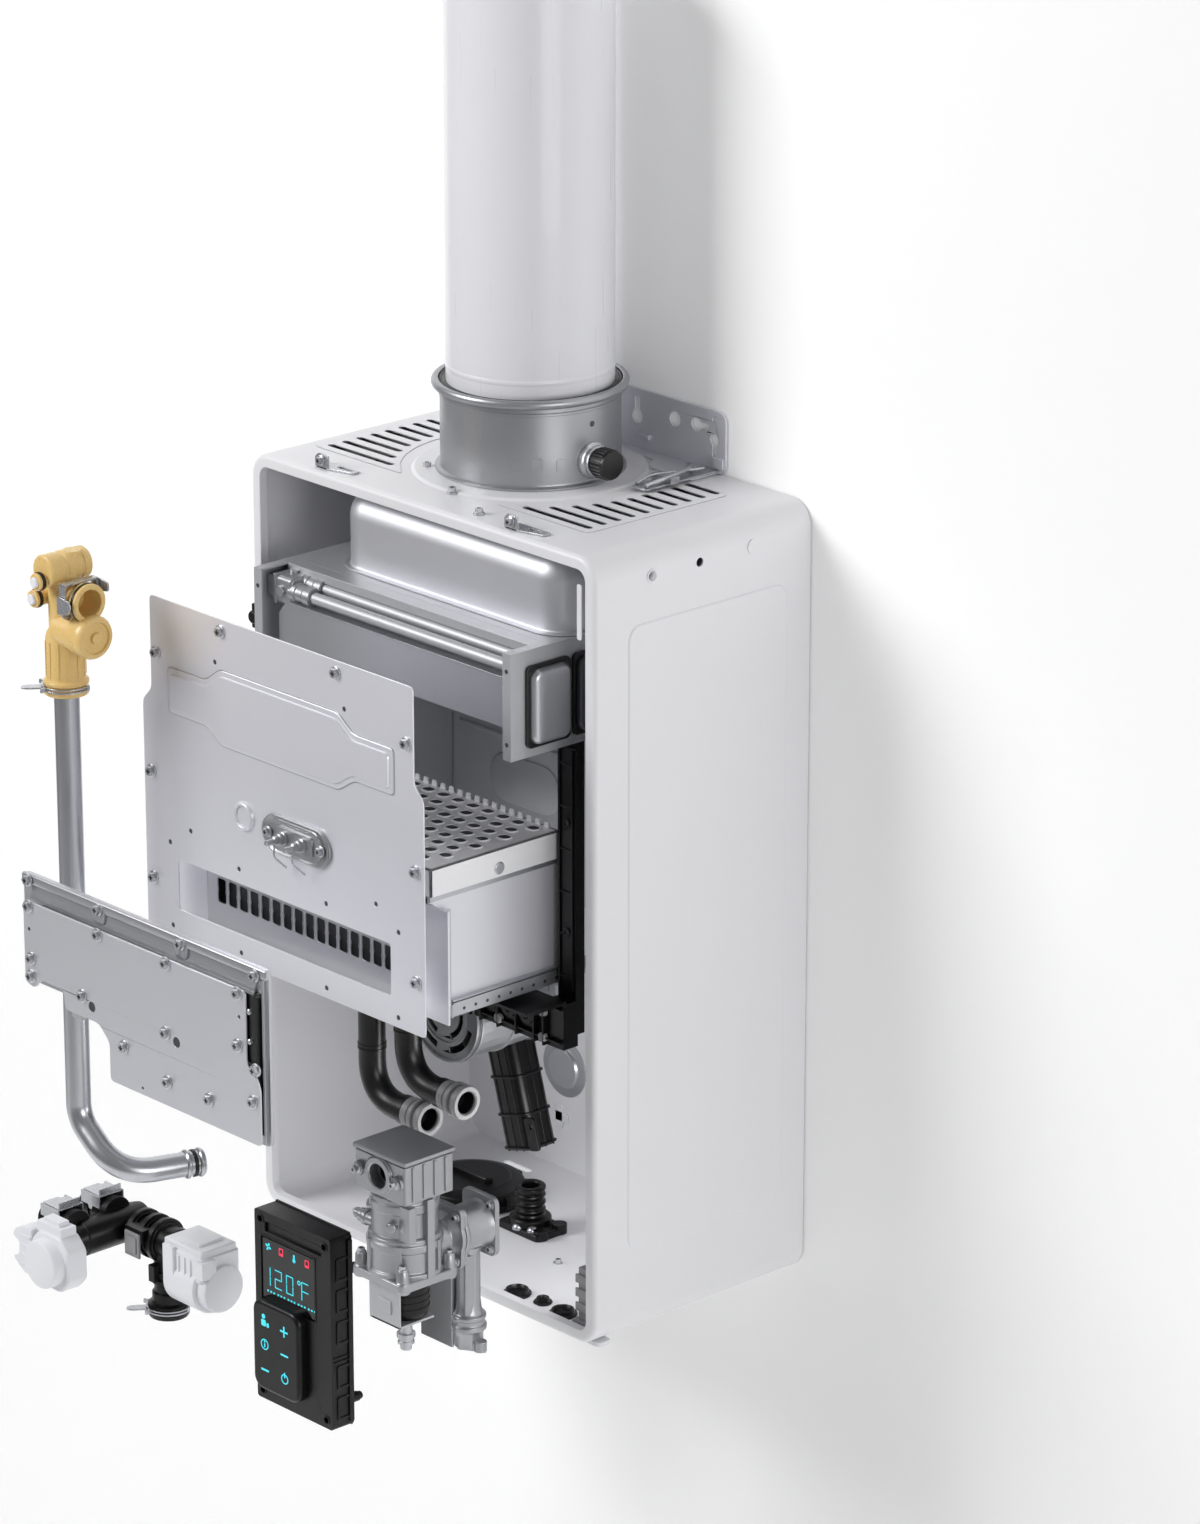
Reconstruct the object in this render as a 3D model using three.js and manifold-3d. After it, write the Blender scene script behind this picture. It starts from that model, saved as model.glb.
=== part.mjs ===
// A wall-hung tankless water heater with its front cover off, drawn out the way a service
// view shows it: the burner, front plate, gas cover, gas valve, water valves, outlet pipe
// and control panel each stand off the cabinet along the line on which they go home.
// Millimetres. +X to the right, -Y towards the viewer, +Z up.
import * as THREE from "three";
import { mergeVertices } from "three/addons/utils/BufferGeometryUtils.js";
import Module from "manifold-3d";

const wasm = await Module();
wasm.setup();

// General clearances and roundness
const gap = 0.3;
const overrun = 1;
const weld = 0.001;
const fineSides = 28;
const roundSides = 16;
const smallSides = 8;
const screwSides = 6;
const cornerSteps = 1;

// Cabinet
const cabinetWidth = 440;
const cabinetHeight = 705;
const cabinetDepth = 248;
const cabinetWall = 1.6;
const cabinetCorner = 22;
const lipWidth = 12;
const lipReturn = 8;
const lipCorner = 12;
const sidePanelRise = 1.2;
const sidePanelFrontInset = 38;
const sidePanelRearInset = 27;
const sidePanelTop = cabinetHeight - 65;
const sidePanelBottom = 78;
const sidePanelCorner = 14;
const sideHoleRadius = 4;
const sideHoleY = -129;
const sideHoleZ = cabinetHeight - 26;
const ventCount = 10;
const ventPitch = 16.2;
const ventWidth = 5;
const ventFrontY = -192;
const ventReach = 168;
const ventKeepOut = 126;
const ventRoundY = -98;

// Flue: collar, seal, vent pipe and test port
const flueX = -16;
const flueY = -105;
const flueSeatRadius = 101;
const flueSeatRise = 2;
const flueHoleRadius = 66;
const pipeRadius = 72.5;
const pipeWall = 1.5;
const pipeTop = cabinetHeight + 445;
const pipeSeatZ = cabinetHeight + 25;
const pipeBeadZ = cabinetHeight + 92;
const pipeBeadRise = 0.8;
const pipeBeadHeight = 4;
const collarRadius = 77.75;
const collarBore = 74.2;
const collarFootRadius = 82;
const collarSheet = 2;
const collarRimRadius = 85;
const collarRimZ = cabinetHeight + 73.5;
const collarTop = cabinetHeight + 82;
const collarRimBore = 79;
const collarSealZ = cabinetHeight + 75.5;
const sealHeight = 5;
const portY = flueY;
const portZ = cabinetHeight + 23.5;
const portFlangeRadius = 16;
const portFlangeThick = 5;
const portRadius = 10.5;
const portLength = 24;
const portBore = 7;
const capRadius = 13;
const capWall = 2;
const capLength = 16;
const capRecess = 10;

// Wall bracket, its strap and the two cover clips
const bracketWidth = 267;
const bracketSheet = 2;
const bracketTop = cabinetHeight + 55;
const bracketCorner = 9;
const bracketFoot = 34;
const bracketHoleShares = [
  [0.18, 0.52, 0.12],
  [0.53, 0.68, 0.12],
  [0.73, 0.72, 0.12],
  [0.89, 0.54, 0.11],
];
const bracketSlotShares = [
  [0.15, 0.2, 0.52, 0.84],
  [0.73, 0.83, 0.75, 0.84],
  [0.89, 0.92, 0.86, 0.95],
  [0.88, 0.91, 0.32, 0.54],
];
const strapX = 92;
const strapWidth = 16;
const strapLength = 88;
const strapSheet = 1.8;
const strapRodRadius = 2.6;
const clipLeftX = -134;
const clipRightX = 109;
const clipY = 8 - cabinetDepth;
const clipWidth = 17;
const clipDepth = 15;
const clipHeight = 13;
const clipTail = 34;
const clipSheet = 1.5;
const clipScrewRadius = 5;
const clipScrewLength = 4;

// Heat exchanger: frame, header, tubes, baffle, side covers and hood
const frameHalf = cabinetWidth / 2 - 55;
const frameFrontY = -291.5;
const frameRearY = -62;
const frameTop = 620.6;
const frameBottom = 527;
const frameSheet = 1.6;
const channelWidth = 10;
const channelDepth = 11;
const shelfOpening = 30;
const ledgeY = -248;
const ledgeDrop = 13;
const headerLength = 26;
const headerHeight = 24;
const headerTop = 614;
const headerFrontY = -272;
const headerDepth = 24;
const headerRound = 3;
const headerSocketLength = 22;
const headerSocketRadius = 8;
const tubeRadius = 5.2;
const rearTubeY = -260;
const rearTubeZ = 607;
const frontTubeY = -273;
const frontTubeZ = 602;
const baffleTop = 594;
const baffleBottom = 549;
const baffleLip = 6;
const baffleSheet = 1.4;
const baffleY = -281;
const baffleGusset = 18;
const coverHeight = 72;
const coverWidth = 49;
const coverBottom = 535;
const coverFrontInset = 16;
const coverPitch = 52;
const coverFlange = 1.4;
const coverBulge = 9;
const coverMargin = 2.5;
const coverCorner = 8;
const hoodLeft = -124;
const hoodRight = frameHalf - 2;
const hoodFrontY = -233;
const hoodRearY = -66;
const hoodTop = cabinetHeight - 15;
const hoodSheet = 1.6;
const hoodCorner = 17;
const hoodNeckRadius = 62;
const hoodNeckTop = cabinetHeight + 23;

// Chamber lining and the black side rail with its cross bracket
const liningFrontY = -288;
const liningRearY = -66;
const liningBottom = 300;
const liningSheet = 1.4;
const railLeft = frameHalf - 8;
const railWidth = 22;
const railDepth = 28;
const railFrontY = -232;
const railSheet = 2.5;
const crossY = -246;
const crossLeft = 66;
const crossBottom = 262;
const crossTop = 303;
const crossSheet = 3;
const crossHoleRadius = 5;
const shelfLeft = -52;
const shelfFrontY = -288;
const shelfSheet = 3;

// Combustion fan under the burner, and its intake duct
const fanX = 18;
const fanZ = 250;
const fanRadius = 46;
const fanWall = 2.5;
const fanFrontY = -237;
const fanRearY = -150;
const fanCoverThick = 2;
const fanSlotInner = 22;
const fanSlotOuter = 30;
const fanSlotCount = 3;
const fanSlotSweep = 1.25;
const fanHubHole = 9;
const fanOutletWidth = 36;
const fanArmThick = 5;
const motorRadius = 22;
const motorLength = 30;
const shaftRadius = 3;
const shaftClearance = 0.35;
const wheelRadius = 38;
const wheelHub = 8;
const wheelBlades = 12;
const wheelBladeThick = 1.2;
const wheelBladeInner = 26;
const wheelBladeLength = 52;
const wheelDisc = 2;
const wheelClearance = 6;
const ductWidth = 38;
const ductDepth = 32;
const ductLength = 108;
const ductCorner = 8;
const ductTilt = 0.285;
const ductTopX = 12;
const ductY = -160;
const ductTopZ = 212;
const ductRibs = 3;
const ductRibRise = 2;
const ductRibHeight = 3;
const ductRibPitch = 36;
const ductEar = 10;
const ductEarHeight = 30;
const ductEarThick = 3;

// Two drain hoses with grey couplings
const hoseY = -280;
const hoseRadius = 12;
const hoseTop = 302.7;
const hoseBend = 34;
const hoseX = -30;
const hosePitch = 48;
const hoseReach = 50;
const hoseLowZ = 168;
const hoseStagger = 30;
const hoseSteps = 14;
const couplingRadius = 13.6;
const couplingRing = 15.4;
const couplingLength = 26;
const couplingBore = 10;
const couplingNeck = 12.2;

// Cabinet floor: trap lid, drain fitting and rubber grommets
const trapX = -98;
const trapY = -106;
const trapRadius = 50;
const trapHeight = 20;
const trapLip = 6;
const trapDome = 10;
const drainX = -8;
const drainY = -116;
const drainPlateWidth = 62;
const drainPlateDepth = 38;
const drainPlateThick = 6;
const drainFlange = 19;
const drainFlangeZ = 15;
const drainNeck = 12;
const drainRing = 14;
const drainTop = 44;
const drainBore = 8;
const grommetRadius = 13;
const grommetSmallRadius = 8.5;
const grommetShares = [
  [0.4136, 0.891],
  [0.5455, 0.875],
  [0.6818, 0.891],
];
const grommetFlange = 2.2;
const grommetCoreInset = 3;
const grommetBoss = 3;

// Burner: box, deck, port row and tray, drawn out on the exchanger's line
const boxHalf = frameHalf - 15;
const boxSheet = 1.5;
const boxFrontY = -370;
const boxRearY = -206;
const boxBottom = 317.5;
const boxTop = 424;
const boxFlangeHalf = frameHalf + 11;
const boxFlangeTop = 418;
const boxFlangeSheet = 2;
const boxWindowHalf = boxHalf - 12;
const boxWindowBottom = 338;
const boxWindowTop = 392;
const deckHalf = boxHalf + 4;
const deckTop = 449;
const deckFrontY = -371;
const deckRearY = -228;
const deckSheet = 2;
const deckSkirt = 24;
const portCount = 16;
const portPitch = (boxWindowHalf * 2) / 18.9;
const portWidth = portPitch * 0.705;
const portHeight = 18;
const portCentreX = -8;
const portCentreZ = 357;
const portCut = 2.5;
const portSheet = 2;
const portFootDepth = 12;
const trayHalf = boxHalf + 3;
const trayFrontY = -348;
const trayRearY = -216;
const trayBottom = 312;
const traySheet = 1.2;
const trayLip = 12;

// Front plate with its sight ring, and the igniter plate with two electrodes
const plateHalf = frameHalf + 17;
const plateNarrowHalf = frameHalf + 5;
const plateBottom = 316;
const plateShoulder = 523;
const plateTop = 619;
const plateRearY = -401.2;
const plateSheet = 1.6;
const plateCorner = 4;
const plateWindowHalf = boxWindowHalf + 1;
const plateWindowBottom = 342;
const plateWindowTop = 388;
const plateScrewRadius = 5.2;
const plateScrewHead = 3.4;
const plateScrewShares = [
  [0.41, 0.965],
  [0.89, 0.835],
  [0.945, 0.475],
  [0.945, 0.155],
];
const plateHoleShares = [
  [0.46, 0.868],
  [0.665, 0.337],
  [0.82, 0.28],
  [0.313, 0.28],
  [0.308, 0.03],
  [0.813, 0.03],
];
const plateHoleRadius = 2.2;
const embossRise = 2.6;
const embossOuter = plateHalf - 36;
const embossOuterLow = 520;
const embossOuterHigh = 560;
const embossInner = 76;
const embossInnerLow = 507;
const embossInnerHigh = 574;
const embossKnee = 96;
const sightX = -48;
const sightZ = 451;
const sightRadius = 12.5;
const sightBore = 9;
const sightRise = 3;
const igniterX = 22;
const igniterZ = 448;
const igniterWidth = 88;
const igniterHeight = 34;
const igniterCut = 9;
const igniterThick = 3;
const igniterScrewSpread = 34;
const electrodeSpread = 12;
const electrodeRadius = 4;
const electrodeTip = 2;
const electrodeLength = 14;
const electrodeTipLength = 8;

// Gas cover: two pressed plates on a gasket, in front of the front plate
const gasHalf = frameHalf - 4;
const gasTop = 409;
const gasBottom = 254;
const gasLeftBottom = 312;
const gasStepX = -42;
const gasRearY = -548.5;
const gasBackSheet = 3.5;
const gasGasketThick = 2;
const gasFrontSheet = 3.5;
const gasFrontInset = 12;
const gasFrontLow = 3;
const gasFrontTop = 393;
const gasPocketRise = 4.5;
const gasPocketInset = 13;
const gasCut = 10;
const gasRidgeBottom = 397;
const gasRidgeRise = 3;
const gasWindowHalf = gasHalf - 27;
const gasWindowBottom = 340;
const gasWindowTop = 381;
const gasGasketBorder = 7;
const gasScrewRadius = 4.6;
const gasScrewHead = 3;
const gasTopScrewShares = [-0.885, -0.31, 0.39, 0.95];
const gasTopScrewZ = 403;
const gasFrontScrewShares = [
  [-0.885, 0.845],
  [-0.3, 0.85],
  [0.26, 0.855],
  [0.83, 0.855],
  [-0.885, 0.445],
  [-0.46, 0.445],
  [-0.105, 0.26],
  [0.24, 0.16],
  [0.58, 0.165],
  [0.88, 0.265],
  [0.82, 0.55],
];

// Outlet tee in moulded plastic with its steel pipe and clips
const teeX = -198;
const teeY = -472;
const teeBodyRadius = 13.5;
const teeBodyTop = 650;
const teeSocketRadius = 17;
const teeSocketTop = 592;
const teeSocketBottom = 548;
const teeFlareRadius = 19.5;
const teeFlareBottom = 540;
const teeFlareTop = 553;
const teePortZ = 627;
const teePortRadius = 17;
const teePortNeck = 13.5;
const teePortReach = 36;
const teePortRing = 17;
const teePortBore = 12;
const teePortBoreDepth = 24;
const teePlugZ = 598;
const teePlugRadius = 19;
const teePlugReach = 44;
const teeHeadZ = 652;
const teeHeadRadius = 14;
const teeHeadLength = 44;
const teeSpoutRadius = 7;
const teeSpoutLength = 8;
const teeSpoutBore = 4.5;
const teeSideSpoutX = 15;
const teeSideSpoutZ = 624;
const pipeTubeRadius = 11;
const pipeTubeTop = 566;
const pipeTubeKneeZ = 152;
const pipeTubeCornerX = 52;
const pipeTubeLow = 112;
const pipeTubeEndX = 78;
const pipeTubeEndY = 73;
const pipeTubeBend = 30;
const pipeTubeSteps = 22;
const pipeTubeBore = 9.6;
const pipeTubeBoreDepth = 18;
const pipeBeadRadius = 13;
const pipeBeadWidth = 3;
const clipBand = 2.2;
const clipBandHeight = 4;
const clipBandGap = 0.9;
const clipTabLength = 17;
const clipTabWidth = 8;

// Water valve assembly: moulded run with two sockets, a tee, and two motors
const waterX = -176.5;
const waterY = -395;
const waterZ = 17.5;
const runRadius = 15;
const runRight = 18;
const legX = -51;
const legZ = 3;
const legRadius = 16.5;
const legLength = 78;
const runRingRadius = 20.5;
const runRingShares = [0.7, 0.39, 0.12];
const runRingWidth = 6;
const socketShares = [0.19, 0.77];
const socketRise = 12;
const socketRadius = 15;
const socketReach = 38;
const socketBore = 11;
const socketBoreDepth = 14;
const dropRadius = 12.5;
const dropLength = 70;
const dropRingZ = -32;
const dropRingRadius = 14.5;
const dropRingHeight = 4;
const dropFlareRadius = 18.5;
const dropFlareTop = -46;
const dropFlareMid = -58;
const dropBore = 9;
const dropBoreDepth = 20;
const frontTabX = -30;
const frontTabWidth = 24;
const frontTabHeight = 27;
const frontTabThick = 3;
const actuatorRadius = 22;
const actuatorBody = 26;
const actuatorLength = 34;
const actuatorStep = 12;
const leftMotorX = 11;
const leftMotorZ = -6;
const leftPlugReach = 52;
const leftPlugWidth = 18;
const leftPlugHeight = 44;
const rightMotorStart = 45;
const rightMotorZ = -21;
const rightCapWidth = 56;
const rightCapDepth = 44;
const rightCapHeight = 20;
const rightCapZ = 7;
const drainClipZ = -60;
const drainClipTab = 19;

// Control panel
const panelX = 50;
const panelFrontY = -440;
const panelZ = 31;
const panelWidth = 100;
const panelHeight = 176;
const panelDepth = 25;
const panelCorner = 3;
const panelHoleInset = 8;
const panelHoleRadius = 3;
const panelRecess = 2.4;
const glassWidth = 68;
const glassHeight = 56;
const glassLeftInset = 10;
const glassTopInset = 24;
const glassThick = 2;
const slotHeight = 9;
const slotWidth = 72;
const slotTopInset = 9;
const slotDepth = 4;
const keypadWidth = 62;
const keypadHeight = 84;
const keypadLeftInset = 5;
const keypadBottomInset = 6;
const keypadRise = 9;
const keypadCorner = 12;
const railSlotDepth = 3;
const railSlotHeight = 22;
const railSlotWidth = 10;
const railSlotCount = 5;
const railSlotPitch = 29;
const standoffRadius = 4.5;
const standoffLength = 11;
const standoffInset = 10;

// Gas valve, its solenoid, and the gas tube behind it
const valveX = 167.5;
const valveY = -415;
const valveBaseZ = 106;
const valveBaseWidth = 67;
const valveBaseDepth = 65;
const valveBaseThick = 8;
const valveBaseCorner = 7;
const valveBaseBossRadius = 5;
const valveBaseBossHeight = 12;
const valveLowerRadius = 31;
const valveLowerTop = 146;
const valveUpperRadius = 28;
const valveUpperTop = 181.7;
const valveRibWidth = 6;
const valveRibDepth = 8;
const valveSideNippleZ = 150;
const valveSideNippleRadius = 6;
const valveSideNippleReach = 48;
const headWidth = 64;
const headDepth = 54;
const headHeight = 39;
const headCapThick = 3;
const headCapOverhang = 1.5;
const headPortRadius = 16;
const headPortRise = 3;
const headPortBore = 10.5;
const headPortDrop = 20;
const headPortDepth = 30;
const headScrewSpread = 24;
const headScrewRadius = 3.4;
const headScrewLength = 9;
const neckZ = 127;
const neckRadius = 15;
const neckEndY = -366;
const neckFlangeRadius = 23;
const neckFlangeThick = 4;
const coilRadius = 20;
const coilHeight = 38;
const coilNippleRadius = 5.5;
const coilNippleBottom = 35;
const coilNippleRing = 8;
const coilYokeWidth = 36;
const coilYokeSheet = 2.5;
const tubeY = -345;
const elbowRadius = 20;
const elbowLength = 38;
const gasTubeRadius = 10.5;
const gasFlangeWidth = 42;
const gasFlangeHeight = 54;
const gasFlangeThick = 4;
const gasSocketRadius = 14;
const gasSocketBottom = 33;
const gasSocketTop = 47;
const gasFootWidth = 46;
const gasFootDepth = 34;
const gasFootThick = 8;
const gasFootBottom = 16.5;
const gasBracketLeft = -46;
const gasBracketSheet = 3;
const gasBracketTop = 92;

// Finishes
const whiteEnamel = { color: 0xe9e9ec, roughness: 0.35, metalness: 0.1 };
const zincSteel = { color: 0x9d9da1, roughness: 0.45, metalness: 0.8 };
const ventPlastic = { color: 0xe4e4e8, roughness: 0.4, metalness: 0 };
const blackRubber = { color: 0x1c1c1d, roughness: 0.6, metalness: 0 };
const blackPlastic = { color: 0x222224, roughness: 0.4, metalness: 0 };
const satinSteel = { color: 0xc8c9cf, roughness: 0.3, metalness: 0.9 };
const brightSteel = { color: 0xd4d5da, roughness: 0.2, metalness: 0.95 };
const plateSteel = { color: 0xbdbdc3, roughness: 0.4, metalness: 0.7 };
const castAluminium = { color: 0x9c9b9b, roughness: 0.5, metalness: 0.7 };
const darkSteel = { color: 0x5c5c5c, roughness: 0.5, metalness: 0.7 };
const creamPlastic = { color: 0xe2c58a, roughness: 0.4, metalness: 0 };
const whitePlastic = { color: 0xe4e5ea, roughness: 0.45, metalness: 0 };
const greyPlastic = { color: 0x8e8e90, roughness: 0.5, metalness: 0 };
const smokedGlass = { color: 0x101216, roughness: 0.1, metalness: 0 };

// Tools for making solids

function solidOf(source) {
  if (!source.isBufferGeometry) return source;
  const bare = source.clone();
  bare.deleteAttribute("normal");
  bare.deleteAttribute("uv");
  const welded = mergeVertices(bare, weld);
  const vertProperties = welded.attributes.position.array;
  const triVerts = Uint32Array.from(welded.index.array);
  const solid = new wasm.Manifold(new wasm.Mesh({ numProp: 3, vertProperties, triVerts }));
  if (solid.volume() > 0) return solid;
  triVerts.reverse();
  return new wasm.Manifold(new wasm.Mesh({ numProp: 3, vertProperties, triVerts }));
}

function join(...sources) {
  return sources.map(solidOf).reduce((whole, next) => whole.add(next));
}

function cut(source, ...tools) {
  return tools.map(solidOf).reduce((whole, tool) => whole.subtract(tool), solidOf(source));
}

function common(...sources) {
  return sources.map(solidOf).reduce((whole, next) => whole.intersect(next));
}

function piece(name, source, finish) {
  const data = solidOf(source).getMesh();
  const geometry = new THREE.BufferGeometry();
  geometry.setAttribute("position", new THREE.BufferAttribute(data.vertProperties, 3));
  geometry.setIndex(new THREE.BufferAttribute(data.triVerts, 1));
  geometry.computeVertexNormals();
  const mesh = new THREE.Mesh(geometry, new THREE.MeshStandardMaterial(finish));
  mesh.name = name;
  return mesh;
}

function block(x, y, z) {
  const geometry = new THREE.BoxGeometry(x[1] - x[0], y[1] - y[0], z[1] - z[0]);
  return geometry.translate((x[0] + x[1]) / 2, (y[0] + y[1]) / 2, (z[0] + z[1]) / 2);
}

// A shape made about the upright axis, laid along X, Y or Z through a point of the other two.
function lay(geometry, axis, centre) {
  const [first, second] = centre;
  if (axis === "x") return geometry.rotateZ(-Math.PI / 2).translate(0, first, second);
  if (axis === "y") return geometry.translate(first, 0, second);
  return geometry.rotateX(Math.PI / 2).translate(first, second, 0);
}

function rod(axis, radius, span, centre, sides = roundSides) {
  const length = span[1] - span[0];
  const geometry = new THREE.CylinderGeometry(radius, radius, length, sides);
  return lay(geometry.translate(0, span[0] + length / 2, 0), axis, centre);
}

// A turned solid from its outline of [radius, place along the axis] points.
function turned(axis, outline, centre, sides = roundSides) {
  const points = outline.map(([radius, along]) => new THREE.Vector2(radius, along));
  if (outline[0][0] > 0) points.push(points[0].clone());
  return lay(new THREE.LatheGeometry(points, sides), axis, centre);
}

function polygon(points) {
  return new THREE.Shape(points.map(([u, v]) => new THREE.Vector2(u, v)));
}

function rounded(u, v, radius, Outline = THREE.Shape) {
  const outline = new Outline();
  outline.moveTo(u[0] + radius, v[0]);
  outline.absarc(u[1] - radius, v[0] + radius, radius, -Math.PI / 2, 0);
  outline.absarc(u[1] - radius, v[1] - radius, radius, 0, Math.PI / 2);
  outline.absarc(u[0] + radius, v[1] - radius, radius, Math.PI / 2, Math.PI);
  outline.absarc(u[0] + radius, v[0] + radius, radius, Math.PI, Math.PI * 1.5);
  return outline;
}

// A rectangle with its corners cut off at 45 degrees.
function chamfered(u, v, corner, Outline = THREE.Shape) {
  return new Outline([
    [u[0] + corner, v[0]], [u[1] - corner, v[0]], [u[1], v[0] + corner],
    [u[1], v[1] - corner], [u[1] - corner, v[1]], [u[0] + corner, v[1]],
    [u[0], v[1] - corner], [u[0], v[0] + corner],
  ].map(([along, up]) => new THREE.Vector2(along, up)));
}

// A flat outline given thickness: seen from the front (X, Z), from above (X, Y) or from
// the right (Y, Z). The span is along the axis that it faces.
function facingFront(shape, span, curveSegments = cornerSteps) {
  const depth = span[1] - span[0];
  const geometry = new THREE.ExtrudeGeometry(shape, { depth, bevelEnabled: false, curveSegments });
  return geometry.rotateX(Math.PI / 2).translate(0, span[1], 0);
}

function facingUp(shape, span, curveSegments = cornerSteps) {
  const depth = span[1] - span[0];
  const geometry = new THREE.ExtrudeGeometry(shape, { depth, bevelEnabled: false, curveSegments });
  return geometry.translate(0, 0, span[0]);
}

function facingRight(shape, span, curveSegments = cornerSteps) {
  const depth = span[1] - span[0];
  const geometry = new THREE.ExtrudeGeometry(shape, { depth, bevelEnabled: false, curveSegments });
  return geometry.rotateX(Math.PI / 2).rotateZ(Math.PI / 2).translate(span[0], 0, 0);
}

// A line of straight runs with a round bend at each inner point.
function bentPath(points, bend) {
  const path = new THREE.CurvePath();
  let from = points[0];
  for (let i = 1; i < points.length - 1; i += 1) {
    const corner = points[i];
    const before = corner.clone().addScaledVector(
      corner.clone().sub(points[i - 1]).normalize(), -bend);
    const after = corner.clone().addScaledVector(
      points[i + 1].clone().sub(corner).normalize(), bend);
    path.add(new THREE.LineCurve3(from, before));
    path.add(new THREE.QuadraticBezierCurve3(before, corner, after));
    from = after;
  }
  path.add(new THREE.LineCurve3(from, points[points.length - 1]));
  return path;
}

function tubeAlong(path, radius, steps, sides = smallSides) {
  const section = new THREE.Shape();
  section.absarc(0, 0, radius, 0, Math.PI * 2);
  return new THREE.ExtrudeGeometry(section, {
    steps, extrudePath: path, curveSegments: sides / 2, bevelEnabled: false,
  });
}

function group(...children) {
  const made = new THREE.Group();
  made.add(...children.flat());
  return made;
}

// The floor's grommets stand in a row near the front, the middle one a smaller size.
const grommetPlaces = grommetShares.map(([across, deep], i) => ({
  x: across * cabinetWidth / 2,
  y: -deep * cabinetDepth,
  radius: i === 1 ? grommetSmallRadius : grommetRadius,
}));

// Cabinet

function cabinetOutline(inset, radius) {
  const half = cabinetWidth / 2 - inset;
  return rounded([-half, half], [inset, cabinetHeight - inset], radius);
}

// The front slots end short of a circle round the flue, so they get longer towards the front.
function ventSlots() {
  const slots = [];
  for (let i = 0; i < ventCount; i += 1) {
    const y = ventFrontY + i * ventPitch;
    const away = Math.min(y - ventRoundY, 0);
    const inner = Math.sqrt(ventKeepOut ** 2 - away ** 2);
    for (const side of [-1, 1]) {
      const ends = [flueX + side * inner, flueX + side * ventReach].sort((a, b) => a - b);
      slots.push(block(ends, [y, y + ventWidth],
        [cabinetHeight - cabinetWall - overrun, cabinetHeight + overrun]));
    }
  }
  return slots;
}

function sidePanels() {
  const panel = rounded([-cabinetDepth + sidePanelFrontInset, -sidePanelRearInset],
    [sidePanelBottom, sidePanelTop], sidePanelCorner);
  const half = cabinetWidth / 2;
  return [
    facingRight(panel, [half - cabinetWall / 2, half + sidePanelRise]),
    facingRight(panel, [-half - sidePanelRise, -half + cabinetWall / 2]),
  ];
}

function cabinetShell() {
  const opening = cabinetOutline(lipWidth, lipCorner);
  const shell = cut(
    facingFront(cabinetOutline(0, cabinetCorner), [-cabinetDepth, 0]),
    facingFront(cabinetOutline(cabinetWall, cabinetCorner - cabinetWall),
      [-cabinetDepth + cabinetWall, -cabinetWall]),
    facingFront(opening, [-cabinetDepth - overrun, -cabinetDepth + cabinetWall + overrun]),
  );
  const collarFrame = cut(
    facingFront(cabinetOutline(lipWidth - cabinetWall, lipCorner),
      [-cabinetDepth, -cabinetDepth + lipReturn]),
    facingFront(opening, [-cabinetDepth - overrun, -cabinetDepth + lipReturn + overrun]),
  );
  const seat = rod("z", flueSeatRadius, [cabinetHeight - cabinetWall / 2,
    cabinetHeight + flueSeatRise], [flueX, flueY], fineSides);
  const flueHole = rod("z", flueHoleRadius, [cabinetHeight - cabinetWall - overrun,
    cabinetHeight + flueSeatRise + overrun], [flueX, flueY], fineSides);
  const sideHole = rod("x", sideHoleRadius, [cabinetWidth / 2 - cabinetWall - overrun,
    cabinetWidth / 2 + overrun], [sideHoleY, sideHoleZ], smallSides);
  const floorHoles = grommetPlaces.map(({ x, y, radius }) => rod("z",
    radius - grommetCoreInset + gap, [-overrun, cabinetWall + overrun], [x, y]));
  return piece("cabinet_shell",
    cut(join(shell, collarFrame, seat, ...sidePanels()), flueHole, sideHole,
      ...floorHoles, ...ventSlots()), whiteEnamel);
}

// Wall bracket, strap and cover clips

function wallBracket() {
  const half = bracketWidth / 2;
  const bottom = cabinetHeight + gap;
  const height = bracketTop - bottom;
  const through = [-bracketSheet - overrun, overrun];
  const outline = rounded([flueX - half, flueX + half], [bottom, bracketTop], bracketCorner);
  const foot = block([flueX - half + bracketCorner, flueX + half - bracketCorner],
    [-bracketFoot, 0], [bottom, bottom + bracketSheet]);
  const flueClear = rod("z", flueSeatRadius + gap, [bottom - overrun, bracketTop],
    [flueX, flueY], fineSides);
  const holes = [-1, 1].flatMap((side) => [
    ...bracketHoleShares.map(([across, up, radius]) => rod("y", radius * height, through,
      [flueX + side * across * half, bottom + up * height], smallSides)),
    ...bracketSlotShares.map(([from, to, low, high]) => block(
      [flueX + side * (side > 0 ? from : to) * half, flueX + side * (side > 0 ? to : from) * half],
      through, [bottom + low * height, bottom + high * height])),
  ]);
  return piece("wall_bracket", cut(join(facingFront(outline, [-bracketSheet, 0]),
    cut(foot, flueClear)), ...holes), zincSteel);
}

function bracketStrap() {
  const deckZ = cabinetHeight + gap + bracketSheet + gap;
  const left = strapX;
  const right = strapX + strapWidth;
  const frontY = -strapLength;
  const rearY = -bracketSheet - gap;
  const flat = block([left, right], [frontY, rearY], [deckZ, deckZ + strapSheet]);
  const step = block([left, right], [frontY, frontY + strapWidth / 2],
    [cabinetHeight + flueSeatRise + gap, deckZ + strapSheet]);
  const rolled = rod("y", strapRodRadius, [frontY, rearY],
    [right, deckZ + strapRodRadius], smallSides);
  return piece("bracket_strap", join(flat, step, rolled), brightSteel);
}

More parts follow.
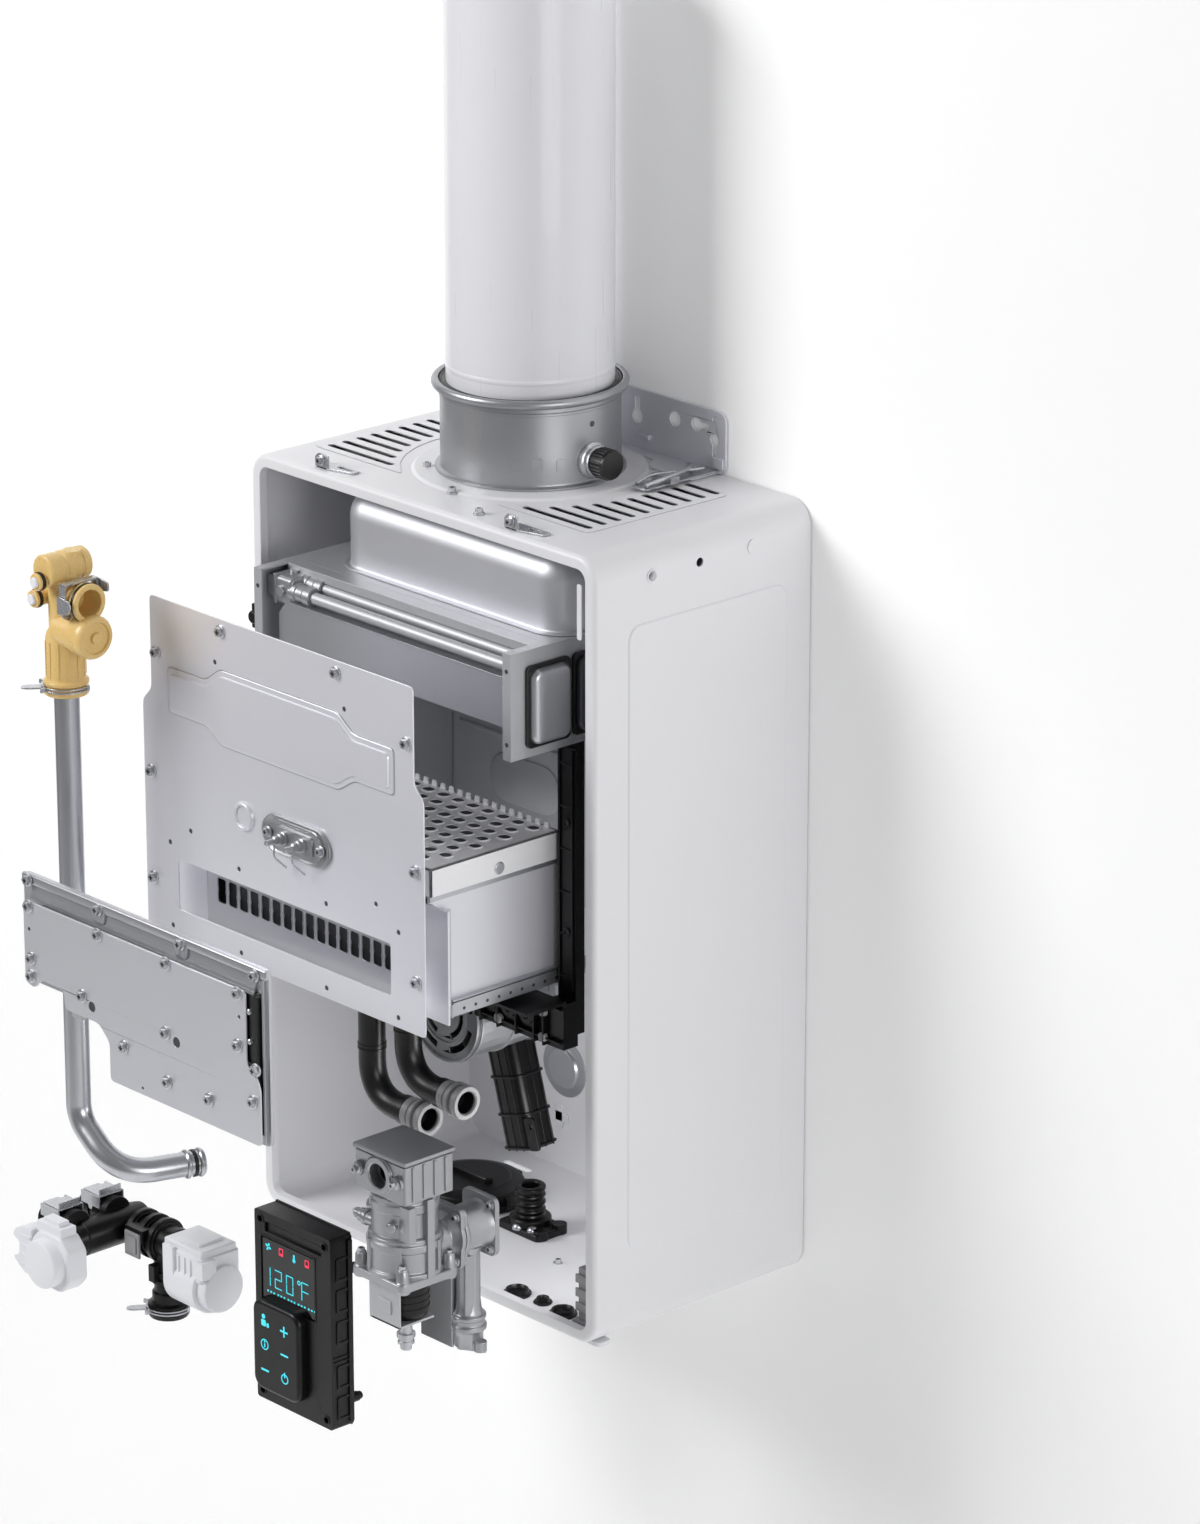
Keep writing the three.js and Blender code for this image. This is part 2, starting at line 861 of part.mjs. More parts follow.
function coverClip(name, x) {
  const base = cabinetHeight + gap;
  const foot = block([x - clipWidth / 2, x + clipTail], [clipY, clipY + clipDepth],
    [base, base + clipSheet]);
  const tab = block([x - clipWidth / 2, x + clipWidth / 2], [clipY, clipY + clipSheet],
    [base, base + clipHeight]);
  const screw = rod("y", clipScrewRadius, [clipY - clipScrewLength, clipY],
    [x, base + clipHeight / 2 + clipSheet / 2], smallSides);
  return piece(name, join(foot, tab, screw), brightSteel);
}

// Flue

function flueCollar() {
  const foot = cabinetHeight + flueSeatRise + gap;
  const body = turned("z", [
    [collarBore, foot], [collarFootRadius, foot], [collarFootRadius, foot + collarSheet],
    [collarRadius, foot + collarSheet], [collarRadius, collarRimZ],
    [collarRimRadius, collarRimZ], [collarRimRadius, collarTop], [collarRimBore, collarTop],
    [collarRimBore, collarSealZ], [collarBore, collarSealZ], [collarBore, pipeSeatZ],
    [pipeRadius - collarSheet, pipeSeatZ], [pipeRadius - collarSheet, pipeSeatZ - collarSheet],
    [collarBore, pipeSeatZ - collarSheet],
  ], [flueX, flueY], fineSides);
  const portHole = rod("x", portBore, [flueX, flueX + collarRadius + overrun],
    [portY, portZ - collarSheet * 3], smallSides);
  return piece("flue_collar", cut(body, portHole), zincSteel);
}

function collarSeal() {
  return piece("collar_seal", turned("z", [
    [pipeRadius + gap, collarSealZ + gap], [collarRimBore - gap, collarSealZ + gap],
    [collarRimBore - gap, collarSealZ + sealHeight],
    [pipeRadius + gap, collarSealZ + sealHeight],
  ], [flueX, flueY], fineSides), blackRubber);
}

function ventPipe() {
  const bore = pipeRadius - pipeWall;
  const seat = pipeSeatZ + gap;
  return piece("vent_pipe", turned("z", [
    [bore, seat], [pipeRadius, seat], [pipeRadius, pipeBeadZ],
    [pipeRadius + pipeBeadRise, pipeBeadZ],
    [pipeRadius + pipeBeadRise, pipeBeadZ + pipeBeadHeight],
    [pipeRadius, pipeBeadZ + pipeBeadHeight], [pipeRadius, pipeTop], [bore, pipeTop],
  ], [flueX, flueY], fineSides), ventPlastic);
}

// The test port's seat is cut to the collar's curve.
const portFaceX = flueX + collarRadius;

function testPort() {
  const flange = rod("x", portFlangeRadius, [flueX, portFaceX + portFlangeThick],
    [portY, portZ]);
  const nipple = rod("x", portRadius, [flueX, portFaceX + portLength], [portY, portZ],
    roundSides);
  const curve = rod("z", collarRadius + gap, [portZ - collarRadius, portZ + collarRadius],
    [flueX, flueY], fineSides);
  const bore = rod("x", portBore, [flueX, portFaceX + portLength + overrun],
    [portY, portZ], smallSides);
  const foot = block([portFaceX, portFaceX + collarFootRadius], [portY - portFlangeRadius,
    portY + portFlangeRadius], [cabinetHeight, cabinetHeight + flueSeatRise + collarSheet + gap * 2]);
  return piece("test_port", cut(join(flange, nipple), curve, bore, foot), brightSteel);
}

function testPortCap() {
  const end = portFaceX + portLength + capWall + gap;
  const start = end - capLength;
  return piece("test_port_cap", turned("x", [
    [portRadius + gap, start], [capRadius, start], [capRadius, end - capWall],
    [capRadius - capWall, end], [0, end], [0, end - capWall],
    [portRadius + gap, end - capWall],
  ], [portY, portZ], roundSides), blackRubber);
}

// Heat exchanger

function exchangerFrame() {
  const half = frameHalf;
  const inner = half - frameSheet;
  const side = (sign) => block([sign > 0 ? inner : -half, sign > 0 ? half : -inner],
    [frameFrontY, -cabinetWall - gap], [frameBottom, frameTop]);
  const channel = (sign) => block([sign > 0 ? half - channelWidth : -half,
    sign > 0 ? half : -half + channelWidth], [frameFrontY, frameFrontY + frameSheet],
    [frameBottom, frameTop]);
  const topFlange = (sign) => block([sign > 0 ? half - channelWidth : -half,
    sign > 0 ? half : -half + channelWidth], [frameFrontY, ledgeY],
    [frameTop - frameSheet, frameTop]);
  const shelf = block([-half, half], [ledgeY, frameRearY + frameSheet],
    [frameTop - frameSheet, frameTop]);
  const ledge = block([-half, half], [ledgeY, ledgeY + frameSheet],
    [frameTop - ledgeDrop, frameTop]);
  const back = block([-half, half], [frameRearY, frameRearY + frameSheet],
    [frameBottom, frameTop]);
  const opening = block([hoodLeft + shelfOpening, hoodRight - shelfOpening],
    [hoodFrontY + shelfOpening, hoodRearY - shelfOpening],
    [frameTop - frameSheet - overrun, frameTop + overrun]);
  return piece("exchanger_frame", cut(join(side(1), side(-1), channel(1), channel(-1),
    topFlange(1), topFlange(-1), shelf, ledge, back), opening), zincSteel);
}

const headerLeft = -frameHalf + channelWidth + gap;
const headerSocketEnd = headerLeft + headerLength + headerSocketLength;

function exchangerHeader() {
  const shape = rounded([headerFrontY, headerFrontY + headerDepth],
    [headerTop - headerHeight, headerTop], headerRound);
  const body = facingRight(shape, [headerLeft, headerLeft + headerLength]);
  const lug = block([-frameHalf + frameSheet + gap, headerLeft + overrun],
    [headerFrontY + headerRound, headerFrontY + headerDepth - headerRound],
    [headerTop - headerHeight + headerRound, headerTop - headerRound]);
  const sockets = [[rearTubeY, rearTubeZ], [frontTubeY, frontTubeZ]].map((centre) => rod("x",
    headerSocketRadius, [headerLeft + headerLength - overrun, headerSocketEnd], centre,
    smallSides));
  return piece("exchanger_header", join(body, lug, ...sockets), castAluminium);
}

function exchangerTube(name, y, z) {
  return piece(name, rod("x", tubeRadius, [headerSocketEnd + gap,
    frameHalf - frameSheet - gap], [y, z], smallSides), brightSteel);
}

function bafflePlate() {
  const half = frameHalf - frameSheet - gap;
  const face = block([-half + baffleGusset, half - baffleGusset],
    [baffleY, baffleY + baffleSheet], [baffleBottom, baffleTop]);
  const lip = block([-half, half], [baffleY, baffleY + baffleLip],
    [baffleBottom, baffleBottom + baffleSheet]);
  return piece("baffle_plate", join(face, lip), zincSteel);
}

function headerCover(name, front) {
  const x = frameHalf + gap;
  const top = coverBottom + coverHeight;
  const flange = facingRight(rounded([front, front + coverWidth], [coverBottom, top],
    coverMargin), [x, x + coverFlange]);
  const inner = [front + coverMargin, front + coverWidth - coverMargin];
  const bulge = facingRight(rounded(inner, [coverBottom + coverMargin, top - coverMargin],
    coverCorner), [x, x + coverBulge - coverMargin]);
  const crown = facingRight(rounded([inner[0] + coverMargin, inner[1] - coverMargin],
    [coverBottom + coverMargin * 2, top - coverMargin * 2], coverCorner - coverMargin),
    [x, x + coverBulge]);
  return piece(name, join(flange, bulge, crown), satinSteel);
}

// A box with its upright corners and its top edges rounded: three outlines in common.
function roundedBox(x, y, z, radius) {
  const below = z[0] - radius * 2;
  return common(
    facingUp(rounded(x, y, radius), z),
    facingRight(rounded(y, [below, z[1]], radius), x),
    facingFront(rounded(x, [below, z[1]], radius), y),
  );
}

function exhaustHood() {
  const base = frameTop + gap;
  const shell = roundedBox([hoodLeft, hoodRight], [hoodFrontY, hoodRearY],
    [base, hoodTop], hoodCorner);
  const inside = block([hoodLeft + hoodCorner / 2, hoodRight - hoodCorner / 2],
    [hoodFrontY + hoodCorner / 2, hoodRearY - hoodCorner / 2],
    [base - overrun, hoodTop - hoodCorner / 2]);
  const neck = rod("z", hoodNeckRadius, [hoodTop - hoodCorner, hoodNeckTop],
    [flueX, flueY], fineSides);
  const rearTrim = block([hoodLeft, hoodRight], [hoodRearY, cabinetDepth],
    [base - overrun, hoodTop]);
  const bore = rod("z", hoodNeckRadius - hoodSheet, [base, hoodNeckTop + overrun],
    [flueX, flueY], fineSides);
  const interior = common(bore, block([hoodLeft, hoodRight],
    [hoodFrontY, -cabinetWall], [hoodTop - hoodCorner, hoodNeckTop + overrun * 2]));
  return piece("exhaust_hood",
    cut(join(shell, cut(neck, rearTrim)), inside, interior), satinSteel);
}

// Chamber lining and side rail

function chamberLining() {
  const top = frameBottom - gap;
  const left = block([-frameHalf, -frameHalf + liningSheet], [liningFrontY, liningRearY],
    [liningBottom, top]);
  const back = block([-frameHalf, frameHalf - channelWidth], [liningRearY - liningSheet,
    liningRearY], [liningBottom, top]);
  return piece("chamber_lining", join(left, back), darkSteel);
}

function sideRail() {
  const right = railLeft + railWidth;
  const top = frameBottom - gap;
  const web = block([railLeft, railLeft + railSheet], [railFrontY, railFrontY + railDepth],
    [crossBottom, top]);
  const face = block([railLeft, right], [railFrontY, railFrontY + railSheet],
    [crossBottom, top]);
  const cross = block([crossLeft, right], [crossY, crossY + crossSheet],
    [crossBottom, crossTop + shelfSheet]);
  const tie = block([railLeft, right], [crossY, railFrontY + railSheet],
    [crossBottom, crossTop]);
  const shelf = block([shelfLeft, right], [shelfFrontY, crossY + crossSheet],
    [crossTop, crossTop + shelfSheet]);
  const holes = [1, 2, 3].map((step) => rod("y", crossHoleRadius,
    [crossY - overrun, crossY + crossSheet + overrun],
    [crossLeft + step * (railLeft - crossLeft) / 4, (crossBottom + crossTop) / 2],
    smallSides));
  return piece("side_rail", cut(join(web, face, cross, tie, shelf), ...holes), blackPlastic);
}

// Combustion fan

function fanHousing() {
  const centre = [fanX, fanZ];
  const drum = rod("y", fanRadius, [fanFrontY, fanRearY], centre, fineSides);
  const motor = rod("y", motorRadius, [fanRearY - fanWall, fanRearY + motorLength], centre);
  const outlet = block([fanX - fanOutletWidth / 2, fanX + fanOutletWidth / 2],
    [fanFrontY + fanOutletWidth / 2, fanRearY], [fanZ, trayBottom - gap]);
  const arm = block([fanX - motorRadius / 2, fanX + motorRadius / 2],
    [fanRearY, -cabinetWall - gap], [fanZ - fanArmThick / 2, fanZ + fanArmThick / 2]);
  const foot = block([fanX - motorRadius, fanX + motorRadius],
    [-cabinetWall - gap - fanArmThick, -cabinetWall - gap],
    [fanZ - motorRadius, fanZ + motorRadius]);
  const inside = rod("y", fanRadius - fanWall, [fanFrontY - overrun, fanRearY - fanWall],
    centre, fineSides);
  const channel = block([fanX - fanOutletWidth / 2 + fanWall,
    fanX + fanOutletWidth / 2 - fanWall], [fanFrontY + fanOutletWidth / 2 + fanWall,
    fanRearY - fanWall], [fanZ, trayBottom + overrun]);
  const bearing = rod("y", shaftRadius + shaftClearance, [fanRearY - motorRadius,
    fanRearY + motorLength / 2 + gap], centre, smallSides);
  return piece("fan_housing",
    cut(join(drum, motor, outlet, arm, foot), inside, channel, bearing), castAluminium);
}

function fanCover() {
  const shape = new THREE.Shape();
  shape.absarc(fanX, fanZ, fanRadius, 0, Math.PI * 2);
  for (let i = 0; i < fanSlotCount; i += 1) {
    const start = (i + 1 / 4) * Math.PI * 2 / fanSlotCount;
    const slot = new THREE.Path();
    slot.absarc(fanX, fanZ, fanSlotOuter, start, start + fanSlotSweep);
    slot.absarc(fanX, fanZ, fanSlotInner, start + fanSlotSweep, start, true);
    shape.holes.push(slot);
  }
  const hub = new THREE.Path();
  hub.absarc(fanX, fanZ, fanHubHole, 0, Math.PI * 2);
  shape.holes.push(hub);
  const rear = fanFrontY - gap;
  return piece("fan_cover", facingFront(shape, [rear - fanCoverThick, rear], smallSides / 2),
    castAluminium);
}

function fanWheel() {
  const front = fanFrontY + wheelClearance;
  const discY = front + wheelBladeLength;
  const disc = rod("y", wheelRadius, [discY, discY + wheelDisc], [0, 0]);
  const hub = rod("y", wheelHub, [front, discY], [0, 0], smallSides);
  const shaft = rod("y", shaftRadius, [front, fanRearY + motorLength / 2], [0, 0], smallSides);
  const blades = [];
  for (let i = 0; i < wheelBlades; i += 1) {
    const blade = block([wheelBladeInner, wheelRadius], [front, discY + wheelDisc / 2],
      [-wheelBladeThick / 2, wheelBladeThick / 2]);
    blades.push(blade.rotateY(i * Math.PI * 2 / wheelBlades));
  }
  const wheel = group(piece("fan_wheel", join(disc, hub, shaft, ...blades), greyPlastic));
  wheel.position.set(fanX, 0, fanZ);
  return wheel;
}

function intakeDuct() {
  const outline = (rise) => rounded([-ductWidth / 2 - rise, ductWidth / 2 + rise],
    [-ductDepth / 2 - rise, ductDepth / 2 + rise], ductCorner);
  const body = facingUp(outline(0), [-ductLength, 0]);
  const ribs = [];
  for (let i = 1; i <= ductRibs; i += 1) {
    const top = -ductLength + i * ductRibPitch - ductRibPitch + ductRibHeight;
    ribs.push(facingUp(outline(ductRibRise), [top - ductRibHeight, top]));
  }
  const ear = block([ductWidth / 2 - ductEarThick, ductWidth / 2 + ductEar],
    [-ductDepth / 2, -ductDepth / 2 + ductEarThick], [-ductLength, -ductLength + ductEarHeight]);
  const leaning = join(body, ...ribs, ear).rotate([0, -THREE.MathUtils.radToDeg(ductTilt), 0])
    .translate([ductTopX, ductY, ductTopZ]);
  const housing = rod("y", fanRadius + gap, [fanFrontY, fanRearY + gap], [fanX, fanZ],
    fineSides);
  const above = block([fanX - ductLength, fanX + ductLength], [ductY - ductDepth,
    ductY + ductDepth], [ductTopZ - ductCorner, fanZ]);
  return piece("intake_duct", cut(leaning, housing, above), blackPlastic);
}

// Drain hoses

function drainHose(name, { start, end, drop }) {
  const path = bentPath([
    new THREE.Vector3(start, hoseY, hoseTop),
    new THREE.Vector3(start, hoseY, drop),
    new THREE.Vector3(end, hoseY, drop),
  ], hoseBend);
  return piece(name, tubeAlong(path, hoseRadius, hoseSteps), blackRubber);
}

function hoseCoupling(name, { end, drop }) {
  const start = end + gap;
  const finish = start + couplingLength;
  const third = couplingLength / 3;
  return piece(name, turned("x", [
    [0, start], [couplingRadius, start], [couplingRadius, start + third],
    [couplingNeck, start + third], [couplingNeck, start + third * 1.4],
    [couplingRing, start + third * 1.4], [couplingRing, start + third * 1.8],
    [couplingNeck, start + third * 1.8], [couplingNeck, start + third * 2.4],
    [couplingRing, start + third * 2.4], [couplingRing, finish], [couplingBore, finish],
    [couplingBore, start + third], [0, start + third],
  ], [hoseY, drop], roundSides), greyPlastic);
}

// Things on the cabinet floor

const floorZ = cabinetWall + gap;

function trapLid() {
  const lid = turned("z", [
    [0, floorZ], [trapRadius, floorZ], [trapRadius, floorZ + trapHeight - trapLip],
    [trapRadius - trapDome / 2, floorZ + trapHeight - trapLip / 3],
    [trapRadius - trapDome, floorZ + trapHeight], [0, floorZ + trapHeight],
  ], [trapX, trapY], roundSides);
  return piece("trap_lid", lid, blackPlastic);
}

function drainFitting() {
  const plateTop = floorZ + drainPlateThick;
  const plate = facingUp(rounded([drainX - drainPlateWidth / 2 + trapLip,
    drainX + drainPlateWidth / 2], [drainY - drainPlateDepth / 2,
    drainY + drainPlateDepth / 2], drainPlateThick), [floorZ, plateTop]);
  const neck = (drainTop - drainFlangeZ) / 4;
  const spigot = turned("z", [
    [0, floorZ + drainPlateThick / 2], [drainFlange, floorZ + drainPlateThick / 2],
    [drainFlange, drainFlangeZ], [drainNeck, drainFlangeZ],
    [drainNeck, drainFlangeZ + neck], [drainRing, drainFlangeZ + neck],
    [drainRing, drainFlangeZ + neck * 2], [drainNeck, drainFlangeZ + neck * 2],
    [drainNeck, drainFlangeZ + neck * 3], [drainRing, drainFlangeZ + neck * 3],
    [drainRing, drainTop], [drainBore, drainTop], [drainBore, plateTop], [0, plateTop],
  ], [drainX, drainY], roundSides);
  return piece("drain_fitting", join(plate, spigot), blackPlastic);
}

function floorGrommet(name, { x, y, radius }) {
  const core = radius - grommetCoreInset;
  return piece(name, turned("z", [
    [0, 0], [core, 0], [core, floorZ], [radius, floorZ], [radius, floorZ + grommetFlange],
    [core, floorZ + grommetFlange + grommetBoss],
    [core / 2, floorZ + grommetFlange + grommetBoss], [0, floorZ + grommetFlange],
  ], [x, y]), blackRubber);
}

// Burner

function burnerBox() {
  const side = (sign) => block([sign > 0 ? boxHalf - boxSheet : -boxHalf,
    sign > 0 ? boxHalf : -boxHalf + boxSheet], [boxFrontY, boxRearY], [boxBottom, boxTop]);
  const floor = block([-boxHalf, boxHalf], [boxFrontY, boxRearY],
    [boxBottom, boxBottom + boxSheet]);
  const back = block([-boxHalf, boxHalf], [boxRearY - boxSheet, boxRearY],
    [boxBottom, boxTop]);
  const flange = cut(
    block([-boxFlangeHalf, boxFlangeHalf], [boxFrontY - boxFlangeSheet, boxFrontY],
      [boxBottom, boxFlangeTop]),
    block([-boxWindowHalf, boxWindowHalf], [boxFrontY - boxFlangeSheet - overrun,
      boxFrontY + overrun], [boxWindowBottom, boxWindowTop]),
  );
  return piece("burner_box", join(side(1), side(-1), floor, back, flange), satinSteel);
}

function burnerDeck() {
  const top = block([-deckHalf, deckHalf], [deckFrontY, deckRearY],
    [deckTop - deckSheet, deckTop]);
  const skirt = (sign) => block([sign > 0 ? deckHalf - deckSheet : -deckHalf,
    sign > 0 ? deckHalf : -deckHalf + deckSheet], [deckFrontY, deckRearY],
    [deckTop - deckSkirt, deckTop]);
  const web = block([-deckHalf, deckHalf], [deckFrontY, deckFrontY + deckSheet],
    [boxTop + gap, deckTop]);
  const foot = block([-deckHalf, deckHalf], [boxRearY - boxSheet - deckSkirt, boxRearY],
    [boxTop + gap, boxTop + gap + deckSheet]);
  const rear = block([-deckHalf, deckHalf], [deckRearY - deckSheet, deckRearY],
    [boxTop + gap, deckTop]);
  return piece("burner_deck",
    join(top, skirt(1), skirt(-1), web, rear, foot), satinSteel);
}

// A steel strip in the box's window with a row of upright slots, on a foot along the floor.
function burnerPorts() {
  const rearY = boxFrontY - boxFlangeSheet + portSheet;
  const outline = polygon([
    [-boxWindowHalf + gap, boxWindowBottom + gap], [boxWindowHalf - gap, boxWindowBottom + gap],
    [boxWindowHalf - gap, boxWindowTop - gap], [-boxWindowHalf + gap, boxWindowTop - gap],
  ]);
  for (let i = 0; i < portCount; i += 1) {
    const x = portCentreX + portPitch * (i - (portCount - 1) / 2);
    outline.holes.push(chamfered([x - portWidth / 2, x + portWidth / 2],
      [portCentreZ - portHeight / 2, portCentreZ + portHeight / 2], portCut, THREE.Path));
  }
  const strip = facingFront(outline, [rearY - portSheet, rearY]);
  const web = block([-boxWindowHalf + gap, boxWindowHalf - gap],
    [rearY - portSheet / 2, rearY + portSheet], [boxWindowBottom + gap,
    boxWindowBottom + portSheet]);
  const drop = block([-boxWindowHalf + gap, boxWindowHalf - gap],
    [rearY + gap, rearY + portSheet], [boxBottom + boxSheet + gap, boxWindowBottom + portSheet]);
  const foot = block([-boxWindowHalf + gap, boxWindowHalf - gap],
    [rearY + gap, rearY + portFootDepth],
    [boxBottom + boxSheet + gap, boxBottom + boxSheet + gap + portSheet]);
  return piece("burner_ports", join(strip, web, drop, foot), satinSteel);
}

function burnerTray() {
  const floor = block([-trayHalf, trayHalf], [trayFrontY, trayRearY],
    [trayBottom, trayBottom + traySheet]);
  const lip = (sign) => block([sign > 0 ? trayHalf - traySheet : -trayHalf,
    sign > 0 ? trayHalf : -trayHalf + traySheet], [trayFrontY, trayRearY],
    [trayBottom, trayBottom + trayLip]);
  const pads = block([-trayHalf, trayHalf], [trayFrontY + trayLip, trayRearY - trayLip],
    [trayBottom, boxBottom - gap]);
  return piece("burner_tray", join(floor, lip(1), lip(-1), pads), satinSteel);
}

// Front plate and igniter

const plateFrontY = plateRearY - plateSheet;

function onPlate(up) {
  return plateBottom + up * (plateTop - plateBottom);
}

function plateOutline() {
  const outline = polygon([
    [-plateHalf, plateBottom], [plateHalf, plateBottom], [plateHalf, plateShoulder],
    [plateNarrowHalf, plateShoulder + plateHalf - plateNarrowHalf],
    [plateNarrowHalf, plateTop - plateCorner], [plateNarrowHalf - plateCorner, plateTop],
    [-plateNarrowHalf + plateCorner, plateTop], [-plateNarrowHalf, plateTop - plateCorner],
    [-plateNarrowHalf, plateShoulder + plateHalf - plateNarrowHalf],
    [-plateHalf, plateShoulder],
  ]);
  outline.holes.push(chamfered([-plateWindowHalf, plateWindowHalf],
    [plateWindowBottom, plateWindowTop], plateCorner, THREE.Path));
  for (const sign of [-1, 1]) {
    for (const [across, up] of plateHoleShares) {
      const hole = new THREE.Path();
      hole.absarc(sign * across * plateHalf, onPlate(up), plateHoleRadius, 0, Math.PI * 2);
      outline.holes.push(hole);
    }
  }
  return outline;
}

function embossOutline() {
  const right = [
    [embossInner, embossInnerHigh], [embossKnee, embossOuterHigh],
    [embossOuter, embossOuterHigh], [embossOuter, embossOuterLow],
    [embossKnee, embossOuterLow], [embossInner, embossInnerLow],
  ];
  const left = right.map(([x, z]) => [-x, z]).reverse();
  return polygon([...right, ...left]);
}

function frontPlate() {
  const sheet = facingFront(plateOutline(), [plateFrontY, plateRearY], 3);
  const emboss = facingFront(embossOutline(), [plateFrontY - embossRise, plateRearY]);
  const screws = [-1, 1].flatMap((sign) => plateScrewShares.map(([across, up]) => rod("y",
    plateScrewRadius, [plateFrontY - plateScrewHead, plateRearY],
    [sign * across * plateHalf, onPlate(up)], screwSides)));
  const ring = turned("y", [
    [sightBore, plateFrontY - sightRise], [sightRadius, plateFrontY - sightRise],
    [sightRadius, plateRearY], [sightBore, plateRearY],
  ], [sightX, sightZ]);
  return piece("front_plate", join(sheet, emboss, ...screws, ring), plateSteel);
}

const igniterFrontY = plateFrontY - gap - igniterThick;

function igniterPlate() {
  const outline = chamfered([igniterX - igniterWidth / 2, igniterX + igniterWidth / 2],
    [igniterZ - igniterHeight / 2, igniterZ + igniterHeight / 2], igniterCut);
  const plate = facingFront(outline, [igniterFrontY, plateFrontY - gap]);
  const screws = [-1, 1].map((sign) => rod("y", plateScrewRadius,
    [igniterFrontY - plateScrewHead, igniterFrontY + igniterThick / 2],
    [igniterX + sign * igniterScrewSpread, igniterZ], screwSides));
  return piece("igniter_plate", join(plate, ...screws), castAluminium);
}

function electrode(name, x) {
  const rear = igniterFrontY - gap;
  const collar = rear - electrodeLength;
  return piece(name, turned("y", [
    [0, rear], [electrodeRadius, rear], [electrodeRadius, collar],
    [electrodeTip, collar], [electrodeTip, collar - electrodeTipLength],
    [0, collar - electrodeTipLength],
  ], [x, igniterZ], smallSides), whitePlastic);
}

// Gas cover

function gasOutline(side, low, top) {
  return [
    [-gasHalf + side, gasLeftBottom + low], [gasStepX - gasCut + low, gasLeftBottom + low],
    [gasStepX + low, gasLeftBottom + low - gasCut], [gasStepX + low, gasBottom + low],
    [gasHalf - side, gasBottom + low], [gasHalf - side, top], [-gasHalf + side, top],
  ];
}

function gasWindow(inset = 0) {
  const half = gasWindowHalf - inset;
  const low = gasWindowBottom + inset;
  const high = gasWindowTop - inset;
  const window = new THREE.Path();
  window.moveTo(-half, low);
  window.lineTo(half, low);
  window.lineTo(half, high);
  window.lineTo(-half, high);
  window.closePath();
  return window;
}

const gasBackFrontY = gasRearY - gasBackSheet;
const gasGasketFrontY = gasBackFrontY - gap - gasGasketThick;
const gasPlateRearY = gasGasketFrontY - gap;
const gasPlateFrontY = gasPlateRearY - gasFrontSheet;

function gasBackPlate() {
  const outline = polygon(gasOutline(0, 0, gasTop));
  outline.holes.push(gasWindow());
  const sheet = facingFront(outline, [gasBackFrontY, gasRearY]);
  const ridge = block([-gasHalf, gasHalf], [gasBackFrontY - gasRidgeRise, gasRearY],
    [gasRidgeBottom, gasTop]);
  const screws = gasTopScrewShares.map((across) => rod("y", gasScrewRadius,
    [gasBackFrontY - gasRidgeRise - gasScrewHead, gasRearY],
    [across * gasHalf, gasTopScrewZ], screwSides));
  return piece("gas_back_plate", join(sheet, ridge, ...screws), castAluminium);
}

function gasGasket() {
  const outline = polygon(gasOutline(gasFrontInset / 2, 0, gasFrontTop));
  outline.holes.push(gasWindow(-gap));
  return piece("gas_gasket", facingFront(outline, [gasGasketFrontY, gasBackFrontY - gap]),
    blackRubber);
}

function gasFrontPlate() {
  const sheet = facingFront(polygon(gasOutline(gasFrontInset, gasFrontLow, gasFrontTop)),
    [gasPlateFrontY, gasPlateRearY]);
  const pocket = facingFront(polygon(gasOutline(gasFrontInset + gasPocketInset,
    gasPocketInset, gasFrontTop - gasPocketInset)),
    [gasPlateFrontY - gasPocketRise, gasPlateRearY]);
  const screws = gasFrontScrewShares.map(([across, up]) => rod("y", gasScrewRadius,
    [gasPlateFrontY - gasScrewHead, gasPlateRearY],
    [across * gasHalf, gasBottom + up * (gasTop - gasBottom)], screwSides));
  return piece("gas_front_plate", join(sheet, pocket, ...screws), plateSteel);
}

// Outlet tee and pipe, about the pipe's own upright line

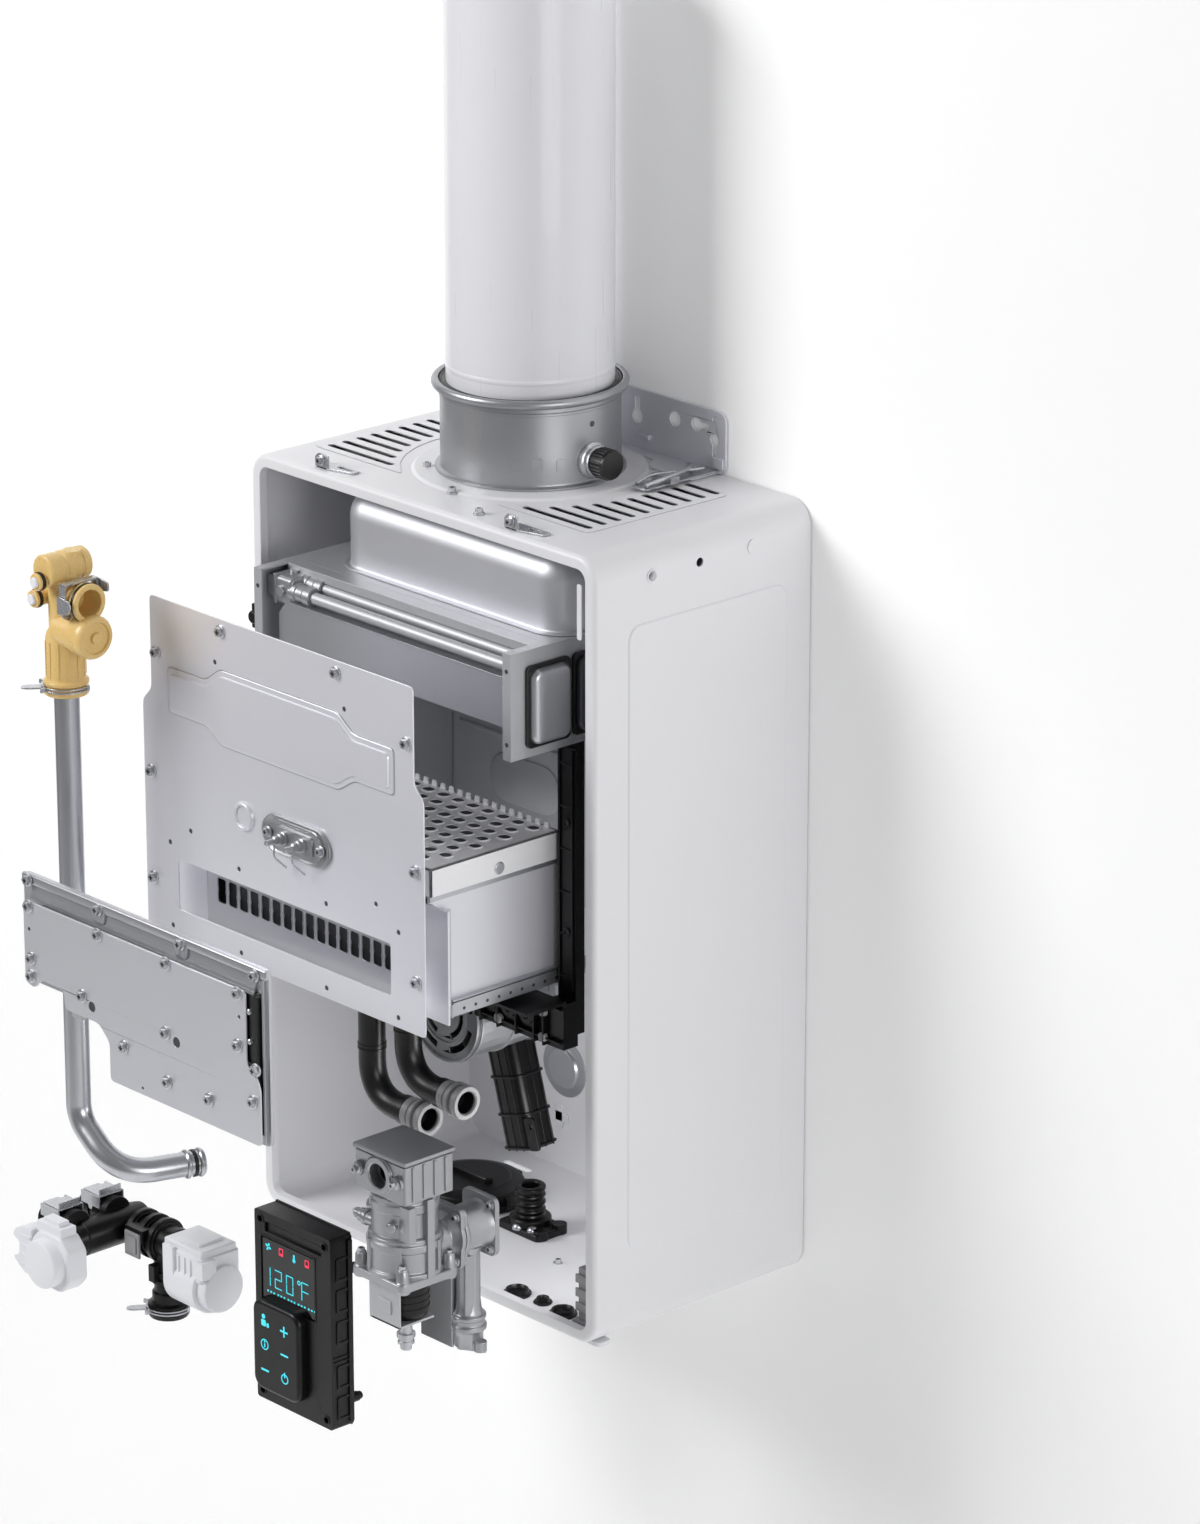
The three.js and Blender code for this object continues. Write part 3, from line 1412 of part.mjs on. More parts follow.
function outletTee() {
  const across = [0, 0];
  const body = rod("z", teeBodyRadius, [teeSocketTop - overrun, teeBodyTop], across);
  const socket = rod("z", teeSocketRadius, [teeSocketBottom, teeSocketTop], across);
  const flare = rod("z", teeFlareRadius, [teeFlareBottom, teeFlareTop], across);
  const neck = rod("x", teePortNeck, [0, teePortReach - teePortRing / 2], [0, teePortZ]);
  const ring = rod("x", teePortRadius, [teePortReach - teePortRing / 2, teePortReach],
    [0, teePortZ]);
  const collar = rod("x", teePortRadius, [teePortNeck, teePortNeck + teePortRing / 4],
    [0, teePortZ]);
  const plug = rod("x", teePlugRadius, [0, teePlugReach], [0, teePlugZ]);
  const head = rod("y", teeHeadRadius, [-teeHeadLength / 2, teeHeadLength / 2],
    [0, teeHeadZ]);
  const frontSpout = rod("y", teeSpoutRadius, [-teeHeadLength / 2 - teeSpoutLength, 0],
    [0, teeHeadZ - teeSpoutLength], smallSides);
  const sideSpout = rod("y", teeSpoutRadius, [-teeHeadLength / 2, 0],
    [-teeSideSpoutX, teeSideSpoutZ], smallSides);
  const bore = rod("z", pipeTubeRadius + gap, [teeFlareBottom - overrun,
    pipeTubeTop + gap], across);
  const portBoring = rod("x", teePortBore, [teePortReach - teePortBoreDepth,
    teePortReach + overrun], [0, teePortZ]);
  const frontBore = rod("y", teeSpoutBore, [-teeHeadLength / 2 - teeSpoutLength - overrun,
    -teeHeadLength / 2], [0, teeHeadZ - teeSpoutLength], smallSides);
  const sideBore = rod("y", teeSpoutBore, [-teeHeadLength / 2 - overrun,
    -teeHeadLength / 2 + teeSpoutLength], [-teeSideSpoutX, teeSideSpoutZ], smallSides);
  return piece("outlet_tee", cut(
    join(body, socket, flare, neck, ring, collar, plug, head, frontSpout, sideSpout),
    bore, portBoring, frontBore, sideBore), creamPlastic);
}

function outletPipe() {
  const end = new THREE.Vector3(pipeTubeEndX, pipeTubeEndY, pipeTubeLow);
  const corner = new THREE.Vector3(pipeTubeCornerX, 0, pipeTubeLow);
  const path = bentPath([
    new THREE.Vector3(0, 0, pipeTubeTop), new THREE.Vector3(0, 0, pipeTubeKneeZ),
    corner, end,
  ], pipeTubeBend);
  const along = end.clone().sub(corner).normalize();
  const turn = Math.atan2(-along.x, along.y);
  const place = (geometry) => geometry.rotateZ(turn).translate(end.x, end.y, end.z);
  const bead = (from) => place(rod("y", pipeBeadRadius, [from, from + pipeBeadWidth],
    [0, 0]));
  const bore = place(rod("y", pipeTubeBore, [-pipeTubeBoreDepth, overrun], [0, 0],
    smallSides));
  return piece("outlet_pipe", cut(join(tubeAlong(path, pipeTubeRadius, pipeTubeSteps),
    bead(-pipeBeadWidth), bead(-pipeBeadWidth * 4)), bore), brightSteel);
}

// A spring-steel band open at the back, with a tab to pull it by.
function springClip(radius) {
  const inner = radius + gap;
  const outer = inner + clipBand;
  const shape = new THREE.Shape();
  shape.absarc(0, 0, outer, Math.PI * clipBandGap, Math.PI * (2.5 - clipBandGap + 1 / 4));
  shape.absarc(0, 0, inner, Math.PI * (2.5 - clipBandGap + 1 / 4), Math.PI * clipBandGap, true);
  const band = facingUp(shape, [0, clipBandHeight], smallSides);
  const tab = block([-clipTabWidth / 2, clipTabWidth / 2], [-outer - clipTabLength,
    -inner - clipBand / 3], [0, clipBandHeight / 2]);
  return join(band, tab);
}

function pipeClip() {
  const mesh = piece("pipe_clip", springClip(teeFlareRadius), brightSteel);
  mesh.position.z = (teeFlareBottom + teeFlareTop - clipBandHeight) / 2;
  mesh.rotation.z = -Math.PI / 5;
  return mesh;
}

function portClip() {
  const start = teePortNeck + teePortRing / 4 + gap;
  const width = teePortReach - teePortRing / 2 - gap - start;
  const inner = teePortNeck + gap;
  const outer = teePlugRadius;
  const legs = [-1, 1].map((sign) => block([start, start + width],
    sign > 0 ? [inner, outer] : [-outer, -inner],
    [teePortZ - clipTabWidth, teePortZ + outer]));
  const bridge = block([start, start + width], [-outer, outer],
    [teePortZ + inner + clipBand, teePortZ + outer]);
  const tab = block([start, start + width + clipTabWidth], [-outer - clipBand, -inner],
    [teePortZ - clipTabWidth, teePortZ + clipTabWidth / 2]);
  const ring = block([start + width, teePortReach + overrun], [-teePortRadius - gap,
    teePortRadius + gap], [teePortZ - teePortRadius - gap, teePortZ + teePortRadius + gap]);
  return piece("port_clip", cut(join(...legs, bridge, tab), ring), brightSteel);
}

function outletGroup() {
  const made = group(outletTee(), outletPipe(), pipeClip(), portClip());
  made.position.set(teeX, teeY, 0);
  return made;
}

// Water valves, about the point where the run meets the drop

function waterValve() {
  const run = rod("x", runRadius, [legX, runRight], [0, 0]);
  const rings = runRingShares.map((share) => rod("x", runRingRadius,
    [share * legX, share * legX + runRingWidth], [0, 0]));
  const leg = rod("y", legRadius, [-legLength, legRadius], [legX, legZ]);
  const centres = socketShares.map((share) => [-share * legLength, legZ + socketRise]);
  const sockets = centres.map((centre) => rod("x", socketRadius,
    [legX - socketReach, legX], centre));
  const bores = centres.map((centre) => rod("x", socketBore, [legX - socketReach - overrun,
    legX - socketReach + socketBoreDepth], centre, smallSides));
  const drop = turned("z", [
    [0, 0], [dropRadius, 0], [dropRadius, dropRingZ], [dropRingRadius, dropRingZ],
    [dropRingRadius, dropRingZ - dropRingHeight], [dropRadius, dropRingZ - dropRingHeight],
    [dropRadius, dropFlareTop], [dropRingRadius, dropFlareTop],
    [dropRingRadius, dropFlareMid], [dropFlareRadius, dropFlareMid],
    [dropFlareRadius, -dropLength], [dropBore, -dropLength],
    [dropBore, -dropLength + dropBoreDepth], [0, -dropLength + dropBoreDepth],
  ], [0, 0]);
  const tab = block([frontTabX, frontTabX + frontTabWidth],
    [-runRingRadius - frontTabThick, -runRingRadius / 2],
    [-frontTabHeight / 2, frontTabHeight / 2]);
  return piece("water_valve", cut(join(run, ...rings, leg, ...sockets, drop, tab), ...bores),
    blackPlastic);
}

function drainClip() {
  const mesh = piece("drain_clip", springClip(dropFlareRadius), brightSteel);
  mesh.position.z = drainClipZ - clipBandHeight;
  mesh.rotation.z = -Math.PI / 5;
  return mesh;
}

function leftMotor() {
  const rear = -legLength - gap;
  const bodyFront = rear - actuatorLength + actuatorStep;
  const x = legX + leftMotorX;
  const z = legZ + leftMotorZ;
  const body = facingFront(rounded([x - actuatorBody, x + actuatorBody],
    [z - actuatorBody, z + actuatorBody], actuatorBody / 3), [bodyFront, rear]);
  const disc = rod("y", actuatorRadius, [rear - actuatorLength, bodyFront], [x, z], fineSides);
  const plug = block([x - leftPlugReach, x - actuatorBody + overrun],
    [bodyFront, bodyFront + leftPlugWidth], [z - leftPlugHeight / 2, z + leftPlugHeight / 2]);
  const notch = block([x - leftPlugReach - overrun, x - leftPlugReach + leftPlugWidth / 2],
    [bodyFront - overrun, bodyFront + leftPlugWidth + overrun],
    [z - leftPlugHeight / 4, z + leftPlugHeight / 4]);
  return piece("valve_motor_left", join(cut(join(body, plug), notch), disc), whitePlastic);
}

function rightMotor() {
  const start = runRight + gap;
  const end = rightMotorStart + actuatorLength;
  const cap = facingUp(rounded([start, start + rightCapWidth],
    [-rightCapDepth / 2, rightCapDepth / 2], rightCapHeight / 4),
    [rightCapZ - rightCapHeight, rightCapZ + rightCapHeight / 2]);
  const body = rod("x", actuatorBody, [start + actuatorStep / 2, end - actuatorStep],
    [0, rightMotorZ]);
  const disc = rod("x", actuatorRadius, [start + actuatorStep, end], [0, rightMotorZ],
    fineSides);
  return piece("valve_motor_right", join(cap, body, disc), whitePlastic);
}

function waterGroup() {
  const made = group(waterValve(), drainClip(), leftMotor(), rightMotor());
  made.position.set(waterX, waterY, waterZ);
  return made;
}

// Control panel, about the middle of its front

function panelCase() {
  const halfW = panelWidth / 2;
  const halfH = panelHeight / 2;
  const outline = rounded([-halfW, halfW], [-halfH, halfH], panelCorner);
  for (const x of [-halfW + panelHoleInset, halfW - panelHoleInset]) {
    for (const z of [-halfH + panelHoleInset, halfH - panelHoleInset]) {
      const hole = new THREE.Path();
      hole.absarc(x, z, panelHoleRadius, 0, Math.PI * 2);
      outline.holes.push(hole);
    }
  }
  const body = facingFront(outline, [0, panelDepth], 3);
  const glassLeft = -halfW + glassLeftInset;
  const glassTopZ = halfH - glassTopInset;
  const recess = block([glassLeft - gap, glassLeft + glassWidth + gap],
    [-overrun, panelRecess], [glassTopZ - glassHeight - gap, glassTopZ + gap]);
  const slotLeft = -halfW + panelHoleInset * 2;
  const slotTop = halfH - slotTopInset;
  const slot = block([slotLeft, slotLeft + slotWidth], [-overrun, slotDepth],
    [slotTop - slotHeight, slotTop]);
  const sideSlots = [];
  for (let i = 0; i < railSlotCount; i += 1) {
    const z = -halfH + panelHoleInset + i * railSlotPitch;
    sideSlots.push(block([halfW - railSlotDepth, halfW + overrun],
      [(panelDepth - railSlotWidth) / 2, (panelDepth + railSlotWidth) / 2],
      [z, z + railSlotHeight]));
  }
  const feet = [-1, 1].flatMap((u) => [-1, 1].map((v) => rod("y", standoffRadius,
    [panelDepth - panelRecess, panelDepth + standoffLength],
    [u * (halfW - standoffInset * 2), v * (halfH - standoffInset)], smallSides)));
  return piece("panel_case", join(cut(body, recess, slot, ...sideSlots), ...feet),
    blackPlastic);
}

function panelGlass() {
  const left = -panelWidth / 2 + glassLeftInset;
  const top = panelHeight / 2 - glassTopInset;
  return piece("panel_glass", block([left, left + glassWidth],
    [panelRecess - gap - glassThick, panelRecess - gap], [top - glassHeight, top]),
    smokedGlass);
}

function panelKeypad() {
  const left = -panelWidth / 2 + keypadLeftInset;
  const bottom = -panelHeight / 2 + keypadBottomInset + panelHoleInset;
  const pad = facingFront(rounded([left, left + keypadWidth],
    [bottom, bottom + keypadHeight], keypadCorner), [-keypadRise, -gap]);
  return piece("panel_keypad", pad, blackPlastic);
}

function panelGroup() {
  const made = group(panelCase(), panelGlass(), panelKeypad());
  made.position.set(panelX, panelFrontY, panelZ);
  return made;
}

// Gas valve, about its upright axis

function valveBody() {
  const halfW = valveBaseWidth / 2;
  const halfD = valveBaseDepth / 2;
  const baseTop = valveBaseZ + valveBaseThick;
  const base = facingUp(rounded([-halfW, halfW], [-halfD, halfD], valveBaseCorner),
    [valveBaseZ, baseTop]);
  const bosses = [-1, 1].flatMap((u) => [-1, 1].map((v) => rod("z", valveBaseBossRadius,
    [valveBaseZ, baseTop + valveBaseBossHeight],
    [u * (halfW - valveBaseCorner), v * (halfD - valveBaseCorner)], smallSides)));
  const lower = rod("z", valveLowerRadius, [baseTop - overrun, valveLowerTop], [0, 0]);
  const upper = rod("z", valveUpperRadius, [valveLowerTop - overrun, valveUpperTop], [0, 0]);
  const rib = block([valveUpperRadius - valveRibWidth, valveUpperRadius + valveRibWidth],
    [-valveRibDepth / 2, valveRibDepth / 2], [baseTop - overrun, valveUpperTop]);
  const nipple = rod("x", valveSideNippleRadius, [-valveSideNippleReach, 0],
    [-valveUpperRadius / 2, valveSideNippleZ], smallSides);
  const neck = rod("y", neckRadius, [0, neckEndY - valveY], [0, neckZ]);
  const neckFlange = rod("y", neckFlangeRadius, [neckEndY - valveY - neckFlangeThick,
    neckEndY - valveY], [0, neckZ]);
  return piece("valve_body",
    join(base, ...bosses, lower, upper, rib, nipple, neck, neckFlange), castAluminium);
}

function valveHead() {
  const bottom = valveUpperTop + gap;
  const top = bottom + headHeight;
  const halfW = headWidth / 2;
  const halfD = headDepth / 2;
  const body = block([-halfW, halfW], [-halfD, halfD], [bottom, top]);
  const cap = block([-halfW - headCapOverhang, halfW + headCapOverhang],
    [-halfD - headCapOverhang, halfD + headCapOverhang], [top - headCapThick, top]);
  const portZ0 = top - headPortDrop;
  const ring = rod("y", headPortRadius, [-halfD - headPortRise, -halfD + overrun],
    [0, portZ0]);
  const bore = rod("y", headPortBore, [-halfD - headPortRise - overrun,
    -halfD + headPortDepth], [0, portZ0]);
  const screws = [-1, 1].map((sign) => rod("y", headScrewRadius,
    [-halfD - headScrewLength, -halfD + overrun], [sign * headScrewSpread, portZ0],
    smallSides));
  return piece("valve_head", cut(join(body, cap, ring, ...screws), bore), castAluminium);
}

function valveSolenoid() {
  const top = valveBaseZ - gap;
  const bottom = top - coilHeight;
  const coil = turned("z", [
    [0, top], [coilRadius, top], [coilRadius, bottom + coilNippleRing],
    [coilRadius - coilNippleRing / 2, bottom], [coilNippleRadius, bottom],
    [coilNippleRadius, coilNippleBottom + coilNippleRing * 2],
    [coilNippleRing, coilNippleBottom + coilNippleRing * 2],
    [coilNippleRing, coilNippleBottom + coilNippleRing * 1.5],
    [coilNippleRadius, coilNippleBottom + coilNippleRing * 1.5],
    [coilNippleRadius, coilNippleBottom], [0, coilNippleBottom],
  ], [0, 0]);
  const yokeFront = -coilRadius - coilYokeSheet;
  const yoke = block([-coilYokeWidth / 2 - coilYokeSheet, coilYokeWidth / 2],
    [yokeFront, -coilRadius + overrun], [bottom - coilYokeSheet, top]);
  const sole = block([-coilYokeWidth / 2, coilYokeWidth / 2], [yokeFront,
    -coilNippleRing - overrun], [bottom - coilYokeSheet, bottom + overrun]);
  return piece("valve_solenoid", join(coil, yoke, sole), darkSteel);
}

function gasTube() {
  const y = tubeY - valveY;
  const frontY = neckEndY - valveY + gap;
  const rearY = frontY + elbowLength;
  const elbow = rod("y", elbowRadius, [frontY, rearY], [0, neckZ]);
  const frontRing = rod("y", neckFlangeRadius, [frontY, frontY + neckFlangeThick],
    [0, neckZ]);
  const flange = facingFront(rounded([-gasFlangeWidth / 2, gasFlangeWidth / 2],
    [neckZ - gasFlangeHeight / 2, neckZ + gasFlangeHeight / 2], valveBaseCorner),
    [rearY - gasFlangeThick, rearY]);
  const drop = rod("z", gasTubeRadius, [gasFootBottom + overrun, neckZ], [0, y]);
  const socket = rod("z", gasSocketRadius, [gasSocketBottom, gasSocketTop], [0, y]);
  const foot = facingUp(polygon([
    [0, y - gasFootDepth / 2], [gasFootWidth / 2, y], [0, y + gasFootDepth / 2],
    [-gasFootWidth / 2, y],
  ]), [gasFootBottom, gasFootBottom + gasFootThick]);
  const bracket = block([gasBracketLeft, 0], [y - gasTubeRadius - gasBracketSheet,
    y - gasTubeRadius + overrun], [gasFootBottom, gasBracketTop]);
  return piece("gas_tube",
    join(elbow, frontRing, flange, drop, socket, foot, bracket), castAluminium);
}

function valveGroup() {
  const made = group(valveBody(), valveHead(), valveSolenoid(), gasTube());
  made.position.set(valveX, valveY, 0);
  return made;
}

// The whole heater, set so that the origin lies on the wall bracket's back face

const tubes = [
  exchangerTube("exchanger_tube_rear", rearTubeY, rearTubeZ),
  exchangerTube("exchanger_tube_front", frontTubeY, frontTubeZ),
];
const sideCovers = [
  headerCover("header_cover_front", frameFrontY + coverFrontInset),
  headerCover("header_cover_rear", frameFrontY + coverFrontInset + coverPitch),
];
const hoses = ["left", "right"].flatMap((side, i) => {
  const start = hoseX + i * hosePitch;
  const run = { start, end: start + hoseReach, drop: hoseLowZ + i * hoseStagger };
  return [drainHose(`drain_hose_${side}`, run), hoseCoupling(`hose_coupling_${side}`, run)];
});
const grommets = grommetPlaces.map((place, i) => floorGrommet(`floor_grommet_${i + 1}`, place));
const heater = group(
  cabinetShell(), wallBracket(), bracketStrap(),
  coverClip("cover_clip_left", clipLeftX),
  coverClip("cover_clip_right", clipRightX),
  flueCollar(), collarSeal(), ventPipe(), testPort(), testPortCap(),
  exchangerFrame(), exchangerHeader(), tubes, bafflePlate(), sideCovers, exhaustHood(),
  chamberLining(), sideRail(), fanHousing(), fanCover(), fanWheel(), intakeDuct(),
  hoses, trapLid(), drainFitting(), grommets,
  burnerBox(), burnerDeck(), burnerPorts(), burnerTray(),
  frontPlate(), igniterPlate(),
  electrode("spark_electrode", igniterX - electrodeSpread),
  electrode("flame_electrode", igniterX + electrodeSpread),
  gasBackPlate(), gasGasket(), gasFrontPlate(),
  outletGroup(), waterGroup(), panelGroup(), valveGroup(),
);
heater.position.set(-flueX, 0, -(cabinetHeight + bracketTop) / 2);

const waterHeater = group(heater);
export default waterHeater;
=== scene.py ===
"""Dresses a wall-hung tankless water heater, drawn out group by group, and sets its stage."""
import math

import bmesh
import bpy
from mathutils import Matrix, Vector
from mathutils.geometry import tessellate_polygon


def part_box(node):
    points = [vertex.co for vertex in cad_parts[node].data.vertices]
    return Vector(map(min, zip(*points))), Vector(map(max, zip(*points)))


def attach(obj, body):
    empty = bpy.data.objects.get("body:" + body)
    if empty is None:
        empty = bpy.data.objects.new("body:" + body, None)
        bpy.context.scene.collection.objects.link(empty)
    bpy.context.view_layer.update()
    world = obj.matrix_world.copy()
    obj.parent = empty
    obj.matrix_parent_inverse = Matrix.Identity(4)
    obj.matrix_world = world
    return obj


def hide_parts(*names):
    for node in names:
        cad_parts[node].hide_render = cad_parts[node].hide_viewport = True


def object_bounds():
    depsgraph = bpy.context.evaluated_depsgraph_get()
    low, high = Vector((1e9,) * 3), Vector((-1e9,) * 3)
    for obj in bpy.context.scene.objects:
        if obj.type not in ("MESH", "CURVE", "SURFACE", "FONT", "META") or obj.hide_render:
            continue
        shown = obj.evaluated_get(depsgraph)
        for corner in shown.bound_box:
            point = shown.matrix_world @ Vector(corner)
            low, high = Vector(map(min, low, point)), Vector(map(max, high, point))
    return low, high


bl_info = {"name": "Wall-hung water heater", "version": (1, 0, 0), "blender": (4, 5, 0),
    "location": "3D View > Sidebar > Heater",
    "description": "Builds the visible pieces of a tankless water heater around its frame",
    "category": "Add Mesh"}

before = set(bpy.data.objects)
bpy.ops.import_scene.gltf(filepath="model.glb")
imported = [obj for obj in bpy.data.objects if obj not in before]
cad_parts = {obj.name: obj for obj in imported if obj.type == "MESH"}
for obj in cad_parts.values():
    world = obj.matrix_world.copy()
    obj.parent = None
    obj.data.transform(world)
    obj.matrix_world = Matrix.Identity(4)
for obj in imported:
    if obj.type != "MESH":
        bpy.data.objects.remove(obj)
CAD_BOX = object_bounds()
MM = 0.001

# The cabinet's foot at the wall: x from its middle, y from the wall, z from its floor.
SHELL_LOW, SHELL_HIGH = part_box("cabinet_shell")
FOOT = Vector(((SHELL_LOW.x + SHELL_HIGH.x) / 2, 0, SHELL_LOW.z)) / MM


def extent(node):
    """A node's box in millimetres from the cabinet's foot, as x, y and z pairs."""
    low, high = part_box(node)
    return [(low[i] / MM - FOOT[i], high[i] / MM - FOOT[i]) for i in range(3)]


def middle(pair):
    return (pair[0] + pair[1]) / 2


def length(pair):
    return pair[1] - pair[0]


# Colours


def linear(code):
    """An sRGB hex value as linear red, green and blue."""
    parts = [((code >> shift) & 255) / 255 for shift in (16, 8, 0)]
    return tuple(p / 12.92 if p <= 0.04045 else ((p + 0.055) / 1.055) ** 2.4 for p in parts)


def colour_setting(name, description, code):
    return bpy.props.FloatVectorProperty(name=name, description=description, default=linear(code),
        subtype="COLOR", size=3, min=0, max=1)


def size_setting(name, description, default):
    return bpy.props.FloatProperty(name=name, description=description, default=default * MM,
        unit="LENGTH", subtype="DISTANCE", min=0)


class HeaterColours(bpy.types.PropertyGroup):
    """The colours of the heater's surfaces."""
    enamel: colour_setting("Enamel", "The cabinet's powder coat", 0xE6E6E9)
    vent: colour_setting("Vent", "The vent pipe's plastic", 0xE4E4E8)
    zinc: colour_setting("Zinc", "Galvanised sheet", 0xBEBFC2)
    stainless: colour_setting("Stainless", "Satin stainless sheet", 0xC3C4C9)
    bright: colour_setting("Bright steel", "Drawn stainless tube and spring clips", 0xC2C3C8)
    plate: colour_setting("Plate", "The pressed front plates", 0xE6E6ED)
    casting: colour_setting("Casting", "Die-cast aluminium", 0xAEAFB2)
    # This dark steel colour is painted shade: it darkens holes, bores, screw crosses, deck cells
    # and the rear header cover.
    dark_steel: colour_setting("Dark steel", "Heat-stained sheet and coil covers", 0x55565A)
    rubber: colour_setting("Rubber", "Hoses, seals and grommets", 0x0D0D0E)
    nylon: colour_setting("Nylon", "Black moulded plastic", 0x070708)
    lining: colour_setting("Lining", "Aluminised sheet round the flame", 0xC2C3C6)
    deck: colour_setting("Deck", "Folded sheet of the burner's deck", 0xF2F2F4)
    gas_sheet: colour_setting("Gas sheet", "The gas cover's front sheet", 0xD6D7DD)
    hood: colour_setting("Hood", "Deep-drawn stainless steel", 0xD2D3D8)
    collar: colour_setting("Collar", "Rolled steel of the flue collar", 0xA9AAAE)
    cream: colour_setting("Cream", "The outlet tee's moulded plastic", 0xE2C07C)
    white: colour_setting("White", "The valve motors' covers", 0xE6E7EC)
    grey: colour_setting("Grey", "The hose couplings", 0x8E8E90)
    screen_blue: colour_setting("Screen blue", "Digits and keys", 0x3CC3CF)
    screen_red: colour_setting("Screen red", "Warning lights", 0xD02A48)
    backdrop: colour_setting("Backdrop", "Wall and floor", 0xFFFFFF)


class HeaterSizes(bpy.types.PropertyGroup):
    """Sizes of the finer forms, which the frame leaves plain."""
    cabinet_corner: size_setting("Cabinet corner", "Radius of the cabinet's long edges", 22)
    front_round: size_setting("Front round", "Radius where the sides turn into the lip", 5)
    edge_round: size_setting("Edge round", "Rounding of sheet and moulded edges", 0.5)
    hood_round: size_setting("Hood round", "Radius of the exhaust hood's top edge", 24)
    screw_radius: size_setting("Screw radius", "Radius of the flange on the plates' screws", 6)
    deck_pitch: size_setting("Deck pitch", "Half the distance between cells in a row", 9.5)


def colours():
    return bpy.context.scene.heater_colours


def size(name):
    """A size setting in millimetres."""
    return getattr(bpy.context.scene.heater_sizes, name) / MM


# Shapes: each is a pair of points, in millimetres from the cabinet's foot, and faces

LAID = {"x": lambda u, v, w: (w, u, v), "y": lambda u, v, w: (u, w, v),
    "z": lambda u, v, w: (u, v, w)}


def loft(rings, closed=False):
    count = len(rings[0])
    points = [point for ring in rings for point in ring]
    faces = []
    for r in range(len(rings) if closed else len(rings) - 1):
        here, there = r * count, (r + 1) % len(rings) * count
        for i in range(count):
            j = (i + 1) % count
            faces.append((here + i, here + j, there + j, there + i))
    if not closed:
        faces += [tuple(range(count)), tuple(range(len(points) - count, len(points)))]
    return points, faces


def turned(axis, outline, centre, sides=64):
    """A turned form from [radius, place along the axis] points, closed if none is on the axis."""
    rings = []
    for radius, along in outline:
        ring = []
        for i in range(sides):
            angle = math.tau * i / sides
            u = centre[0] + max(radius, 0.01) * math.cos(angle)
            v = centre[1] + max(radius, 0.01) * math.sin(angle)
            ring.append(LAID[axis](u, v, along))
        rings.append(ring)
    return loft(rings, closed=outline[0][0] > 0)


def rod(axis, radius, span, centre, sides=48):
    return turned(axis, [(0, span[0]), (radius, span[0]), (radius, span[1]), (0, span[1])], centre,
        sides)


def pipe(axis, outer, inner, span, centre, sides=48):
    return turned(axis, [(inner, span[0]), (outer, span[0]), (outer, span[1]), (inner, span[1])],
        centre, sides)


def circle(centre, radius, sides=24):
    return [(centre[0] + radius * math.cos(math.tau * i / sides),
        centre[1] + radius * math.sin(math.tau * i / sides)) for i in range(sides)]


def rounded(u, v, radius, steps=6):
    points = []
    for corner, (cu, cv) in enumerate([(u[1] - radius, v[1] - radius),
            (u[0] + radius, v[1] - radius), (u[0] + radius, v[0] + radius),
            (u[1] - radius, v[0] + radius)]):
        for step in range(steps + 1):
            angle = (corner + step / steps) * math.pi / 2
            points.append((cu + radius * math.cos(angle), cv + radius * math.sin(angle)))
    return points


def softened(outline, radius, steps=4):
    """An outline with each corner replaced by a short curve."""
    points = []
    for i, corner in enumerate(outline):
        here = Vector(corner)
        ends = []
        for other in (outline[i - 1], outline[(i + 1) % len(outline)]):
            way = Vector(other) - here
            ends.append(here + way.normalized() * min(radius, way.length / 2.01))
        for step in range(steps + 1):
            t = step / steps
            spot = ends[0] * (1 - t) ** 2 + here * 2 * t * (1 - t) + ends[1] * t ** 2
            points.append(tuple(spot))
    return points


def slab(facing, outline, span, holes=()):
    """A flat outline of two-part points given thickness along the axis that it faces."""
    loops = [outline, *holes]
    flat = [Vector((u, v, 0)) for loop in loops for u, v in loop]
    count = len(flat)
    points = [LAID[facing](p.x, p.y, along) for along in span for p in flat]
    caps = [tuple(range(count))]
    if holes:
        caps = tessellate_polygon([[Vector((u, v, 0)) for u, v in loop] for loop in loops])
    faces = [tuple(cap) for cap in caps] + [tuple(count + i for i in cap) for cap in caps]
    start = 0
    for loop in loops:
        for i in range(len(loop)):
            here, there = start + i, start + (i + 1) % len(loop)
            faces.append((here, there, count + there, count + here))
        start += len(loop)
    return points, faces


def box(x, y, z):
    return slab("z", [(x[0], y[0]), (x[1], y[0]), (x[1], y[1]), (x[0], y[1])], z)


def drawn(facing, u, v, radius, profile, steps=8):
    """A rounded rectangle drawn along its facing through a profile of [inset, place] points."""
    rings = []
    for inset, along in profile:
        outline = rounded((u[0] + inset, u[1] - inset), (v[0] + inset, v[1] - inset),
            max(radius - inset, 0.3), steps)
        rings.append([LAID[facing](p, q, along) for p, q in outline])
    return loft(rings)


def edge_arc(radius, start, outward, steps=5):
    """Profile points round an outer edge, from the side to the face that the piece ends in."""
    points = []
    for step in range(steps + 1):
        angle = step / steps * math.pi / 2
        points.append((radius * (1 - math.cos(angle)), start + outward * radius * math.sin(angle)))
    return points


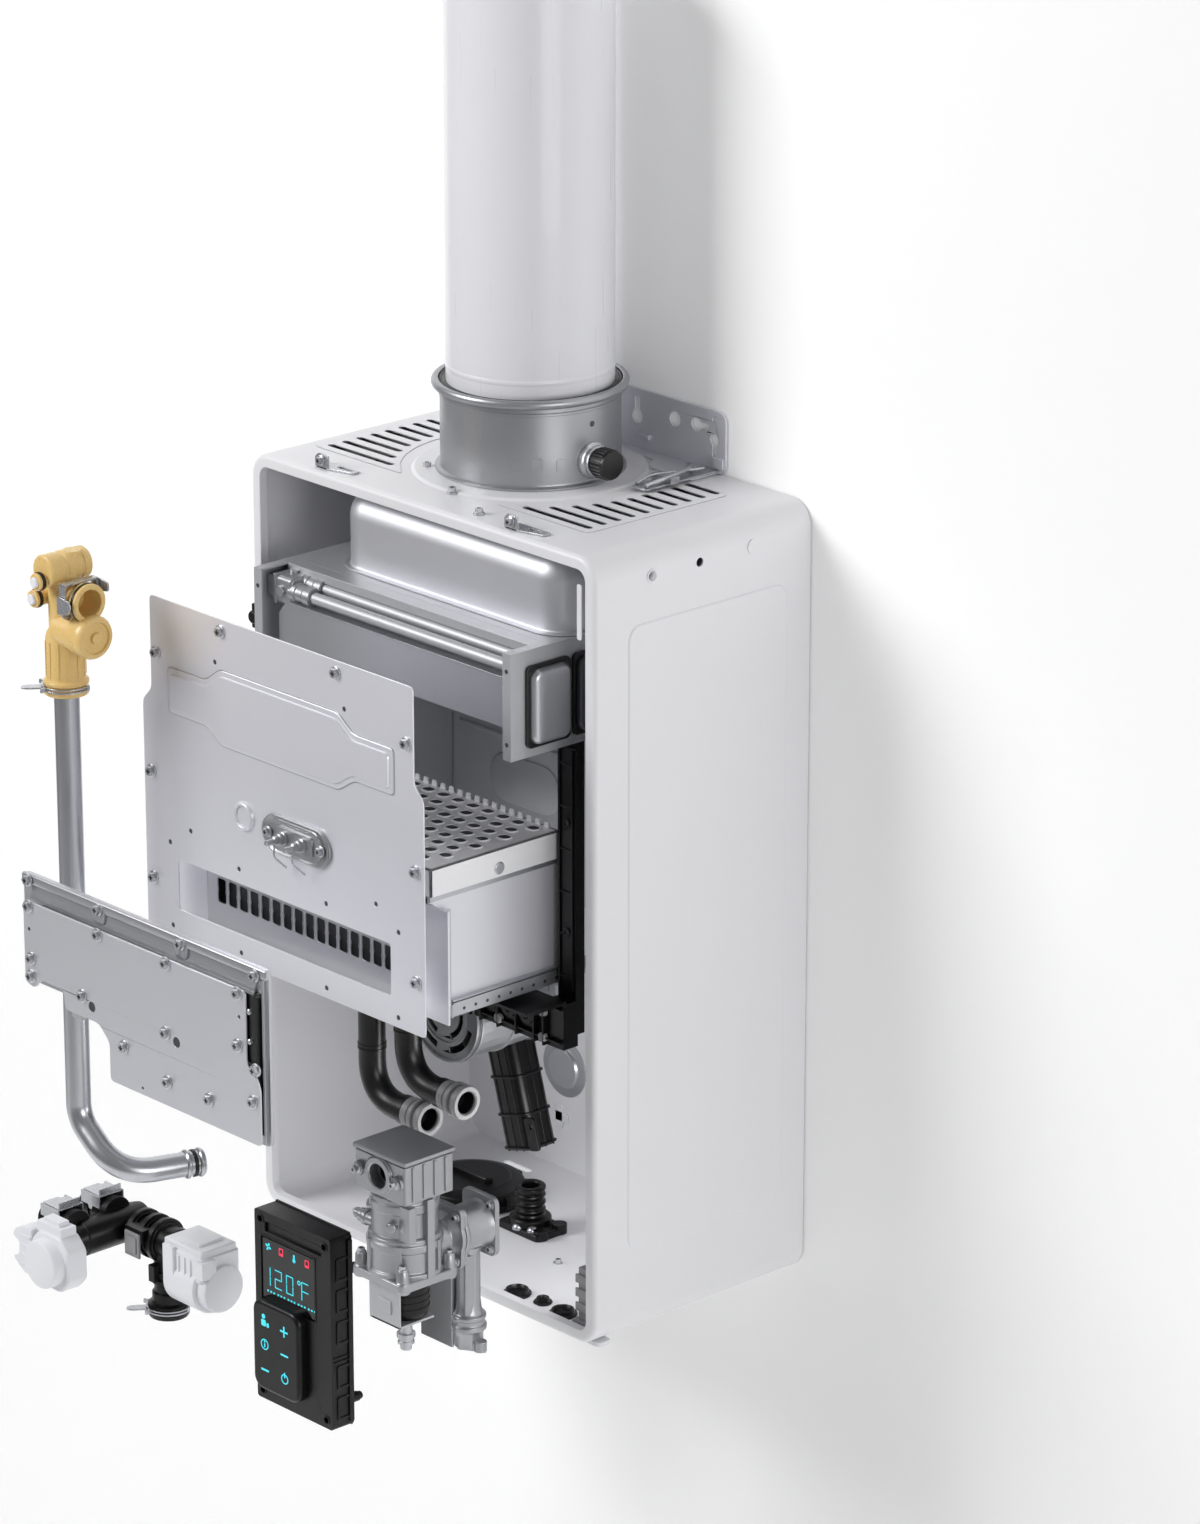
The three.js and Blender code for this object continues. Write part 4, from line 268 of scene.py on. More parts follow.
def tube(route, radius, bends, sides=24, steps=8):
    """A round tube along straight runs, with a bend of its own length at each inner point."""
    route = [Vector(point) for point in route]
    path = [route[0]]
    for i, bend in enumerate(bends, 1):
        before = route[i] + (route[i - 1] - route[i]).normalized() * bend
        after = route[i] + (route[i + 1] - route[i]).normalized() * bend
        for step in range(steps + 1):
            t = step / steps
            path.append(before * (1 - t) ** 2 + route[i] * 2 * t * (1 - t) + after * t ** 2)
    path.append(route[-1])
    rings = []
    across = (path[1] - path[0]).orthogonal().normalized()
    for i, point in enumerate(path):
        way = (path[min(i + 1, len(path) - 1)] - path[max(i - 1, 0)]).normalized()
        across = (across - way * across.dot(way)).normalized()
        beside = way.cross(across)
        ring = []
        for k in range(sides):
            angle = math.tau * k / sides
            out = across * math.cos(angle) + beside * math.sin(angle)
            ring.append(tuple(point + out * radius))
        rings.append(ring)
    return loft(rings)


def moved(shape, shift=(0, 0, 0), turn=0, axis="Z"):
    """A shape turned about the foot's axis by an angle, then shifted."""
    matrix = Matrix.Translation(shift) @ Matrix.Rotation(turn, 4, axis)
    return [tuple(matrix @ Vector(point)) for point in shape[0]], shape[1]


# Pieces


def mesh_of(name, shapes):
    build = bmesh.new()
    for points, faces in shapes:
        made = [build.verts.new((Vector(point) + FOOT) * MM) for point in points]
        for face in faces:
            if len(set(face)) > 2:
                build.faces.new([made[i] for i in face])
    bmesh.ops.recalc_face_normals(build, faces=build.faces)
    mesh = bpy.data.meshes.new(name)
    build.to_mesh(mesh)
    build.free()
    mesh.polygons.foreach_set("use_smooth", [True] * len(mesh.polygons))
    return mesh


def shown(name, mesh):
    piece = bpy.data.objects.new(name, mesh)
    bpy.context.scene.collection.objects.link(piece)
    return piece


def solid(name, shapes, material, body, replaces=(), bevel=None, cuts=()):
    """One piece from its shapes, with rounded edges, riding on a body of the frame."""
    piece = shown(name, mesh_of(name, shapes))
    if cuts:
        cutter = shown(name + "_cutter", mesh_of(name + "_cutter", cuts))
        carve = piece.modifiers.new("Cut", "BOOLEAN")
        carve.object = cutter
        carve.solver = "EXACT"
        graph = bpy.context.evaluated_depsgraph_get()
        piece.data = bpy.data.meshes.new_from_object(piece.evaluated_get(graph))
        piece.modifiers.clear()
        bpy.data.objects.remove(cutter)
        piece.data.name = name
    piece.data.materials.append(material)
    soft = size("edge_round") if bevel is None else bevel
    if soft:
        round_off = piece.modifiers.new("Round", "BEVEL")
        round_off.width = soft * MM
        round_off.segments = 2
        round_off.limit_method = "ANGLE"
        round_off.angle_limit = math.radians(32)
        round_off.harden_normals = True
        round_off.use_clamp_overlap = False
    else:
        piece.data.set_sharp_from_angle(angle=math.radians(32))
        flats = piece.modifiers.new("Flats", "WEIGHTED_NORMAL")
        flats.keep_sharp = True
    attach(piece, body)
    if replaces:
        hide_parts(*replaces)
    return piece


def dress(material, *nodes):
    """Gives nodes of the frame a material."""
    for node in nodes:
        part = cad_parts[node]
        part.data.materials.clear()
        part.data.materials.append(material)


def screws(name, facing, places, front, depth, body, radius=None):
    """Hexagon screws with a flange and a painted-shade cross on the head, facing the viewer or up.
    """
    flange = radius or size("screw_radius")
    sign = -1 if facing == "y" else 1
    heads, cross_shades = [], []
    for u, v in places:
        top = front + sign * depth
        heads.append(turned(facing, [(0, front), (flange, front),
            (flange, front + sign * depth * 0.25), (flange * 0.78, front + sign * depth * 0.4),
            (0, front + sign * depth * 0.4)], (u, v), 24))
        hexagon = circle((u, v), flange * 0.74, 6)
        heads.append(slab(facing, hexagon, sorted((front + sign * depth * 0.3, top))))
        # The cross is a thin dark slab across the head's top: painted shade standing for the
        # recess.
        half, thin, deep = flange * 0.36, flange * 0.13, flange * 0.03
        for long_u in (True, False):
            du, dv = (half, thin) if long_u else (thin, half)
            cross_shades.append(slab(facing, [(u - du, v - dv), (u + du, v - dv), (u + du, v + dv),
                (u - du, v + dv)], sorted((top - sign * deep, top + sign * deep))))
    solid(name, heads, zinc_screw_steel(), body, bevel=0.3)
    solid(name + "_cross_shade", cross_shades, painted_shade_steel(), body, bevel=0)


# Materials


def add_node(tree, kind, settings=None, inputs=None):
    """Adds a node, sets its properties, and fills its inputs with values or outputs."""
    made = tree.nodes.new(kind)
    for key, value in (settings or {}).items():
        setattr(made, key, value)
    for key, value in (inputs or {}).items():
        if isinstance(value, bpy.types.NodeSocket):
            tree.links.new(value, made.inputs[key])
        else:
            made.inputs[key].default_value = value
    return made


def surface(name, colour, roughness, metallic=0.0, patch=60.0, tone=0.06, gloss=0.06, grain=0.8,
        stretch=(1, 1, 1), relief=0.01, **sockets):
    """A named material: its colour drifts in soft patches, its gloss varies, its grain has relief.

    Patch and grain are sizes in millimetres, relief is a height in millimetres, and tone and
    gloss are how far colour and roughness drift either way."""
    if name in bpy.data.materials:
        return bpy.data.materials[name]
    material = bpy.data.materials.new(name)
    material.use_nodes = True
    tree = material.node_tree
    tree.nodes.clear()
    spot = add_node(tree, "ShaderNodeTexCoord").outputs["Object"]
    lay = add_node(tree, "ShaderNodeMapping", inputs={"Vector": spot, "Scale": stretch})
    drift = add_node(tree, "ShaderNodeTexNoise", inputs={"Vector": spot, "Scale": 1 / (patch * MM),
        "Detail": 3.0, "Roughness": 0.55})
    fine = add_node(tree, "ShaderNodeTexNoise",
        inputs={"Vector": lay.outputs["Vector"], "Scale": 1 / (grain * MM), "Detail": 2.0,
        "Roughness": 0.6})
    low = tuple(c * (1 - tone) for c in colour) + (1,)
    high = tuple(min(c * (1 + tone), 1) for c in colour) + (1,)
    blend = add_node(tree, "ShaderNodeMix", {"data_type": "RGBA"},
        {"Factor": drift.outputs["Fac"], "A": low, "B": high})
    shine = add_node(tree, "ShaderNodeMapRange",
        inputs={"Value": fine.outputs["Fac"], "From Min": 0.3, "From Max": 0.7,
        "To Min": max(roughness - gloss, 0.03), "To Max": min(roughness + gloss, 1)})
    bump = add_node(tree, "ShaderNodeBump", inputs={"Height": fine.outputs["Fac"], "Strength": 0.3,
        "Distance": relief * MM})
    shader = add_node(tree, "ShaderNodeBsdfPrincipled",
        inputs={"Base Color": blend.outputs["Result"], "Roughness": shine.outputs["Result"],
        "Metallic": metallic, "Normal": bump.outputs["Normal"], **sockets})
    add_node(tree, "ShaderNodeOutputMaterial", inputs={"Surface": shader.outputs["BSDF"]})
    return material


# Powder-coated steel, baked: an even white skin with a faint orange peel a couple of
# millimetres across and a soft sheen.
def powder_coated_steel():
    return surface("powder_coated_steel", colours().enamel, 0.36, tone=0.012, grain=2.4,
        relief=0.02, patch=120, gloss=0.03)


# Extruded polypropylene: smooth, a little waxy, with faint lines along the draw.
def extruded_polypropylene():
    return surface("extruded_polypropylene", colours().vent, 0.3, tone=0.012, grain=5,
        stretch=(1, 1, 0.05), relief=0.01, gloss=0.03, **{"Coat Weight": 0.15})


# Hot-dip galvanised sheet: dull grey metal, clouded in patches of a few centimetres.
def galvanised_sheet():
    return surface("galvanised_sheet", colours().zinc, 0.48, 0.6, patch=22, tone=0.05, grain=1.2,
        relief=0.004, gloss=0.04)


# Stainless sheet with a satin rolled finish: fine lines along the cabinet's width.
def satin_stainless_sheet():
    return surface("satin_stainless_sheet", colours().stainless, 0.34, 0.85, patch=50, tone=0.03,
        grain=1.2, stretch=(0.04, 1, 1), relief=0.002, gloss=0.025)


# Deep-drawn stainless sheet: an even, soft grey with one broad bright line along its
# rounded edge.
def deep_drawn_steel():
    return surface("deep_drawn_steel", colours().hood, 0.48, 0.9, patch=70, tone=0.03, grain=1.2,
        relief=0.0005, gloss=0.01)


# Rolled steel of the flue collar: darker than the sheet, with a soft sheen round the drum.
def rolled_collar_steel():
    return surface("rolled_collar_steel", colours().collar, 0.36, 0.7, patch=40, tone=0.04,
        grain=1.2, stretch=(1, 1, 0.2), relief=0.003, gloss=0.03)


# Drawn stainless tube: a soft satin, with faint lines along its length.
def drawn_stainless_tube():
    return surface("drawn_stainless_tube", colours().bright, 0.3, 0.95, tone=0.03, grain=1.2,
        stretch=(1, 1, 0.05), relief=0.002, gloss=0.02)


# Spring steel strip, rolled bright.
def spring_steel():
    return surface("spring_steel", colours().bright, 0.28, 0.8, patch=12, tone=0.05, grain=0.9,
        relief=0.002, gloss=0.03)


# Zinc-plated screws: bright and a little uneven.
def zinc_screw_steel():
    return surface("zinc_screw_steel", colours().bright, 0.32, 0.9, patch=6, tone=0.08, grain=0.8,
        relief=0.003, gloss=0.04)


# Pressed aluminised steel plate: an even satin grey with a very fine tooth.
def pressed_plate():
    return surface("pressed_plate", colours().plate, 0.4, 0.5, patch=90, tone=0.02, grain=1.0,
        relief=0.003, gloss=0.02)


# The gas cover's rolled steel sheet: a little more metallic than the pressed plate.
def rolled_cover_sheet():
    return surface("rolled_cover_sheet", colours().gas_sheet, 0.37, 0.72, patch=90, tone=0.03,
        grain=1.2, stretch=(0.05, 1, 1), relief=0.002, gloss=0.02)


# Die-cast aluminium as it leaves the die: matt grey with a sandy skin.
def die_cast_aluminium():
    return surface("die_cast_aluminium", colours().casting, 0.36, 0.8, patch=18, tone=0.05,
        grain=1.1, relief=0.03, gloss=0.05)


# Aluminised steel sheet round the flame: pale, matt and slightly clouded.
def aluminised_sheet():
    return surface("aluminised_sheet", colours().lining, 0.5, 0.3, patch=45, tone=0.05, grain=1.4,
        relief=0.004, gloss=0.04)


# The burner deck's folded sheet: pale and clean, almost white where light falls on it.
def fired_deck_steel():
    return surface("fired_deck_steel", colours().deck, 0.42, 0.15, patch=40, tone=0.04, grain=1.2,
        relief=0.004, gloss=0.04)


# Dark steel used as painted shade: plugs in holes and bores, crosses in screw heads,
# cells in the burner deck, and the rear header cover, darkened as painted shade.
def painted_shade_steel():
    return surface("painted_shade_steel", colours().dark_steel, 0.42, 0.7, patch=40, tone=0.14,
        grain=1.2, relief=0.01)


# Moulded EPDM rubber: near black, with a dull bloom.
def moulded_rubber():
    return surface("moulded_rubber", colours().rubber, 0.34, patch=30, tone=0.15, grain=1.1,
        relief=0.012, gloss=0.05)


# Glass-filled nylon, moulded: black with a fine spark-eroded texture.
def moulded_nylon():
    return surface("moulded_nylon", colours().nylon, 0.34, patch=30, tone=0.1, grain=0.9,
        relief=0.012, gloss=0.05, **{"Specular IOR Level": 0.35})


# Moulded polysulfone: cream, slightly see-through, glossy.
def moulded_polysulfone():
    return surface("moulded_polysulfone", colours().cream, 0.3, patch=25, tone=0.05, grain=1.5,
        relief=0.01, **{"Subsurface Weight": 0.15, "Subsurface Scale": 2 * MM})


# Moulded PBT: white with a soft eggshell sheen.
def moulded_pbt():
    return surface("moulded_pbt", colours().white, 0.42, patch=40, tone=0.015, grain=0.9,
        relief=0.012, gloss=0.04)


# Grey polypropylene, moulded.
def grey_polypropylene():
    return surface("grey_polypropylene", colours().grey, 0.4, patch=20, tone=0.06, grain=0.9,
        relief=0.012)


# Smoked acrylic window: near black and highly polished.
def smoked_acrylic():
    return surface("smoked_acrylic", linear(0x0B0D10), 0.08, patch=80, tone=0.02, gloss=0.02,
        grain=4, relief=0.001, IOR=1.49)


# Lit display segments behind the window.
def lit_segment(name, colour, strength):
    return surface(name, colour, 0.4, tone=0.02, grain=1, relief=0.001,
        **{"Emission Color": (*colour, 1), "Emission Strength": strength})


def lit_blue():
    return lit_segment("lit_blue", colours().screen_blue, 0.75)


def lit_red():
    return lit_segment("lit_red", colours().screen_red, 0.75)


def add_light(name, place, aim, width, height, power):
    lamp = bpy.data.lights.new(name, "AREA")
    lamp.shape = "RECTANGLE"
    lamp.size = width
    lamp.size_y = height
    lamp.energy = power
    light = bpy.data.objects.new(name, lamp)
    light.location = place
    light.rotation_euler = (Vector(aim) - Vector(place)).to_track_quat("-Z", "Y").to_euler()
    light.visible_camera = False
    bpy.context.scene.collection.objects.link(light)


def backdrop_material():
    """White paint that the camera sees lit up, so that it is pale but keeps shadows."""
    if "backdrop_paint" in bpy.data.materials:
        return bpy.data.materials["backdrop_paint"]
    material = bpy.data.materials.new("backdrop_paint")
    material.use_nodes = True
    tree = material.node_tree
    tree.nodes.clear()
    rays = add_node(tree, "ShaderNodeLightPath")
    seen = add_node(tree, "ShaderNodeMath", {"operation": "MAXIMUM"},
        {0: rays.outputs["Is Camera Ray"], 1: rays.outputs["Is Glossy Ray"]})
    seen = add_node(tree, "ShaderNodeMath", {"operation": "MAXIMUM"},
        {0: seen.outputs[0], 1: rays.outputs["Is Transmission Ray"]})
    glow_share = 0.07
    share = add_node(tree, "ShaderNodeMath", {"operation": "MULTIPLY"},
        {0: seen.outputs[0], 1: glow_share})
    white = (*colours().backdrop, 1)
    paint = add_node(tree, "ShaderNodeBsdfDiffuse", inputs={"Color": white})
    glow = add_node(tree, "ShaderNodeEmission",
        inputs={"Color": white, "Strength": share.outputs[0]})
    mix = add_node(tree, "ShaderNodeAddShader", inputs={0: paint.outputs[0], 1: glow.outputs[0]})
    clear = add_node(tree, "ShaderNodeBsdfTransparent")
    side = add_node(tree, "ShaderNodeNewGeometry")
    both = add_node(tree, "ShaderNodeMixShader",
        inputs={0: side.outputs["Backfacing"], 1: mix.outputs[0], 2: clear.outputs[0]})
    add_node(tree, "ShaderNodeOutputMaterial", inputs={"Surface": both.outputs[0]})
    return material


def backdrop_sheet(name, corners):
    mesh = bpy.data.meshes.new(name)
    mesh.from_pydata(corners, [], [tuple(range(len(corners)))])
    sheet = shown(name, mesh)
    mesh.materials.append(backdrop_material())


def build_cabinet():
    enamel = powder_coated_steel()
    wide, deep, high = extent("cabinet_shell")
    rise, panel_rise, wall, lip, lip_return = 2, 1.2, 1.6, 12, 8
    side_hole, side_screw, side_lug = (-129, 679), (-183.5, 678.6), (-68, 680)
    x = (wide[0] + panel_rise, wide[1] - panel_rise)
    z = (high[0], high[1] - rise)
    front, corner, turn = deep[0], size("cabinet_corner"), size("front_round")
    arc = edge_arc(turn, front + turn, -1)
    profile = [(0, 0), *arc, (lip - 1.5, front), (lip - 0.4, front + 0.4), (lip, front + 1.5),
        (lip, front + lip_return), (lip - wall, front + lip_return), (lip - wall, front + wall),
        (wall, front + wall), (wall, -wall)]
    flue = [middle(pair) for pair in extent("flue_collar")]
    hole_radius = 66
    cuts = [rod("z", hole_radius, (z[1] - 9, z[1] + 9), flue[:2], 64),
        rod("x", 4, (x[1] - 9, x[1] + 9), side_hole, 24)]
    slots = []
    vent_count, pitch, width, reach, keep_out = 10, 16.2, 6.6, 168, 126
    for i in range(vent_count):
        y = -192 + i * pitch + width / 2
        away = min(y - width / 2 + 98, 0)
        inner = math.sqrt(keep_out ** 2 - away ** 2)
        for side in (-1, 1):
            ends = sorted((flue[0] + side * inner, flue[0] + side * reach))
            slots.append(rounded(ends, (y - width / 2, y + width / 2), width / 2 - 0.1, 5))
            ends = (ends[0] - 2, ends[1] + 2)
            under = rounded(ends, (y - width / 2 - 2.5, y + width / 2 + 2.5), width / 2, 5)
            cuts.append(slab("z", under, (z[1] - 9, z[1] + 9)))
    for node in ("floor_grommet_1", "floor_grommet_2", "floor_grommet_3"):
        spot = extent(node)
        cuts.append(rod("z", length(spot[0]) / 2 - 2.7, (-5, 8),
            (middle(spot[0]), middle(spot[1])), 32))
    floor_slot = rounded((-139, -104), (-33, -26), 3)
    cuts.append(slab("z", floor_slot, (-5, 8)))
    solid("cabinet", [drawn("y", x, z, corner, profile, 10)], enamel, "heater",
        ["cabinet_shell"], bevel=0, cuts=cuts)

    panel_y, panel_z = (front + 38, -27), (78, z[1] - 65)
    step = [(0, 0), (0.3, 0.5), (1.2, 1.0), (2.4, panel_rise)]
    panels = []
    for sign, face in ((1, x[1]), (-1, x[0])):
        profile = [(0, face - sign * 0.6)] + [(a, face + sign * b) for a, b in step]
        panels.append(drawn("x", panel_y, panel_z, 14, profile, 8))
    seat = [(hole_radius, z[1] - 0.5), (hole_radius, z[1] + rise), (99, z[1] + rise),
        (100.4, z[1] + rise - 0.5), (101, z[1] + 0.8), (102.5, z[1]), (102.5, z[1] - 0.5)]
    panels.append(turned("z", seat, flue[:2], 96))
    solid("cabinet_embosses", panels, enamel, "heater", bevel=0)

    pads = []
    for side in (-1, 1):
        outline = []
        span = (-200, -38)
        for step in range(9):
            y = span[0] + (span[1] - span[0]) * step / 8
            near = math.sqrt(118 ** 2 - min(y + 98, 0) ** 2)
            outline.append((flue[0] + side * near, y))
        outline += [(flue[0] + side * 176, span[1]), (flue[0] + side * 176, span[0])]
        mine = [slot for slot in slots if (slot[0][0] - flue[0]) * side > 0]
        pads.append(slab("z", softened(outline, 7, 5), (z[1] - 0.1, z[1] + 0.5), mine))
    solid("vent_pads", pads, enamel, "heater", bevel=0.3)
    # Black sheets under the vent slots: painted shade that makes the slots read dark.
    shade_sheets = [box(sorted((flue[0] + side * 118, flue[0] + side * 178)), (-202, -36),
        (z[1] - 6, z[1] - 5)) for side in (-1, 1)]
    solid("vent_shade_sheets", shade_sheets, moulded_nylon(), "heater", bevel=0)

    trims = [turned("x", [(0, 219.5), (3.6, 219.5), (3.6, 222), (2.6, 223), (0, 223)], side_screw,
        20)]
    solid("side_screw", trims, zinc_screw_steel(), "heater", bevel=0)
    washer = [pipe("x", 6, 4.2, (219.8, 220.8), side_screw, 32)]
    half = [(u, v) for u, v in circle(side_lug, 6.5, 24) if u <= side_lug[0] + 0.1]
    washer.append(slab("x", half, (219.8, 221)))
    solid("side_lugs", washer, enamel, "heater", bevel=0.3)
    tab = slab("y", rounded((199.5, 204.5), (633, 681), 1.5), (front - 1, front + 0.4))
    foot = slab("z", rounded((196, 214), (-238, -222), 4), (-3.4, 0.2))
    solid("cabinet_tabs", [tab, foot], enamel, "heater", bevel=0.4)

    steel = satin_stainless_sheet()
    disc = turned("y", [(0, -1.4), (28, -1.4), (28, -2.6), (20, -3.6), (18, -6), (0, -6)],
        (-87.5, 101), 64)
    cross = [slab("y", rounded((-107, -82), (47, 57), 3), (-3, -1.4)),
        slab("y", rounded((-99.5, -89.5), (40, 64), 3), (-3, -1.4))]
    solid("rear_disc", [disc], steel, "heater", bevel=0.4)
    solid("rear_boss", cross, enamel, "heater", bevel=0.6)
    block = [box((178, 198), (-236, -214), (1.6, 12)), box((182, 196), (-232, -216), (12, 60))]
    for i in range(3):
        block.append(box((180, 198), (-234, -232), (20 + i * 13, 28 + i * 13)))
    solid("terminal_block", block, grey_polypropylene(), "heater", bevel=0.6)
    screws("floor_bolts", "z", [(-60, -60), (-128, -208), (40, -70), (66, -150), (140, -60)], 1.6,
        4, "heater", 4)


def build_flue():
    wide, deep, high = extent("vent_pipe")
    centre = (middle(wide), middle(deep))
    radius, seat, top = 72.5, high[0], high[1]
    bore, bead = radius - 1.5, 799
    wall = [(bore, seat), (radius, seat), (radius, bead - 3), (radius + 0.35, bead - 2),
        (radius + 0.8, bead - 0.7), (radius + 0.8, bead + 0.7), (radius + 0.35, bead + 2),
        (radius, bead + 3), (radius, top), (bore, top)]
    solid("vent_pipe_shown", [turned("z", wall, centre, 128)], extruded_polypropylene(), "vent",
        ["vent_pipe"], bevel=0)

    foot, rim = extent("flue_collar")[2]
    low = rim - 8.5
    shell = [(74.2, foot), (82, foot), (82, foot + 1.6), (79.4, foot + 2), (78.2, foot + 3),
        (77.75, foot + 5), (77.75, low - 7), (78.5, low - 6.4), (78.5, low - 4.6),
        (77.75, low - 4), (77.75, low - 1), (80, low + 0.4)]
    for step in range(9):
        angle = -math.pi / 2 + step / 8 * math.pi * 1.15
        shell.append((81.6 + 3.4 * math.cos(angle), rim - 4 + 4 * math.sin(angle)))
    shell += [(79, rim - 1), (79, rim - 6.5), (74.2, rim - 6.5), (74.2, 730), (70.5, 730),
        (70.5, 728), (74.2, 728)]
    solid("flue_collar_shown", [turned("z", shell, centre, 128)], rolled_collar_steel(), "heater",
        ["flue_collar"], bevel=0)
    face = 77.75
    patches = []
    for degrees, high_z, half_u, half_v in ((-38, 730, 4.5, 5), (-23, 728, 4, 5),
            (-52, 729, 3.5, 5)):
        angle = math.radians(degrees)
        plate = slab("x", rounded((-half_u, half_u), (high_z - half_v, high_z + half_v), 1),
            (face - 0.6, face + 0.35))
        patches.append(moved(plate, (centre[0], centre[1], 0), angle))
    solid("collar_marks", patches, rolled_collar_steel(), "heater", bevel=0.3)
    # A dark disc on the collar standing for a hole: painted shade.
    hole = rod("x", 2.6, (face - 1, face + 0.15), (0, 760), 24)
    solid("collar_hole_shade", [moved(hole, (centre[0], centre[1], 0))], painted_shade_steel(), "heater",
        bevel=0)
    screws("seat_screws", "z", [(-73.2, -173.1), (-3.1, -206.4), (57.8, -230.0)], 705, 5.5,
        "heater", 5)

    high = extent("collar_seal")[2]
    ribs = [(72.8, high[0]), (78.7, high[0]), (78.7, high[1] - 1), (77.6, high[1]),
        (76.5, high[1] - 0.8), (75.2, high[1]), (74, high[1] - 0.4), (72.8, high[1] - 0.6)]
    solid("seal_lips", [turned("z", ribs, centre, 96)], moulded_rubber(), "heater",
        ["collar_seal"], bevel=0)

    wide, _, high = extent("test_port")
    axis = (centre[1], middle(high))
    root = centre[0] + face - 1.5
    steps = [(7, root), (16, root), (16, root + 3.4), (15, root + 4.6), (13.4, root + 5.2),
        (12.6, root + 6.4), (13.6, root + 7.4), (13.6, root + 9), (12.4, root + 9.8),
        (10.5, root + 10.2), (10.5, wide[1]), (7, wide[1])]
    solid("test_port_shown", [turned("x", steps, axis, 64)], spring_steel(), "heater",
        ["test_port"], bevel=0.2)
    wide = extent("test_port_cap")[0]
    cap = [turned("x", [(10.8, wide[0]), (13, wide[0]), (13, wide[1] - 2), (12.4, wide[1] - 0.7),
        (11, wide[1]), (0, wide[1]), (0, wide[1] - 2), (10.8, wide[1] - 2)], axis, 48)]
    for i in range(24):
        angle = math.tau * i / 24
        spot = (axis[0] + 12.7 * math.cos(angle), axis[1] + 12.7 * math.sin(angle))
        cap.append(rod("x", 0.9, (wide[0] + 1.5, wide[1] - 3), spot, 8))
    solid("test_cap_shown", cap, moulded_rubber(), "port_cap", ["test_port_cap"],
        bevel=0)


def build_bracket():
    wide, _, (low, top) = extent("wall_bracket")
    half, centre = length(wide) / 2, middle(wide)
    height = top - low
    holes = []
    for side in (-1, 1):
        for across, up, radius in ((0.53, 0.68, 0.12), (0.895, 0.86, 0.045)):
            holes.append(circle((centre + side * across * half, low + up * height),
                radius * height, 28))
        sideways = 0 if side > 0 else math.pi
        for across, up, big, small, reach, heading in ((0.175, 0.55, 0.115, 0.05, 0.2,
                math.pi / 2), (0.73, 0.7, 0.115, 0.05, 0.16, sideways),
                (0.895, 0.53, 0.095, 0.04, 0.18, -math.pi / 2)):
            u, v = centre + side * across * half, low + up * height
            mouth = math.asin(small / big)
            keyhole = []
            for step in range(25):
                angle = heading + mouth + step / 24 * (math.tau - 2 * mouth)
                keyhole.append((u + big * height * math.cos(angle),
                    v + big * height * math.sin(angle)))
            along = Vector((math.cos(heading), math.sin(heading)))
            beside = Vector((along.y, -along.x)) * small * height
            tip = Vector((u, v)) + along * (big + reach) * height
            keyhole += [tuple(tip + beside), tuple(tip - beside)]
            holes.append(keyhole)
    plate = slab("y", rounded(wide, (low, top), 9, 8), (-2, 0), holes)
    flange = slab("z", softened([(wide[0] + 9, -34), (centre - 72, -34), (centre - 58, -14),
        (centre + 58, -14), (centre + 72, -34), (wide[1] - 9, -34), (wide[1] - 9, 0),
        (wide[0] + 9, 0)], 5), (low, low + 2))
    clasps = [box((centre + 26, centre + 40), (-5, -2), (low + 12, low + 16)),
        box((wide[1] - 14, wide[1] - 2), (-4, -2), (low + 5, low + 14))]
    solid("wall_bracket_shown", [plate, flange, *clasps], pressed_plate(), "heater",
        ["wall_bracket"], bevel=0.35)

    wide, deep, high = extent("bracket_strap")
    shapes = [slab("z", rounded(wide, deep, 3), (high[0], high[0] + 1.8)),
        tube([(wide[1] - 3, deep[0] + 2, high[1] - 1.5), (wide[1] - 1, deep[0] + 20, high[1] + 1),
        (wide[0] + 8, deep[1] - 22, high[1] + 1), (wide[0] - 12, deep[1] - 8, high[0] + 2)], 2.2,
        (8, 8), 16), tube([(wide[0] + 2, deep[0] + 4, high[0] + 3),
        (wide[0] + 1, deep[0] + 22, high[1] + 1), (wide[0] + 14, deep[1] - 14, high[1])], 1.4,
        (6,), 12), box((wide[0] - 3, wide[1] + 3), (deep[0] + 26, deep[0] + 36),
        (high[0] + 1, high[1] + 1.5))]
    solid("bracket_catch", shapes, spring_steel(), "heater", ["bracket_strap"],
        bevel=0.3)

    for node in ("cover_clip_left", "cover_clip_right"):
        wide, deep, high = extent(node)
        body = wide[0] + 17
        base = high[0]
        foot = slab("z", softened([(wide[0], deep[0] + 4), (body, deep[0] + 4),
            (wide[1] - 10, deep[0] + 8), (wide[1], deep[0] + 10), (wide[1], deep[1]),
            (wide[0], deep[1])], 2), (base, base + 1.5),
            [rounded((body + 2, wide[1] - 5), (deep[1] - 7, deep[1] - 3), 1.8, 4)])
        tab = slab("y", softened([(wide[0], base), (body, base), (body, base + 9),
            (body - 4, high[1]), (wide[0] + 4, high[1]), (wide[0], base + 9)], 1.5),
            (deep[0] + 4, deep[0] + 5.5))
        gusset = box((wide[0], wide[0] + 1.5), (deep[0] + 5, deep[1]), (base, base + 6))
        solid(node + "_shown", [foot, tab, gusset], spring_steel(), "heater",
            [node], bevel=0.3)
        screws(node + "_screw", "y", [(wide[0] + 8.5, base + 7.2)], deep[0] + 4, 4.4, "heater",
            4.8)


